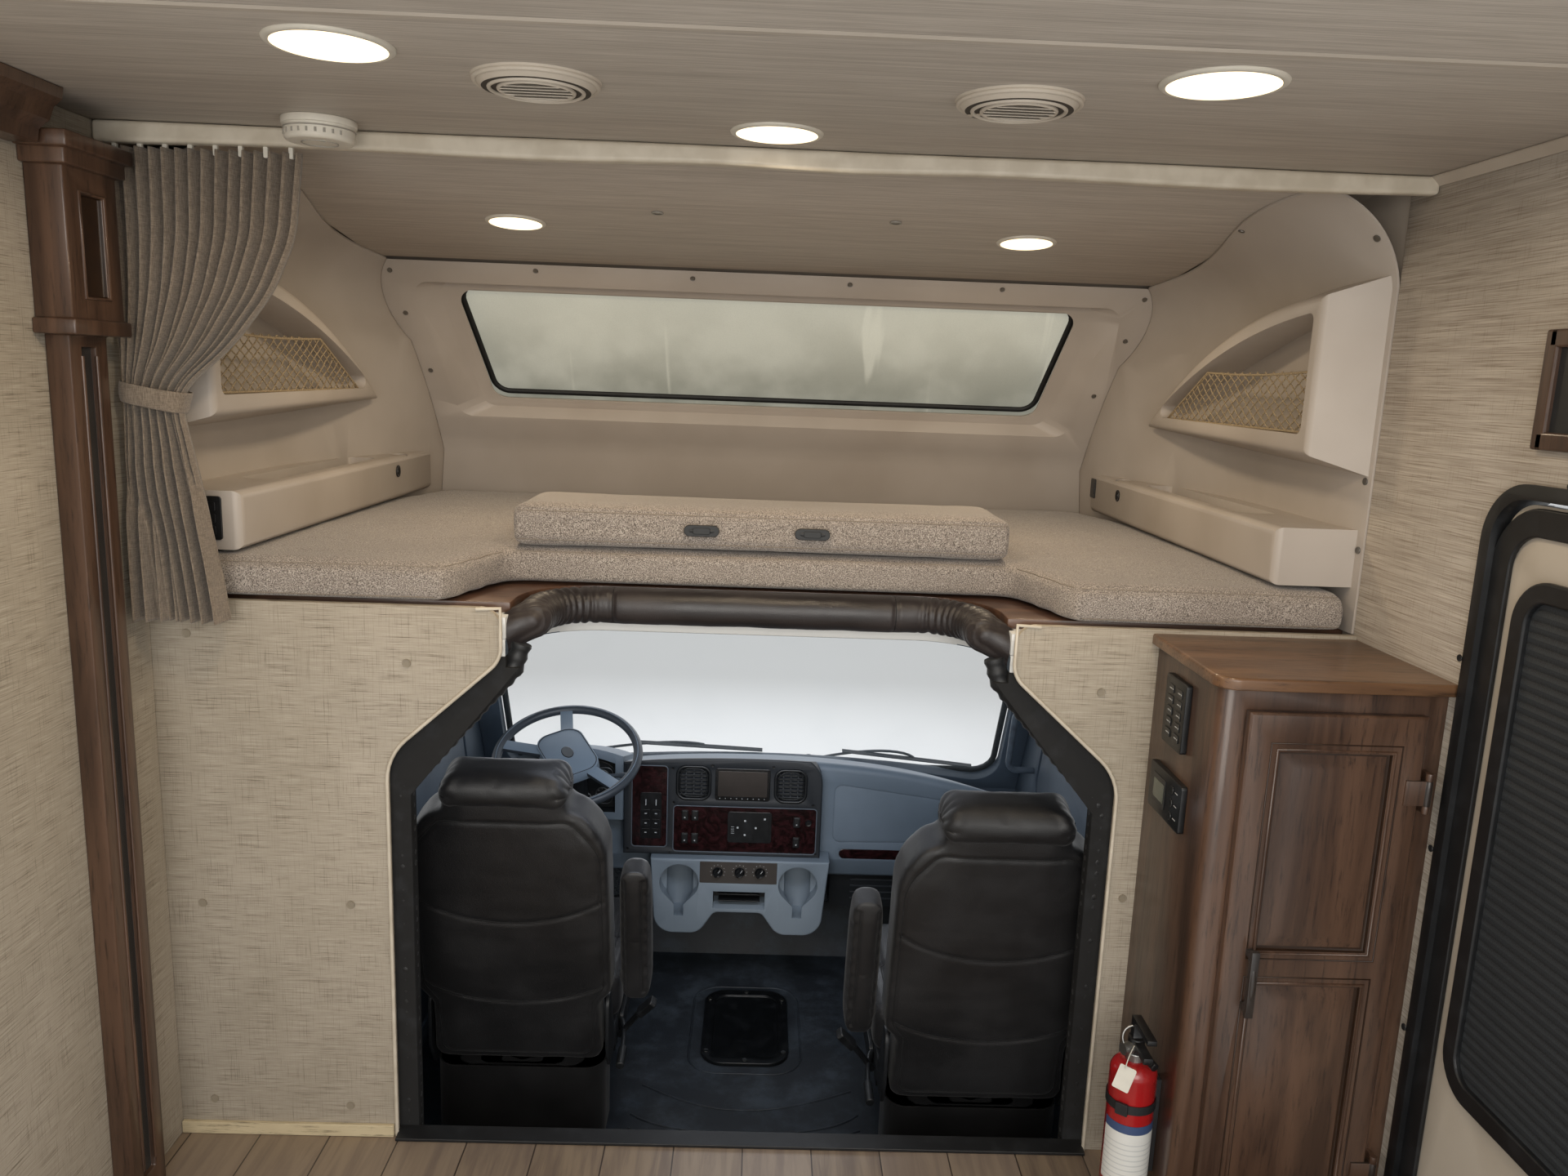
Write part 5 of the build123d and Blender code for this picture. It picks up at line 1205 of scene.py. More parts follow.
# Bunk: mattress, filler, padded roll and curtain
def build_bunk():
    cloth = heather_cloth()
    top_z, mid_z = 1.884, 1.822
    mattress = stuff(lone_copy("bunk_mattress"), 0.023, 0.004, 0.007, 3.0)
    for vertex in mattress.data.vertices:
        x, y, z = vertex.co
        if z > top_z - 0.004:
            ripple = noise.noise((x * 5, y * 26, 1.0)) + 0.6 * noise.noise((x * 16, y * 9, 4.0))
            vertex.co.z += 0.0016 * ripple - 0.001
    threads = []
    for sign in SIDES.values():
        for z, depth, reach in ((top_z, 0.003, 0.016), (mid_z, 0.002, 0.012)):
            line = [(sign * 0.655, 0, z), (sign * 1.195, 0, z)]
            threads.append(sew(mattress, line, (0, 1, 0), depth, reach))
        side_line = [(sign * 0.60, 0.01, top_z), (sign * 0.535, 0.235, top_z)]
        threads.append(sew(mattress, side_line, (sign, 0.28, 0), 0.003, 0.016))
    notch_line = [(-0.545, 0.252, top_z), (0.545, 0.252, top_z)]
    threads.append(sew(mattress, notch_line, (0, 1, 0), 0.003, 0.016))
    keep(mattress, "mattress_pad", cloth, stands_for=("bunk_mattress",))

    filler = stuff(lone_copy("filler_cushion"), 0.0123, 0.003, 0.007, 3.5)
    for z in (1.910, 1.976):
        threads.append(sew(filler, [(-0.55, 0.245, z), (0.55, 0.245, z)], (0, 1, 0), 0.003, 0.011))
    keep(filler, "filler_pad", cloth, stands_for=("filler_cushion",))
    keep(threads, "mattress_threads", plain("#8a7d6e", 0.9))
    pulls = []
    for x, z in ((-0.135, 1.944), (0.110, 1.944)):
        pull = [pad((0, 0), 0.039, 0.0125, -0.006, 0.008, 0.012, 0.0015)]
        pull.append(pad((0, 0), 0.019, 0.007, -0.0085, 0.004, 0.0035, 0.001))
        bow = [(-0.030, -0.006, 0), (-0.022, -0.0125, 0), (0.022, -0.0125, 0), (0.030, -0.006, 0)]
        strap = bent(bow, 0.005)
        strap.scale = (1, 0.5, 1)
        pull.append(settle(strap))
        pulls.append(move(join(pull), stand((x, 0.2475, z))))
    keep(pulls, "filler_pulls", black_plastic("#131415", 0.5))
    build_roll()
    build_curtain()


def build_roll():
    """The padded hide roll round the notch, gathered where it bends and sewn across."""
    roll = lone_copy("doorway_roll")
    modify(roll, "REMESH", mode="VOXEL", voxel_size=0.006)
    leg_x, leg_z, leg_end, dome = 0.470, 1.772, 0.082, 0.056
    turn = [
        (0.468, 0.130, 1.772), (0.471, 0.085, 1.770), (0.494, 0.066, 1.762), (0.532, 0.063, 1.742),
        (0.562, 0.063, 1.712),
    ]
    for vertex in roll.data.vertices:
        x, y, z = vertex.co
        if abs(x) > 0.40 and y < leg_end:
            middle = leg_x if x > 0 else -leg_x
            narrow = max(0.0, 1.0 - ((leg_end - y) / dome) ** 2) ** 0.5
            vertex.co = middle + (x - middle) * narrow, y, leg_z + (z - leg_z) * narrow
    ends = []
    for sign in SIDES.values():
        ends.append(wire(spread([(sign * x, y, z) for x, y, z in turn], 0.01), 0.0435, resolution=6))
    roll = join([roll] + ends)
    modify(roll, "REMESH", mode="VOXEL", voxel_size=0.0078)
    modify(roll, "DISPLACE", strength=-0.003, mid_level=0.0)
    puff(roll, 0.005, 3.0)
    modify(roll, "SMOOTH", factor=0.5, iterations=2)
    modify(roll, "SUBSURF", levels=1, render_levels=1)

    def gathers(place):
        x, y, z = place
        angle = atan2(y - 0.12, max(abs(x) - 0.35, 0.0001))
        bend = min(1.0, max(0.0, (abs(x) - 0.30) / 0.08))
        run = angle if y > 0.05 else y * 6
        crease = (0.5 + 0.5 * sin(run * 34 + 2.2 * noise.noise((run * 3, z * 12, 2.0)))) ** 2
        slack = noise.noise((x * 16, y * 16, z * 7))
        return 0.0042 * bend * crease + 0.0022 * abs(slack)

    sink(roll, gathers)
    shade_round(roll)
    threads = []
    turns = [pi * (0.62 + 0.76 * i / 24) for i in range(25)]
    for x in (-0.325, 0.30):
        ring_line = [(x, 0.24 + 0.05 * cos(a), leg_z + 0.05 * sin(a)) for a in turns]
        threads.append(sew(roll, ring_line, (0, 1, -0.15), 0.004, 0.011))
    hide = leather("#231e1e", "#322b2a", 0.36)
    keep(roll, "padded_roll", hide, stands_for=("doorway_roll",))
    keep(threads, "roll_threads", black_plastic("#14100f", 0.8))


CURTAIN_TOP_Z = 2.6497
CURTAIN_Y = -0.062
PLEATS, FOLDS = 15, 7  # waves over the width: narrow ones at the head, broad ones at the foot
CURTAIN_EDGES = (
    # z, left edge, right edge
    (2.650, -1.2125, -0.853), (2.500, -1.210, -0.872), (2.400, -1.208, -0.918), (2.300, -1.206, -0.998),
    (2.225, -1.203, -1.088), (2.185, -1.202, -1.098), (2.120, -1.206, -1.084), (2.000, -1.211, -1.064),
    (1.880, -1.2135, -1.046), (1.790, -1.2135, -1.036), (1.778, -1.2135, -1.036),
)


def build_curtain():
    """The tied-back curtain: one sheet of constant width, laid in folds whose depth makes up that width."""
    rows, columns = 84, 216
    cut_wide, cut_long = 1.12, 0.905

    def straight(z):
        z = min(z, CURTAIN_EDGES[0][0])
        for above, below in zip(CURTAIN_EDGES, CURTAIN_EDGES[1:]):
            if z >= below[0]:
                share = (z - below[0]) / (above[0] - below[0])
                return [low + (high - low) * share for low, high in zip(below[1:], above[1:])]
        return CURTAIN_EDGES[-1][1:]

    def edges(z):
        near = [straight(z + step * 0.012) for step in (-2, -1, 0, 1, 2)]
        return sum(left for left, right in near) / 5, sum(right for left, right in near) / 5

    def folds(s, z):
        """Depth of the folds at a share of the width: pleats at the head, broad folds at the foot."""
        head = min(1.0, max(0.0, (z - 2.25) / 0.35))
        foot = min(1.0, max(0.0, (2.16 - z) / 0.22))
        warp = s + 0.012 * noise.noise((s * 7, z * 1.5, 3.0))
        pleats = sin(2 * pi * PLEATS * warp)
        tied = pleats * 0.8 + 0.35 * sin(2 * pi * FOLDS * warp + 1.0)
        broad = 0.75 * sin(2 * pi * FOLDS * warp + 0.6) + 0.4 * sin(2 * pi * PLEATS * warp + z * 5)
        middle = 1.0 - max(head, foot)
        return head * pleats + foot * broad + middle * tied

    sheet = fresh(bpy.ops.mesh.primitive_grid_add, x_subdivisions=columns, y_subdivisions=rows, size=1)
    lines = []
    for row in range(rows + 1):
        z = CURTAIN_TOP_Z - 0.001 - row / rows * (CURTAIN_TOP_Z - 0.001 - 1.777)
        left, right = edges(z)
        waves = [folds(i / columns, z) for i in range(columns + 1)]
        reach = max(abs(wave) for wave in waves)
        low, high = 0.0, 0.036 / reach
        for _ in range(24):
            deep = (low + high) / 2
            steps = [(after - before) * deep for before, after in zip(waves, waves[1:])]
            run = sum(hypot((right - left) / columns, step) for step in steps)
            low, high = (deep, high) if run < cut_wide else (low, deep)
        lines.append((z, left, right, [wave * deep for wave in waves]))
    for vertex in sheet.data.vertices:
        column = round((vertex.co.x + 0.5) * columns)
        row = round((0.5 - vertex.co.y) * rows)
        z, left, right, waves = lines[row]
        s = column / columns
        hem = 0.006 * noise.noise((s * 6, 0, 8.0)) if row > rows - 8 else 0.0
        lean = 0.012 * s * max(0.0, (2.2 - z)) * 2
        height = max(1.7765, z + hem * (row - rows + 8) / 8 - lean)
        vertex.co = (left + (right - left) * s, CURTAIN_Y + waves[column], height)
    modify(sheet, "SMOOTH", factor=0.4, iterations=2)
    modify(sheet, "SOLIDIFY", thickness=0.0012, offset=0.0)
    shade_round(sheet)
    keep(sheet, "curtain_sheet", curtain_cloth(), stands_for=("bunk_curtain",))

    band, steps = [], 48
    for high in (2.223, 2.216, 2.204, 2.192, 2.185):
        left, right = edges(high)
        swell = 0.0025 * sin((high - 2.185) / 0.038 * pi)
        middle_x, half_x, half_y = (left + right) / 2, (right - left) / 2 + 0.002 + swell, 0.0365 + swell
        ring_line = []
        for i in range(steps):
            a = 2 * pi * i / steps
            u = abs(cos(a)) ** 0.7 * (1 if cos(a) > 0 else -1)
            v = abs(sin(a)) ** 0.7 * (1 if sin(a) > 0 else -1)
            ring_line.append(Vector((middle_x + half_x * u, CURTAIN_Y + half_y * v, high - 0.010 * u)))
        band.append(ring_line)
    tie = slice_up(open_tube(steps), 2, (-0.25, 0.0, 0.25))
    for vertex in tie.data.vertices:
        level = 4 - round((vertex.co.z + 0.5) * 4)
        step = round(atan2(vertex.co.y, vertex.co.x) / (2 * pi / steps)) % steps
        vertex.co = band[level][step]
    modify(tie, "SOLIDIFY", thickness=0.002, offset=-1.0)
    modify(tie, "SUBSURF", levels=1, render_levels=1)
    smooth(tie, 60)
    keep(tie, "curtain_tie", curtain_cloth())
    places = [stand((-1.19 + 0.045 * i, CURTAIN_Y, 2.648)) for i in range(8)]
    keep(
        stamp(pad((0, 0), 0.004, 0.010, -0.004, 0.008, 0.002), places), "curtain_gliders", plain("#d9d4c8")
    )


# Ceiling, its fittings and the curtain's rail
def build_ceiling():
    rail = cube((-WALL_FACE, WALL_FACE), (-0.081, -0.050), (2.6555, CEILING_FACE))
    slice_up(rail, 0, [-1.2 + 0.04 * i for i in range(61)])
    slice_up(rail, 2, [2.664, 2.681])
    for vertex in rail.data.vertices:
        x, y, z = vertex.co
        drop = 0.5 + 0.5 * sin(x * 9.5 + 0.8 * sin(x * 4))
        if z < 2.683:
            vertex.co.z -= 0.0045 * drop - 0.0015
        vertex.co.y += 0.0035 * sin(x * 7.3) if y < -0.07 else 0.0
    bevel(rail, 0.007, 4, 50)
    smooth(rail, 50)
    keep(rail, "ceiling_track", edge_band(), stands_for=("curtain_rail",))

    recast("ceiling_lamps", lamp_lens(), 0.001)
    rims = []
    for x, y, r in ((0.0, -0.206, 0.070), (-0.590, -0.635, 0.074), (0.590, -0.635, 0.074)):
        rims.append(rim(r))
        move(rims[-1], facing((x, y, CEILING_FACE), (0, 0, -1), (0, 1, 0)))
    normal = Vector((0, -BUNK_CEILING_DROP, -1)).normalized()

    def on_slope(x, y):
        return Vector((x, y, BUNK_CEILING_Z - BUNK_CEILING_DROP * y))

    for x in (-0.610, 0.610):
        place = facing(on_slope(x, 0.578) + normal * 0.0005, normal, (0, 1, 0))
        rims.append(move(rim(0.062), place))
    keep(rims, "lamp_rims", plain("#d9d2c4", 0.4))

    vents = recast("ceiling_vents", moulded_plastic("#c9bfb1", "#bdb2a4"), 0.001)
    dark = black_plastic("#3a342e", 0.7)
    vent_x, vent_y, mouth, pitch = 0.349, -0.491, 0.052, 0.017
    for x in (-vent_x, vent_x):
        paint(vents, dark, lambda c, n: hypot(c.x - x, c.y - vent_y) < mouth)
    rings = []
    for x in (-vent_x, vent_x):
        for radius, thick, z in ((0.088, 0.0035, 2.6845), (0.067, 0.003, 2.6755), (0.0535, 0.003, 2.6750)):
            rings.append(ring((x, vent_y, z), (0, 0, 1), radius, thick, 56))
        for step in (-2, -1, 0, 1, 2):
            half = sqrt(mouth ** 2 - (step * pitch) ** 2)
            slat = plate((x - half, x + half), (-0.0045, 0.0045), -0.0006, 0.0012, 0.001, 0.0002)
            tilt = Matrix.Rotation(radians(-50), 4, "X")
            rings.append(move(slat, Matrix.Translation((0, step * pitch + vent_y, 2.6745)) @ tilt))
    keep(rings, "vent_rings", moulded_plastic("#c9bfb1", "#bdb2a4"))

    recast("smoke_detector", plain("#ddd6c8"), 0.0015)
    middle_x, middle_y = -0.790, -0.150
    made = [
        ring((middle_x, middle_y, 2.6725), (0, 0, 1), 0.0585, 0.0012, 56),
        ring((middle_x, middle_y, 2.6515), (0, 0, 1), 0.030, 0.0012, 40),
    ]
    for step in range(10):
        turn = radians(200 + step * 14)
        x, y = middle_x + 0.0575 * cos(turn), middle_y + 0.0575 * sin(turn)
        made.append(rod((x, y, 2.661), (x, y, 2.668), 0.0022, 8))
    keep(made, "detector_slots", plain("#9b958a"))
    button = move(bolt(0.006, 0.002), facing((-0.775, -0.175, 2.6522), (0, 0, -1), (0, 1, 0)))
    keep(button, "detector_button", plain("#b8b2a6"))

    places = [facing(on_slope(x, 0.433), normal, (0, 1, 0)) for x in (-0.261, 0.278)]
    keep(stamp(bolt(0.014, 0.004, 28), places), "ceiling_snaps", plain("#8f8a82", 0.35))
    y = -0.776
    section = [(y - 0.011, 2.6897), (y - 0.005, 2.6868), (y + 0.005, 2.6868), (y + 0.011, 2.6897)]
    batten = slab([(-1.219, y, z) for y, z in section], (2.438, 0, 0), 0.001)
    keep(batten, "ceiling_batten", moulded_plastic("#beb4a8", "#b1a79b"))
    section = [
        (WALL_FACE, CEILING_FACE), (WALL_FACE, 2.672), (1.2165, 2.672), (1.202, 2.6865),
        (1.202, CEILING_FACE),
    ]
    corner = slab([(x, CUT_FACE, z) for x, z in section], (0, 1.094, 0), 0.0008)
    keep(corner, "right_cove", moulded_plastic("#b9aea0", "#ab9f91"))


def rim(radius):
    """A lamp's trim ring round a lens of this radius, facing the rear."""
    obj = ring((0, 0, 0), (0, 1, 0), radius + 0.002, 0.0075, 64)
    obj.scale = (1, 0.62, 1)
    return smooth(settle(obj), 60)


# Furniture: wall post, cabinet, panels and extinguisher
def build_furniture():
    wood = varnished_wood()
    groove_dark = groove_dark_finish()
    bronze = painted_metal("#2b2420", 0.35)
    post = recast("wall_post", wood, 0.003)
    # The recessed faces of the post's top block get the dark groove colour
    paint(post, groove_dark, lambda c, n: 2.37 < c.z < 2.545 and -0.245 < c.y < -0.17 and c.x < -1.16)
    flute = cube((-1.1908, -1.1880), (-0.2275, -0.1865), (0.6805, 2.2895))
    keep(flute, "post_flute", leather("#1d1a18", "#292421", 0.5))
    beads = []
    for y in (-0.2285, -0.1855):
        beads.append(wire([(-1.1785, y, 0.70), (-1.1785, y, 2.275)], 0.0035, resolution=2))
    block = [(-0.243, 2.372), (-0.171, 2.372), (-0.171, 2.543), (-0.243, 2.543)]
    beads.append(wire([(-1.1562, y, z) for y, z in block], 0.0035, True, resolution=2))
    keep(beads, "post_beads", wood)
    profile = [
        (-WALL_FACE, CEILING_FACE), (-1.125, CEILING_FACE), (-1.128, 2.672), (-1.142, 2.660),
        (-1.150, 2.640), (-1.168, 2.626), (-1.172, 2.606), (-WALL_FACE, 2.606),
    ]
    cornice = slab([(x, -1.0795, z) for x, z in profile], (0, 0.765, 0), 0.0015)
    keep(cornice, "left_cornice", wood)

    recast("cabinet_case", wood, 0.002)
    recast("cabinet_top", varnished_wood("#5f442f", "x", "#7a5a40"), 0.003, 3)
    door = recast("cabinet_door", wood, 0.0025)
    # The door's recess walls and recess floor round its raised panels get the dark groove colour
    paint(door, groove_dark, lambda c, n: -0.3432 < c.y < -0.3338 and abs(n.y) < 0.5 and 0.91 < c.x < 1.13)
    paint(door, groove_dark, lambda c, n: -0.3345 < c.y < -0.3335 and n.y < -0.9 and 0.91 < c.x < 1.13)
    paint(door, bronze, lambda c, n: c.y < -0.344 and abs(c.x - 0.908) < 0.012)
    paint(door, bronze, lambda c, n: c.x > 1.181)
    beads, rails = [], []
    for foot, head in ((0.778, 1.222), (1.290, 1.668)):
        for grow, radius, y in ((0.0045, 0.0035, -0.3428), (0.016, 0.0018, -0.3432)):
            near, far, low, high = 0.920 - grow, 1.122 + grow, foot - grow, head + grow
            line = [(near, y, low), (far, y, low), (far, y, high), (near, y, high)]
            bead = wire(spread(line, 0.2, True)[:-1], radius, True, resolution=2)
            (beads if grow < 0.01 else rails).append(bead)
    body = BODY_OF["cabinet_door"]
    keep(beads, "door_beads", wood, body)
    # Thin dark lines round the raised panels, in the dark groove colour
    keep(rails, "door_groove_lines", groove_dark, body)
    pull = [(-0.343, 1.184), (-0.368, 1.190), (-0.372, 1.236), (-0.368, 1.282), (-0.343, 1.288)]
    keep(bent([(0.908, y, z) for y, z in pull], 0.0062), "door_pull", bronze, body)
    build_panels()
    build_extinguisher()


def build_panels():
    """Black switch panel above a small meter, both on the cabinet's doorway side."""
    recast("control_panels", black_plastic("#121315", 0.35), 0.001)
    case_side = 0.8028
    switches = stand((case_side, -0.1425, 1.675), right=(0, -1, 0))
    meter = stand((case_side, -0.1365, 1.505), right=(0, -1, 0))
    keys, marks = [], []
    for column in (-0.022, 0.022):
        for row in range(5):
            z = 0.044 - row * 0.022
            keys.append(move(pad((column, z), 0.014, 0.008, -0.0012, 0.0014, 0.003), switches))
            marks.append(move(pad((column, z), 0.006, 0.0008, -0.0015, 0.0004, 0.0006, 0), switches))
            lamp = Matrix.Translation((column + 0.0105, -0.0012, z))
            marks.append(move(bolt(0.0016, 0.0004, 10), switches @ lamp))
    keys.append(move(plate((-0.062, 0.006), (-0.030, 0.030), -0.0012, 0.0014, 0.003), meter))
    for row in range(3):
        z = 0.026 - row * 0.026
        keys.append(move(bolt(0.0085, 0.0022, 20), meter @ Matrix.Translation((0.040, -0.0002, z))))
        mark = plate((0.054, 0.068), (z - 0.0008, z + 0.0008), -0.0004, 0.0004, 0.0006, 0)
        marks.append(move(mark, meter))
    keep(keys, "panel_keys", black_plastic("#1d1f21", 0.3))
    screen = move(plate((-0.055, -0.001), (-0.019, 0.019), -0.0016, 0.0006, 0.002), meter)
    keep(screen, "meter_screen", display_glass("#5b6258"))
    keep(marks, "panel_marks", plain("#c9cccd"))

    frame_bars = []
    for y, z in (
        ((-0.600, -0.460), (2.372, 2.400)), ((-0.600, -0.460), (2.215, 2.243)),
        ((-0.478, -0.450), (2.215, 2.400)), ((-0.620, -0.592), (2.215, 2.400)),
    ):
        frame_bars.append(bevel(cube((1.2035, 1.2197), y, z), 0.004, 3))
    keep(frame_bars, "thermostat_frame", varnished_wood())
    face = cube((1.2125, WALL_FACE), (-0.594, -0.476), (2.241, 2.374))
    keep(face, "thermostat_face", black_plastic("#1a1b1d", 0.4))


def build_extinguisher():
    x, y, radius = 0.761, -0.235, 0.0457
    body = recast("fire_extinguisher", coloured_paint("#a81a1c"), 0.001)
    dark = black_plastic("#141416", 0.35)
    paint(body, dark, lambda c, n: c.z > 1.003)
    paint(body, painted_metal("#2a2a2c"), lambda c, n: c.x > 0.8065)
    paper = fresh(bpy.ops.mesh.primitive_grid_add, x_subdivisions=24, y_subdivisions=8, size=1)
    for vertex in paper.data.vertices:
        turn = radians(-100) + vertex.co.x * radians(150)
        vertex.co = (x + radius * cos(turn), y + radius * sin(turn), 0.805 + vertex.co.y * 0.15)
    modify(paper, "SOLIDIFY", thickness=0.0006, offset=0.0)
    smooth(paper, 60)
    keep(paper, "bottle_label", label_paper())
    strap_z = 0.915
    strap = open_tube(64, 0.0462, 0.018, (x, y, strap_z))
    modify(settle(strap), "SOLIDIFY", thickness=0.0016, offset=1.0)
    buckle = pad((0, 0), 0.012, 0.012, -0.004, 0.006, 0.002)
    move(buckle, facing((x - 0.030, y - 0.0385, strap_z), (-0.6, -0.8, 0)))
    keep([smooth(strap, 50), buckle], "bottle_strap", black_plastic("#1b1c1e", 0.5))
    collar = [rod((x, y, 0.996), (x, y, 1.016), 0.019, 32), rod((x, y, 1.016), (x, y, 1.030), 0.014, 32)]
    for item in collar:
        bevel(item, 0.002, 2)
    collar.append(rod((x - 0.012, y - 0.006, 1.026), (x - 0.030, y - 0.012, 1.026), 0.012, 24))
    lever = [(-0.008, 0.004, 1.066), (-0.03, 0.006, 1.062), (-0.036, -0.004, 1.035), (-0.02, -0.02, 1.03)]
    collar.append(bent([(x + u, y + v, z) for u, v, z in lever], 0.0022))
    keep(collar, "bottle_valve", bright_metal("#a7a6a2", 0.35))
    nozzle = rod((x + 0.008, y - 0.018, 1.018), (x + 0.022, y - 0.052, 1.012), 0.0085, 20)
    keep(bevel(nozzle, 0.0015), "bottle_nozzle", dark)
    tag = plate((-0.016, 0.016), (-0.024, 0.024), 0, 0.0008, 0.003, 0)
    move(tag, facing((x - 0.034, y - 0.046, 0.985), (-0.35, -0.9, 0.2), (0.35, 0.1, 1)))
    keep(tag, "bottle_tag", plain("#dcd8cc", 0.8))
    tie = [(x - 0.006, y - 0.012, 1.036), (x - 0.026, y - 0.036, 1.028), (x - 0.034, y - 0.0465, 1.006)]
    keep(bent(tie, 0.0011), "tag_tie", plain("#c9c5ba", 0.7))


# Cab: floor, dash, wheel and doors
def build_cab():
    recast("cab_floor_mat", ribbed_rubber(), 0.002)
    recast("floor_cover", black_plastic("#0e1012", 0.35), 0.002)
    studs = [(0.116, 0.845), (0.116, 1.133), (-0.116, 0.845), (-0.116, 1.133), (0.0, 0.802), (0.0, 1.176)]
    places = [facing((x, y, 0.2922), (0, 0, 1), (0, 1, 0)) for x, y in studs]
    keep(stamp(bolt(0.0075, 0.003), places), "cover_screws", bright_metal())
    mat_top = 0.2805
    ribs = [
        [(-0.289, 0.690), (-0.15, 0.60), (-0.010, 0.572), (0.15, 0.60), (0.306, 0.680)],
        [(-0.308, 0.560), (-0.23, 0.495), (0.0, 0.485), (0.25, 0.500), (0.318, 0.575)],
        [(-0.308, 0.500), (-0.20, 0.452), (0.0, 0.445), (0.22, 0.455), (0.318, 0.510)],
    ]
    made = [
        wire([(x, y, mat_top) for x, y in line], 0.0032, smooth_line=True, resolution=2) for line in ribs
    ]
    frame_line = [(x, y, mat_top) for x, y in oblong((-0.168, 0.168), (0.752, 1.226), 0.085)]
    made.append(wire(frame_line, 0.0035, True, resolution=2))
    keep(made, "mat_ribs", ribbed_rubber())
    section = [
        (1.5165, 0.300), (1.5575, 0.455), (1.6275, 0.66), (1.612, 0.668), (1.540, 0.455), (1.500, 0.305)
    ]
    pile = slab([(-0.955, y, z) for y, z in section], (1.91, 0, 0), 0.003)
    keep(pile, "firewall_carpet", carpet())
    build_dash()
    build_wheel()
    door_trim = dash_plastic("#4a545e", "#56616c")
    for side, sign in SIDES.items():
        door = recast(f"{side}_cab_door", gelcoat("#dfdfdc"), 0.003)
        paint(door, door_trim, lambda c, n: abs(c.x) < 1.003)
        recast(f"{side}_cab_door_glass", glass("#e4eeee", 0.08), 0.0005)
        body = BODY_OF[f"{side}_cab_door"]
        bow = [(-0.07, -0.004, 0.004), (-0.06, -0.020, 0.006), (0.05, -0.020, 0.006)]
        bow.append((0.065, -0.004, 0.004))
        handle = [pad((0, 0), 0.085, 0.020, -0.006, 0.006, 0.015, 0.002), bent(bow, 0.006)]
        for item in handle:
            move(item, stand((sign * 1.0098, 0.32, 1.02), right=(0, sign, 0)))
        keep(handle, f"{side}_door_handle", black_plastic(), body)
        gasket = rounded([(0.266, 1.144), (1.305, 1.144), (1.147, 1.576), (0.266, 1.576)], [0.04] * 4)
        seal = wire([(sign * 0.9905, y, z) for y, z in gasket], 0.006, True)
        keep(seal, f"{side}_glass_seal", black_plastic("#0d0e0f", 0.7), body)
    recast("grab_handle", black_plastic("#5c6670", 0.45), 0)


def build_dash():
    grey = dash_plastic()
    dash = recast("dash_body", grey, 0.004, 3)
    dark = black_plastic("#1a1d20", 0.55)
    paint(dash, dark, lambda c, n: -0.83 < c.x < -0.425 and 0.925 < c.z < 1.125 and 1.119 < c.y < 1.17)
    paint(dash, dark, lambda c, n: 0.751 < c.x < 0.811 and 0.927 < c.z < 0.965 and c.y > 1.1905)
    paint(dash, dark, lambda c, n: 0.25 < c.x < 0.71 and c.z < 0.688)
    strip = plate((0.283, 0.725), (0.7645, 0.7965), 1.1893, 0.0035, 0.0155, 0.001)
    keep(strip, "dash_strip", burr_wood())
    vent_line = [(x, 1.1893, z) for x, z in oblong((0.7515, 0.8105), (0.9275, 0.9645), 0.012)]
    keep(wire(vent_line, 0.003, True), "end_vent_rim", dark)
    kick = []
    for index in range(4):
        z = 0.665 - index * 0.022
        kick.append(plate((0.33, 0.66), (z - 0.003, z + 0.003), 1.2488, 0.004, 0.0029, 0.001))
    keep(kick, "kick_box_ribs", black_plastic("#25292d", 0.5))
    build_hood()
    build_centre()
    build_console()


def dial(radius, x, z, face, low, high, ticks):
    """A gauge: bezel, ticks between two angles and a needle."""
    bezel = ring((x, face, z), (0, 1, 0), radius, 0.0022, 40)
    marks = []
    for index in range(ticks):
        turn = radians(low + (high - low) * index / (ticks - 1))
        inner = radius * (0.68 if index % 2 == 0 else 0.78)
        ends = [
            (x + reach * cos(turn), face - 0.0005, z + reach * sin(turn))
            for reach in (inner, radius * 0.88)
        ]
        marks.append(rod(*ends, 0.0007, 6))
    turn = radians(low + (high - low) * 0.15)
    tip = (x + radius * 0.7 * cos(turn), face - 0.001, z + radius * 0.7 * sin(turn))
    return bezel, marks, rod((x, face - 0.001, z), tip, 0.0009, 6)


def build_hood():
    """Instrument board under the arch, with gauges that carry plain ticks."""
    board_face = 1.1605
    corners = [(-0.822, 0.932), (-0.432, 0.932), (-0.432, 1.072), (-0.62, 1.098), (-0.822, 1.012)]
    outline = rounded(corners, [0.01, 0.01, 0.05, 0.06, 0.04])
    board = slab([(u, board_face, w) for u, w in outline], (0, 0.003, 0), 0.001)
    keep(board, "instrument_board", black_plastic("#15181b", 0.4))
    corners = rounded([(-0.80, 0.942), (-0.442, 0.942), (-0.442, 1.062), (-0.80, 1.03)], [0.02] * 4)
    bezels, marks, needles = [wire([(x, 1.158, z) for x, z in corners], 0.0015, True)], [], []
    large, small = 0.042, 0.021
    for radius, x, z in (
        (large, -0.70, 0.988), (large, -0.585, 0.994), (small, -0.475, 1.030), (small, -0.475, 0.972),
        (small, -0.645, 0.950), (small, -0.530, 0.955),
    ):
        bezel, ticks, needle = dial(radius, x, z, 1.1595, 215, -35, 11 if radius == large else 7)
        bezels.append(bezel)
        marks += ticks
        needles.append(needle)
    keep(bezels, "gauge_bezels", bright_metal("#74797d", 0.35))
    keep(marks, "gauge_ticks", plain("#c6c9ca"))
    keep(needles, "gauge_needles", plain("#a5512a"))


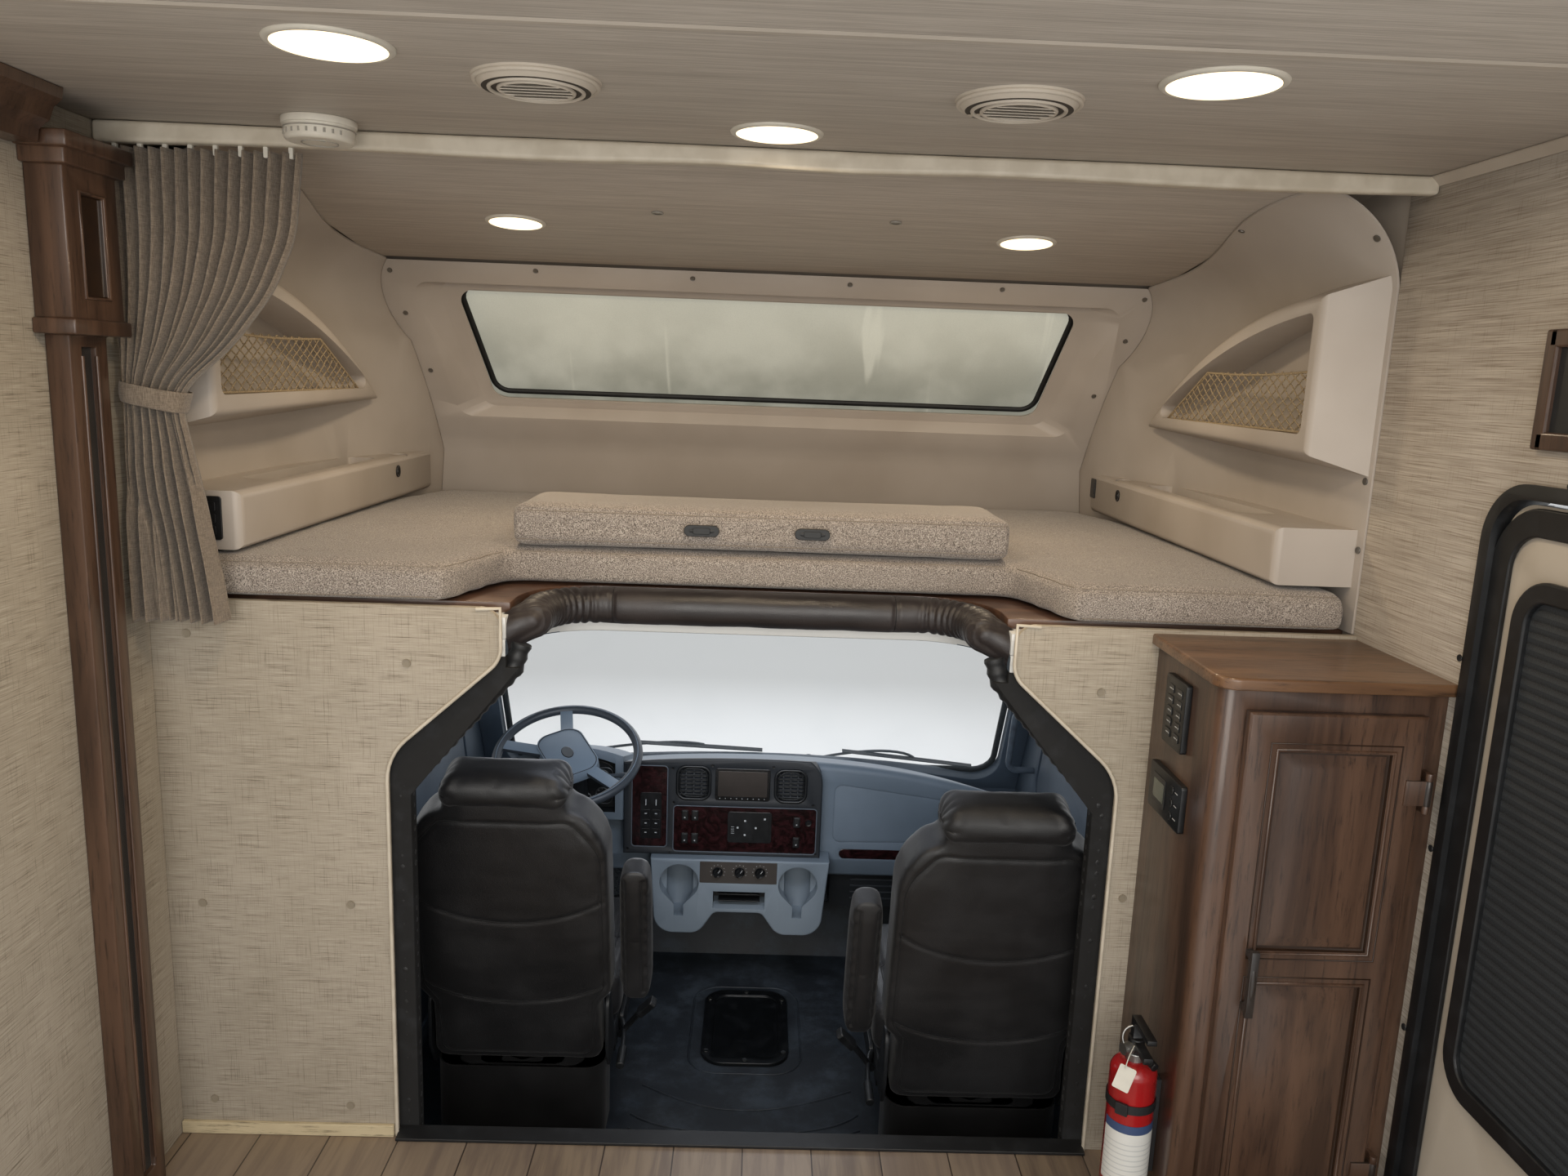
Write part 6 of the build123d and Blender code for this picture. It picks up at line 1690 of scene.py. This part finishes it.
def rocker(x, z):
    """A rocker switch on the wood panel: rim, two-faced key and a light mark."""
    rim_piece = pad((x, z), 0.0105, 0.017, 1.1368, 0.003, 0.003)
    key = pad((x, z), 0.0082, 0.0145, 1.1348, 0.003, 0.002, 0.001)
    for vertex in key.data.vertices:
        if vertex.co.z > z:
            vertex.co.y += (vertex.co.z - z) * 0.12
    mark = plate((x - 0.002, x + 0.002), (z - 0.0085, z - 0.0045), 1.1344, 0.0006, 0.0008, 0)
    return [rim_piece, key], mark


def build_centre():
    """Screen, switches and vents of the centre panel."""
    recast("dash_centre", black_plastic("#202429", 0.5), 0.002)
    black = black_plastic("#101113", 0.35)
    tiles, edges = [], []
    for x, z in (((-0.2465, 0.2015), (0.7995, 0.9485)), ((-0.3775, -0.2695), (0.8125, 1.0775))):
        tiles.append(plate(x, z, 1.1385, 0.0033, 0.0095, 0.0008))
    for x, z in (((-0.248, 0.203), (0.798, 0.950)), ((-0.379, -0.268), (0.811, 1.079))):
        edges.append(wire([(u, PANEL_FACE, w) for u, w in oblong(x, z, 0.011)], 0.0016, True))
    keep(tiles, "panel_veneer", burr_wood())
    keep(edges, "panel_edges", dash_plastic("#545c64", "#606871"))
    screen = plate((-0.119, 0.053), (0.971, 1.077), 1.1352, 0.0065, 0.008, 0.0015)
    keep(screen, "screen_case", black_plastic("#0b0c0e", 0.25))
    pane = plate((-0.110, 0.044), (0.985, 1.068), 1.1346, 0.002, 0.003)
    keep(pane, "screen_pane", display_glass("#3a3532"))
    places = [stand((-0.104 + 0.0175 * index, 1.1351, 0.9785)) for index in range(9)]
    keep(stamp(bolt(0.0013, 0.0003, 8), places), "screen_lights", plain("#cfd4d6"))
    rims, louvres = [], []
    for x0, x1, z0, z1 in ((-0.235, -0.138, 0.976, 1.078), (0.072, 0.163, 0.974, 1.074)):
        for grow, radius, y in ((0.002, 0.0052, 1.1352), (-0.006, 0.002, PANEL_FACE)):
            loop = oblong((x0 - grow, x1 + grow), (z0 - grow, z1 + grow), 0.027)
            rims.append(wire([(u, y, w) for u, w in loop], radius, True))
        louvres.append(pad(((x0 + x1) / 2, (z0 + z1) / 2), 0.005, 0.0045, 1.1356, 0.006, 0.002))
    keep(rims, "vent_bezels", black_plastic("#131517", 0.4))
    keep(louvres, "vent_tabs", black_plastic("#1c1f22", 0.4))
    parts, marks, mark_face = [], [], 1.1358
    spots = [
        (-0.212, 0.918), (-0.180, 0.918), (-0.212, 0.842), (-0.180, 0.842), (0.141, 0.903), (0.141, 0.836)
    ]
    for x, z in spots:
        solid, mark = rocker(x, z)
        parts += solid
        marks.append(mark)
    for row, z in enumerate((0.958, 0.921, 0.889, 0.858)):
        for x in (-0.335, -0.303):
            if row:
                parts.append(pad((x, z), 0.0125, 0.0125, PANEL_FACE, 0.003, 0.003))
                marks.append(pad((x, z), 0.0035, 0.0015, mark_face, 0.0006, 0.001, 0))
            else:
                marks.append(pad((x, z), 0.0012, 0.010, mark_face, 0.0006, 0.0008, 0))
    parts.append(plate((-0.352, -0.286), (0.838, 0.990), 1.1372, 0.0018, 0.005))
    parts.append(plate((-0.077, 0.062), (0.8315, 0.934), PANEL_FACE, 0.003, 0.008, 0.001))
    parts.append(bolt(0.010, 0.004, 24))
    move(parts[-1], stand((0.178, 1.1385, 0.903)))
    for x, z in ((-0.022, 0.905), (-0.045, 0.882), (0.012, 0.882), (-0.022, 0.858), (0.040, 0.912)):
        marks.append(pad((x, z), 0.003, 0.003, mark_face, 0.0006, 0.001, 0))
    for z in (0.884, 0.877, 0.870, 0.863):
        marks.append(plate((-0.066, -0.056), (z - 0.0006, z + 0.0006), mark_face, 0.0006, 0.0005, 0))
    keep(parts, "panel_switches", black)
    keep(marks, "switch_marks", plain("#c2c6c8"))
    screws = [
        (-0.391, 0.803), (-0.259, 0.793), (0.204, 0.800), (-0.248, 0.960), (0.190, 0.962), (-0.252, 1.072),
        (-0.128, 1.085), (0.062, 1.085),
    ]
    places = [stand((x, 1.1359, z)) for x, z in screws]
    keep(stamp(bolt(0.0045, 0.0016, 14), places), "panel_screws", black_plastic("#0c0d0e", 0.3))


def build_console():
    console = recast("dash_console", dash_plastic("#75818c", "#818d98"), 0.003)
    cubby = black_plastic("#0e0f11", 0.6)
    paint(console, cubby, lambda c, n: -0.116 < c.x < 0.048 and 0.622 <= c.z <= 0.68 and c.y > 1.107)
    face = 1.1035
    knob_plate = plate((-0.1595, 0.0835), (0.7085, 0.7795), face, 0.0022, 0.003, 0.0006)
    keep(knob_plate, "knob_plate", dash_plastic("#3a3532", "#45403c", 0.4))
    knobs, marks = [], []
    turned_by = Matrix.Rotation(radians(35), 4, "Y")
    for x, z in ((-0.103, 0.747), (-0.034, 0.748), (0.030, 0.748)):
        place = stand((x, face, z)) @ turned_by
        for item in (bolt(0.0165, 0.010, 32), pad((0, 0), 0.0045, 0.0155, -0.0165, 0.009, 0.003, 0.001)):
            knobs.append(move(item, place))
        marks.append(move(plate((-0.0008, 0.0008), (0.003, 0.014), -0.0170, 0.0006, 0.0005, 0), place))
        for step in range(9):
            turn = radians(210 - step * 30)
            spot = (x + 0.0225 * cos(turn), face - 0.0001, z + 0.0225 * sin(turn))
            marks.append(move(bolt(0.0011, 0.0003, 8), stand(spot)))
    keep(knobs, "heater_knobs", black_plastic("#111214", 0.35))
    keep(marks, "knob_marks", plain("#d0d2d2"))
    bars = [plate((-0.100, 0.032), (z - 0.002, z + 0.002), 1.122, 0.05, 0.001) for z in (0.640, 0.662)]
    keep(bars, "cubby_bars", black_plastic("#1b1d1f", 0.4))


def build_wheel():
    """Steering wheel with its hub pad, column and stalks."""
    lean = radians(66)
    axis = Vector((0, -cos(lean), sin(lean)))
    middle = Vector((-0.565, 1.050, 1.134))
    wheel = recast("steering_wheel", dash_plastic("#33383e", "#40464d", 0.4), 0.003)
    paint(wheel, dash_plastic("#6f7d8b", "#7b8a98", 0.45), lambda c, n: (c - middle).length < 0.15)
    body = BODY_OF["steering_wheel"]
    on_wheel = facing(middle + axis * 0.0138, axis, (0, 0, 1)) @ Matrix.Rotation(radians(59), 4, "Y")
    oval = [(0.024 * cos(2 * pi * i / 40), 0, 0.0155 * sin(2 * pi * i / 40)) for i in range(40)]
    badge = slab(oval, (0, -0.002, 0), 0.0008)
    keep(move(badge, on_wheel), "hub_badge", bright_metal("#7d838a", 0.35), body)
    badge_edge = wire([on_wheel @ Vector(point) for point in oval], 0.0018, True)
    keep(badge_edge, "hub_badge_edge", black_plastic("#14161a", 0.4), body)
    outline = [(x, -0.0005, z) for x, z in oblong((-0.098, 0.098), (-0.068, 0.068), 0.045)]
    seam = wire([on_wheel @ Vector(point) for point in outline], 0.0013, True)
    keep(seam, "hub_seam", black_plastic("#23272c", 0.5), body)
    recast("steering_column", black_plastic("#23272b", 0.5), 0.003)
    across = Vector((1, 0, 0))
    root = middle - axis * 0.085
    stalks = []
    for way, lift in ((-1, 0.010), (1, 0.008)):
        start = root + across * way * 0.040

        def along(out, back, rise):
            return start + across * way * out + Vector((0, -back, lift * rise))

        stalks.append(bent([start, along(0.07, 0.012, 1.0), along(0.125, 0.03, 2.2)], 0.0062))
        stalks.append(bevel(rod(along(0.118, 0.028, 2.1), along(0.142, 0.036, 2.5), 0.009, 16), 0.002, 2))
    keep(stalks, "column_stalks", dash_plastic("#454c54", "#525961", 0.45))


# Seats: X of the middle, Y of the back's foot and the side that carries the armrest
SEATS = {"driver": (-0.568, 0.357, 1), "passenger": (0.560, 0.232, -1)}
SEAT_LEAN = radians(12)
BACK_FOOT_Z = 0.56
SEAT_SHIFT = [b - a for a, b in zip(SEATS["driver"][:2], SEATS["passenger"][:2])] + [0.0]


def build_seats():
    """The driver's pads are made and sewn, and the passenger's are copies of them."""
    hide = leather("#121214", "#1b1b1d", 0.46)
    middle_x, foot_y = SEATS["driver"][:2]
    # The back's rear face: X across, Z up the back, -Y out of it
    place = stand((middle_x, foot_y, BACK_FOOT_Z), up=(0, -sin(SEAT_LEAN), cos(SEAT_LEAN)))
    out = place.to_3x3() @ Vector((0, 1, 0))

    def spots(line):
        return [place @ Vector((u, 0, t)) for u, t in line]

    back = stuff(lone_copy("driver_seat_back"), 0.0108, 0.004, 0.009, 4.5, 3)
    threads = []
    loop = rounded(
        [(0.188, 0.035), (0.188, 0.20), (0.218, 0.245), (0.218, 0.640), (0.150, 0.722), (-0.150, 0.722),
         (-0.218, 0.640), (-0.218, 0.245), (-0.188, 0.20), (-0.188, 0.035)],
        [0.03, 0.03, 0.03, 0.12, 0.05, 0.05, 0.12, 0.03, 0.03, 0.03],
    )
    threads.append(sew(back, spots(loop), out, 0.0028, 0.009, closed=True))
    for middle_t, end_t, half in ((0.442, 0.500, 0.216), (0.205, 0.250, 0.214)):
        arc = [(half * (i / 12 - 1), middle_t + (end_t - middle_t) * (i / 12 - 1) ** 2) for i in range(25)]
        threads.append(sew(back, spots(arc), out, 0.0030, 0.009))
    away = place.inverted()

    def creases(spot):
        local = away @ spot
        pull = max(0.0, 1.0 - abs(local.z - 0.70) / 0.10) * max(0.0, abs(local.x) - 0.10) * 10
        long_one = noise.noise((local.x * 9, local.z * 34, 1.5))
        wrinkle = long_one * 0.6 + noise.noise((local.x * 24, local.z * 20, 6.0)) * 0.4
        return 0.0012 * wrinkle + 0.0012 * pull * abs(wrinkle)

    sink(back, creases)

    head = cube((-0.150, 0.150), (-0.010, 0.126), (0.744, 0.834))
    bevel(head, 0.028, 4, 40)
    stuff(head, 0.0085, 0.003, 0.008, 5.0, 2)

    def puckers(spot):
        end = max(0.0, (abs(spot.x) - 0.105) / 0.045)
        fold = (0.5 + 0.5 * sin(atan2(spot.y - 0.058, spot.z - 0.79) * 11)) ** 2
        return 0.0045 * end * fold

    sink(head, puckers)
    for vertex in head.data.vertices:
        end = max(0.0, (abs(vertex.co.x) - 0.105) / 0.045)
        vertex.co.z -= 0.016 * end ** 2 * (1 if vertex.co.z > 0.79 else -0.4)
    move(head, place)

    cushion = stuff(lone_copy("driver_seat_cushion"), 0.0125, 0.004, 0.010, 4.5, 3)
    seat_z = 0.742
    loop = [(middle_x + u, y, seat_z) for u, y in oblong((-0.205, 0.205), (0.52, 0.93), 0.05)]
    cushion_threads = [sew(cushion, loop, (0, 0, -1), 0.006, 0.017, closed=True)]
    cross = [(-0.77, 0.70, seat_z), (-0.366, 0.70, seat_z)]
    cushion_threads.append(sew(cushion, cross, (0, 0, -1), 0.006, 0.017))

    arm = stuff(lone_copy("driver_armrest"), 0.0075, 0.003, 0.006, 4.5, 2)
    arm_threads = []
    for u in (0.2645, 0.3115):
        side_line = [place @ Vector((u, 0.02, t)) for t in (0.222, 0.548)]
        arm_threads.append(sew(arm, side_line, out, 0.003, 0.009))

    pads = {"back": back, "head": head, "cushion": cushion, "arm": arm}
    seams = {"back": join(threads), "cushion": join(cushion_threads), "arm": join(arm_threads)}

    def for_passenger(kind, obj):
        return twin(obj, "copy", SEAT_SHIFT, middle_x if kind == "arm" else None)

    sets = {"driver": (pads, seams)}
    sets["passenger"] = [
        {kind: for_passenger(kind, obj) for kind, obj in made.items()} for made in (pads, seams)
    ]
    thread_finish = black_plastic("#0b0b0c", 0.8)
    for name, (made_pads, made_seams) in sets.items():
        nodes = {"back": f"{name}_seat_back", "cushion": f"{name}_seat_cushion", "arm": f"{name}_armrest"}
        bodies = {kind: BODY_OF[node] for kind, node in nodes.items()}
        bodies["head"] = bodies["back"]
        for kind, obj in made_pads.items():
            stands_for = (nodes[kind],) if kind in nodes else ()
            keep(obj, f"{name}_{kind}_pad", hide, bodies[kind], stands_for)
        for kind, obj in made_seams.items():
            keep(obj, f"{name}_{kind}_threads", thread_finish, bodies[kind])
        build_seat_fittings(name, hide)


def build_seat_fittings(name, hide):
    """Base, hanging skirt, arm pivot, levers and belt buckle of one seat."""
    middle, foot, side = SEATS[name]
    recast(f"{name}_seat_base", black_plastic("#191b1e", 0.5), 0.003)
    rear, front, half, thick = foot + 0.006, foot + 0.127, 0.212, 0.004
    low, high, top = 0.345, 0.203, 0.548  # the skirt's hem, its height and its top
    plan = rounded([(-half, front), (-half, rear), (half, rear), (half, front)], [0, 0.05, 0.05, 0], 8)
    side_in, rear_in = half - thick, rear + thick
    corners = [(-side_in, front), (-side_in, rear_in), (side_in, rear_in), (side_in, front)]
    inner = rounded(corners, [0, 0.046, 0.046, 0], 8)
    skirt = slab([(middle + u, y, low) for u, y in [*plan, *reversed(inner)]], (0, 0, high))
    slice_up(skirt, 2, [low + high * i / 10 for i in range(1, 10)])
    for vertex in skirt.data.vertices:
        x, y, z = vertex.co
        slack = (top - z) / high
        vertex.co.y += 0.004 * slack * sin((x - middle) * 38 + 1.0) * (1 if y < rear + 0.02 else 0)
    modify(skirt, "SUBSURF", levels=1, render_levels=1, subdivision_type="SIMPLE")
    smooth(skirt, 50)
    keep(skirt, f"{name}_skirt", hide)
    inner_side = middle + side * 0.229

    def beside(out, forwards, z):
        return inner_side + side * out, foot + forwards, z

    lever = [
        beside(0, 0.20, 0.57), beside(0.018, 0.19, 0.575), beside(0.022, 0.10, 0.56),
        beside(0.022, 0.03, 0.552),
    ]
    grip = rod(beside(0.022, 0.085, 0.558), beside(0.022, 0.015, 0.550), 0.011, 20)
    made = [bent(lever, 0.006), bevel(grip, 0.004, 3)]
    side_box = pad((0, 0), 0.13, 0.028, -0.010, 0.012, 0.012, 0.003)
    made.append(move(side_box, stand((inner_side - side * 0.001, foot + 0.33, 0.556), right=(0, side, 0))))
    keep(made, f"{name}_seat_levers", black_plastic("#1a1c1e", 0.4))
    root = Vector((inner_side + side * 0.003, foot + 0.16, 0.545))
    tip = root + Vector((side * 0.055, -0.03, 0.085))
    stalk = [root, root + Vector((side * 0.020, -0.004, 0.030)), tip]
    belt = bent(stalk, 0.008)
    buckle = plate((-0.016, 0.016), (-0.002, 0.060), -0.010, 0.020, 0.007, 0.003)
    direction = (tip - stalk[1]).normalized()
    move(buckle, stand(tip, right=(0, 1, 0) if side > 0 else (0, -1, 0), up=direction))
    keep([belt, buckle], f"{name}_belt_buckle", black_plastic("#101113", 0.4))


# Entry door and the outside's trims
def build_entry_door():
    recast("entry_door_frame", black_plastic("#111214", 0.4), 0.004, 3)
    leaf = recast("entry_door", gelcoat("#e6e6e2"), 0.003)
    paint(leaf, moulded_plastic("#b9b0a3", "#aca396"), lambda c, n: n.x < -0.5)
    recast("entry_door_window", glass("#161b1d", 0.82), 0.0005)
    body = BODY_OF["entry_door"]
    black = black_plastic("#131416", 0.4)

    def band(y, z, corner, wide, x, thick, edge):
        """A frame that follows a round-cornered outline on the door's inner face."""
        outer = oblong(y, z, corner, 10)
        inner_y, inner_z = ((low + wide, high - wide) for low, high in (y, z))
        inner = oblong(inner_y, inner_z, max(0.004, corner - wide), 10)
        made = open_tube(len(outer))

        def around(index):
            spot = made.data.vertices[index].co
            return round(atan2(spot.y, spot.x) % (2 * pi), 4), spot.z

        for rank, index in enumerate(sorted(range(2 * len(outer)), key=around)):
            step, level = divmod(rank, 2)
            made.data.vertices[index].co = (x, *(outer if level else inner)[step])
        modify(made, "SOLIDIFY", thickness=thick, offset=0.0)
        return bevel(edited(made, face_outwards), edge, 3, 50)

    border = band((-0.990, -0.375), (0.366, 2.124), 0.105, 0.046, 1.2255, 0.009, 0.003)
    keep(border, "leaf_border", black, body)
    trim = band((-0.932, -0.450), (1.107, 2.013), 0.075, 0.034, 1.2235, 0.013, 0.004)
    keep(trim, "window_trim", black, body)
    shade = plate((-0.918, -0.464), (1.121, 1.999), 0, 0.003, 0.05, 0.0008)
    shade.matrix_world = stand((1.2275, 0, 0), right=(0, -1, 0)) @ Matrix.Scale(-1, 4, (1, 0, 0))
    keep(edited(settle(shade), face_outwards), "door_shade", pleated_shade(), body)
    spots = [(y, z) for z in (0.45, 0.80, 1.15, 1.50, 1.85) for y in (-0.351, -1.031)]
    spots += [(-0.55, 2.165), (-0.83, 2.165)]
    heads = [facing((1.2098, y, z), (-1, 0, 0)) for y, z in spots]
    keep(stamp(bolt(0.0065, 0.0025), heads), "frame_screws", black_plastic("#1e2022", 0.3))
    lever = [(0.0, -0.008, 0.02), (0.0, -0.030, 0.02), (0.045, -0.034, 0.018), (0.085, -0.034, 0.014)]
    inner_handle = [pad((0, 0), 0.030, 0.075, -0.008, 0.010, 0.010, 0.002), bent(lever, 0.0075)]
    bow = [(-0.045, -0.004, 0.03), (-0.040, -0.012, 0.03), (0.040, -0.012, 0.03), (0.045, -0.004, 0.03)]
    outer_handle = [pad((0, 0), 0.060, 0.080, -0.006, 0.008, 0.016, 0.002), bent(bow, 0.006)]
    outer_handle.append(move(bolt(0.013, 0.004, 24), stand((0, -0.005, -0.035))))
    for name, parts, x, way in (("inner", inner_handle, 1.2295, -1), ("outer", outer_handle, 1.2890, 1)):
        for item in parts:
            move(item, facing((x, -0.90, 1.02), (way, 0, 0)))
        keep(parts, f"{name}_handle", black, body)
    build_outside()


def build_outside():
    """Seams, corner mouldings and marker lamps of the coach body."""
    trim = plain("#c9cccd", 0.35)
    rub = black_plastic("#1d1f21", 0.5)
    made, dark = [], []
    for sign in SIDES.values():
        x = sign * 1.2670
        made.append(wire([(x, CUT_FACE, 2.700), (x, 0.010, 2.700)], 0.007, resolution=2))
        made.append(wire([(x, 0.018, 0.32), (x, 0.018, 2.69)], 0.006, resolution=2))
        end = -1.02 if sign > 0 else 0.015  # the entry door is on the right
        dark.append(wire([(x, CUT_FACE, 0.345), (x, end, 0.345)], 0.010, resolution=2))
    keep(made, "corner_mouldings", trim)
    keep(dark, "rub_rail", rub)
    nose = surface(NODES["nose_cap"])
    lamps, cups = [], []
    for x in (-0.55, -0.28, 0.0, 0.28, 0.55):
        spot, normal = nose.ray_cast(Vector((x, 2.2, 2.62)), Vector((0, -1, 0)))[:2]
        place = facing(spot - normal * 0.004, normal)
        cups.append(move(pad((0, 0), 0.055, 0.017, -0.010, 0.012, 0.015, 0.002), place))
        lamps.append(move(pad((0, 0), 0.046, 0.011, -0.020, 0.012, 0.010, 0.004), place))
    keep(cups, "marker_cups", rub)
    keep(lamps, "marker_lamps", coloured_paint("#c8741d", 0.2))


# Setting: floor, light and camera
def build_setting():
    ground = fresh(bpy.ops.mesh.primitive_plane_add, size=60, location=(0, 0, 0))
    ground.name = "studio_floor"
    f = Finish("studio_floor", 0.9)
    f.colour("#e9e9e7")
    ground.data.materials.append(f.material)

    world = bpy.data.worlds.new("studio")
    bpy.context.scene.world = world
    world.use_nodes = True
    tree = world.node_tree
    background = tree.nodes["Background"]
    background.inputs["Color"].default_value = rgb("#f4f6f8")
    rays = tree.nodes.new("ShaderNodeLightPath")
    seen = Wire(tree, rays.outputs["Is Camera Ray"]).largest(Wire(tree, rays.outputs["Is Glossy Ray"]))
    seen = seen.largest(Wire(tree, rays.outputs["Is Transmission Ray"]))
    plug(tree, background.inputs["Strength"], 0.75 + seen * 0.25)

    def area(name, place, target, size, power, tone="#ffffff"):
        light = bpy.data.lights.new(name, "AREA")
        light.shape = "RECTANGLE"
        light.size, light.size_y = size
        light.energy = power
        light.color = rgb(tone)[:3]
        obj = linked(name, light)
        obj.location = place
        obj.rotation_euler = (Vector(target) - Vector(place)).to_track_quat("-Z", "Y").to_euler()

    area("rear_light", (0, -4.2, 2.4), (0, 0, 1.5), (3.0, 2.2), 92, "#fffaf2")
    area("front_light", (0, 5.0, 3.2), (0, 0.8, 1.6), (4.0, 3.0), 95, "#f1f6ff")
    area("sky_light", (2.5, -1.0, 6.5), (0, 0, 1.5), (5.0, 5.0), 60)
    area("cab_light", (0, 0.32, 1.68), (0, 1.35, 0.85), (1.0, 0.25), 8, "#e6efff")
    for x, y in ((-0.59, -0.635), (0.59, -0.635), (0.0, -0.206), (-0.61, 0.578), (0.61, 0.578)):
        drop = CEILING_Z - 0.03 if y < 0 else CEILING_Z - BUNK_CEILING_DROP * y - 0.04
        area(f"lamp_{x:.1f}_{y:.1f}", (x, y, drop), (x, y, 0), (0.1, 0.1), 3.0, "#ffe9c8")


def build_camera():
    """The photograph's view, fitted to its lines: focal length in pixels, place and three turns."""
    focal, pitch, roll, yaw = 1380, radians(10.57), radians(2.15), radians(1.38)
    photo_wide = 1920
    ahead = Vector((sin(yaw) * cos(pitch), cos(yaw) * cos(pitch), -sin(pitch)))
    level = Vector((cos(yaw), -sin(yaw), 0))
    lift = level.cross(ahead)
    right = cos(roll) * level + sin(roll) * lift
    up = cos(roll) * lift - sin(roll) * level
    camera = bpy.data.cameras.new("photo_view")
    camera.sensor_width = 36
    camera.lens = focal / photo_wide * camera.sensor_width
    camera.clip_start = 0.05
    obj = linked("photo_view", camera)
    turn = Matrix((right, up, -ahead)).transposed().to_4x4()
    obj.matrix_world = Matrix.Translation((-0.008, -2.223, 2.283)) @ turn
    bpy.context.scene.camera = obj


build_shell()
build_liners()
build_bulkheads()
build_bunk()
build_ceiling()
build_furniture()
build_cab()
build_seats()
build_entry_door()
build_setting()
build_camera()
bpy.context.scene.view_settings.view_transform = "Standard"
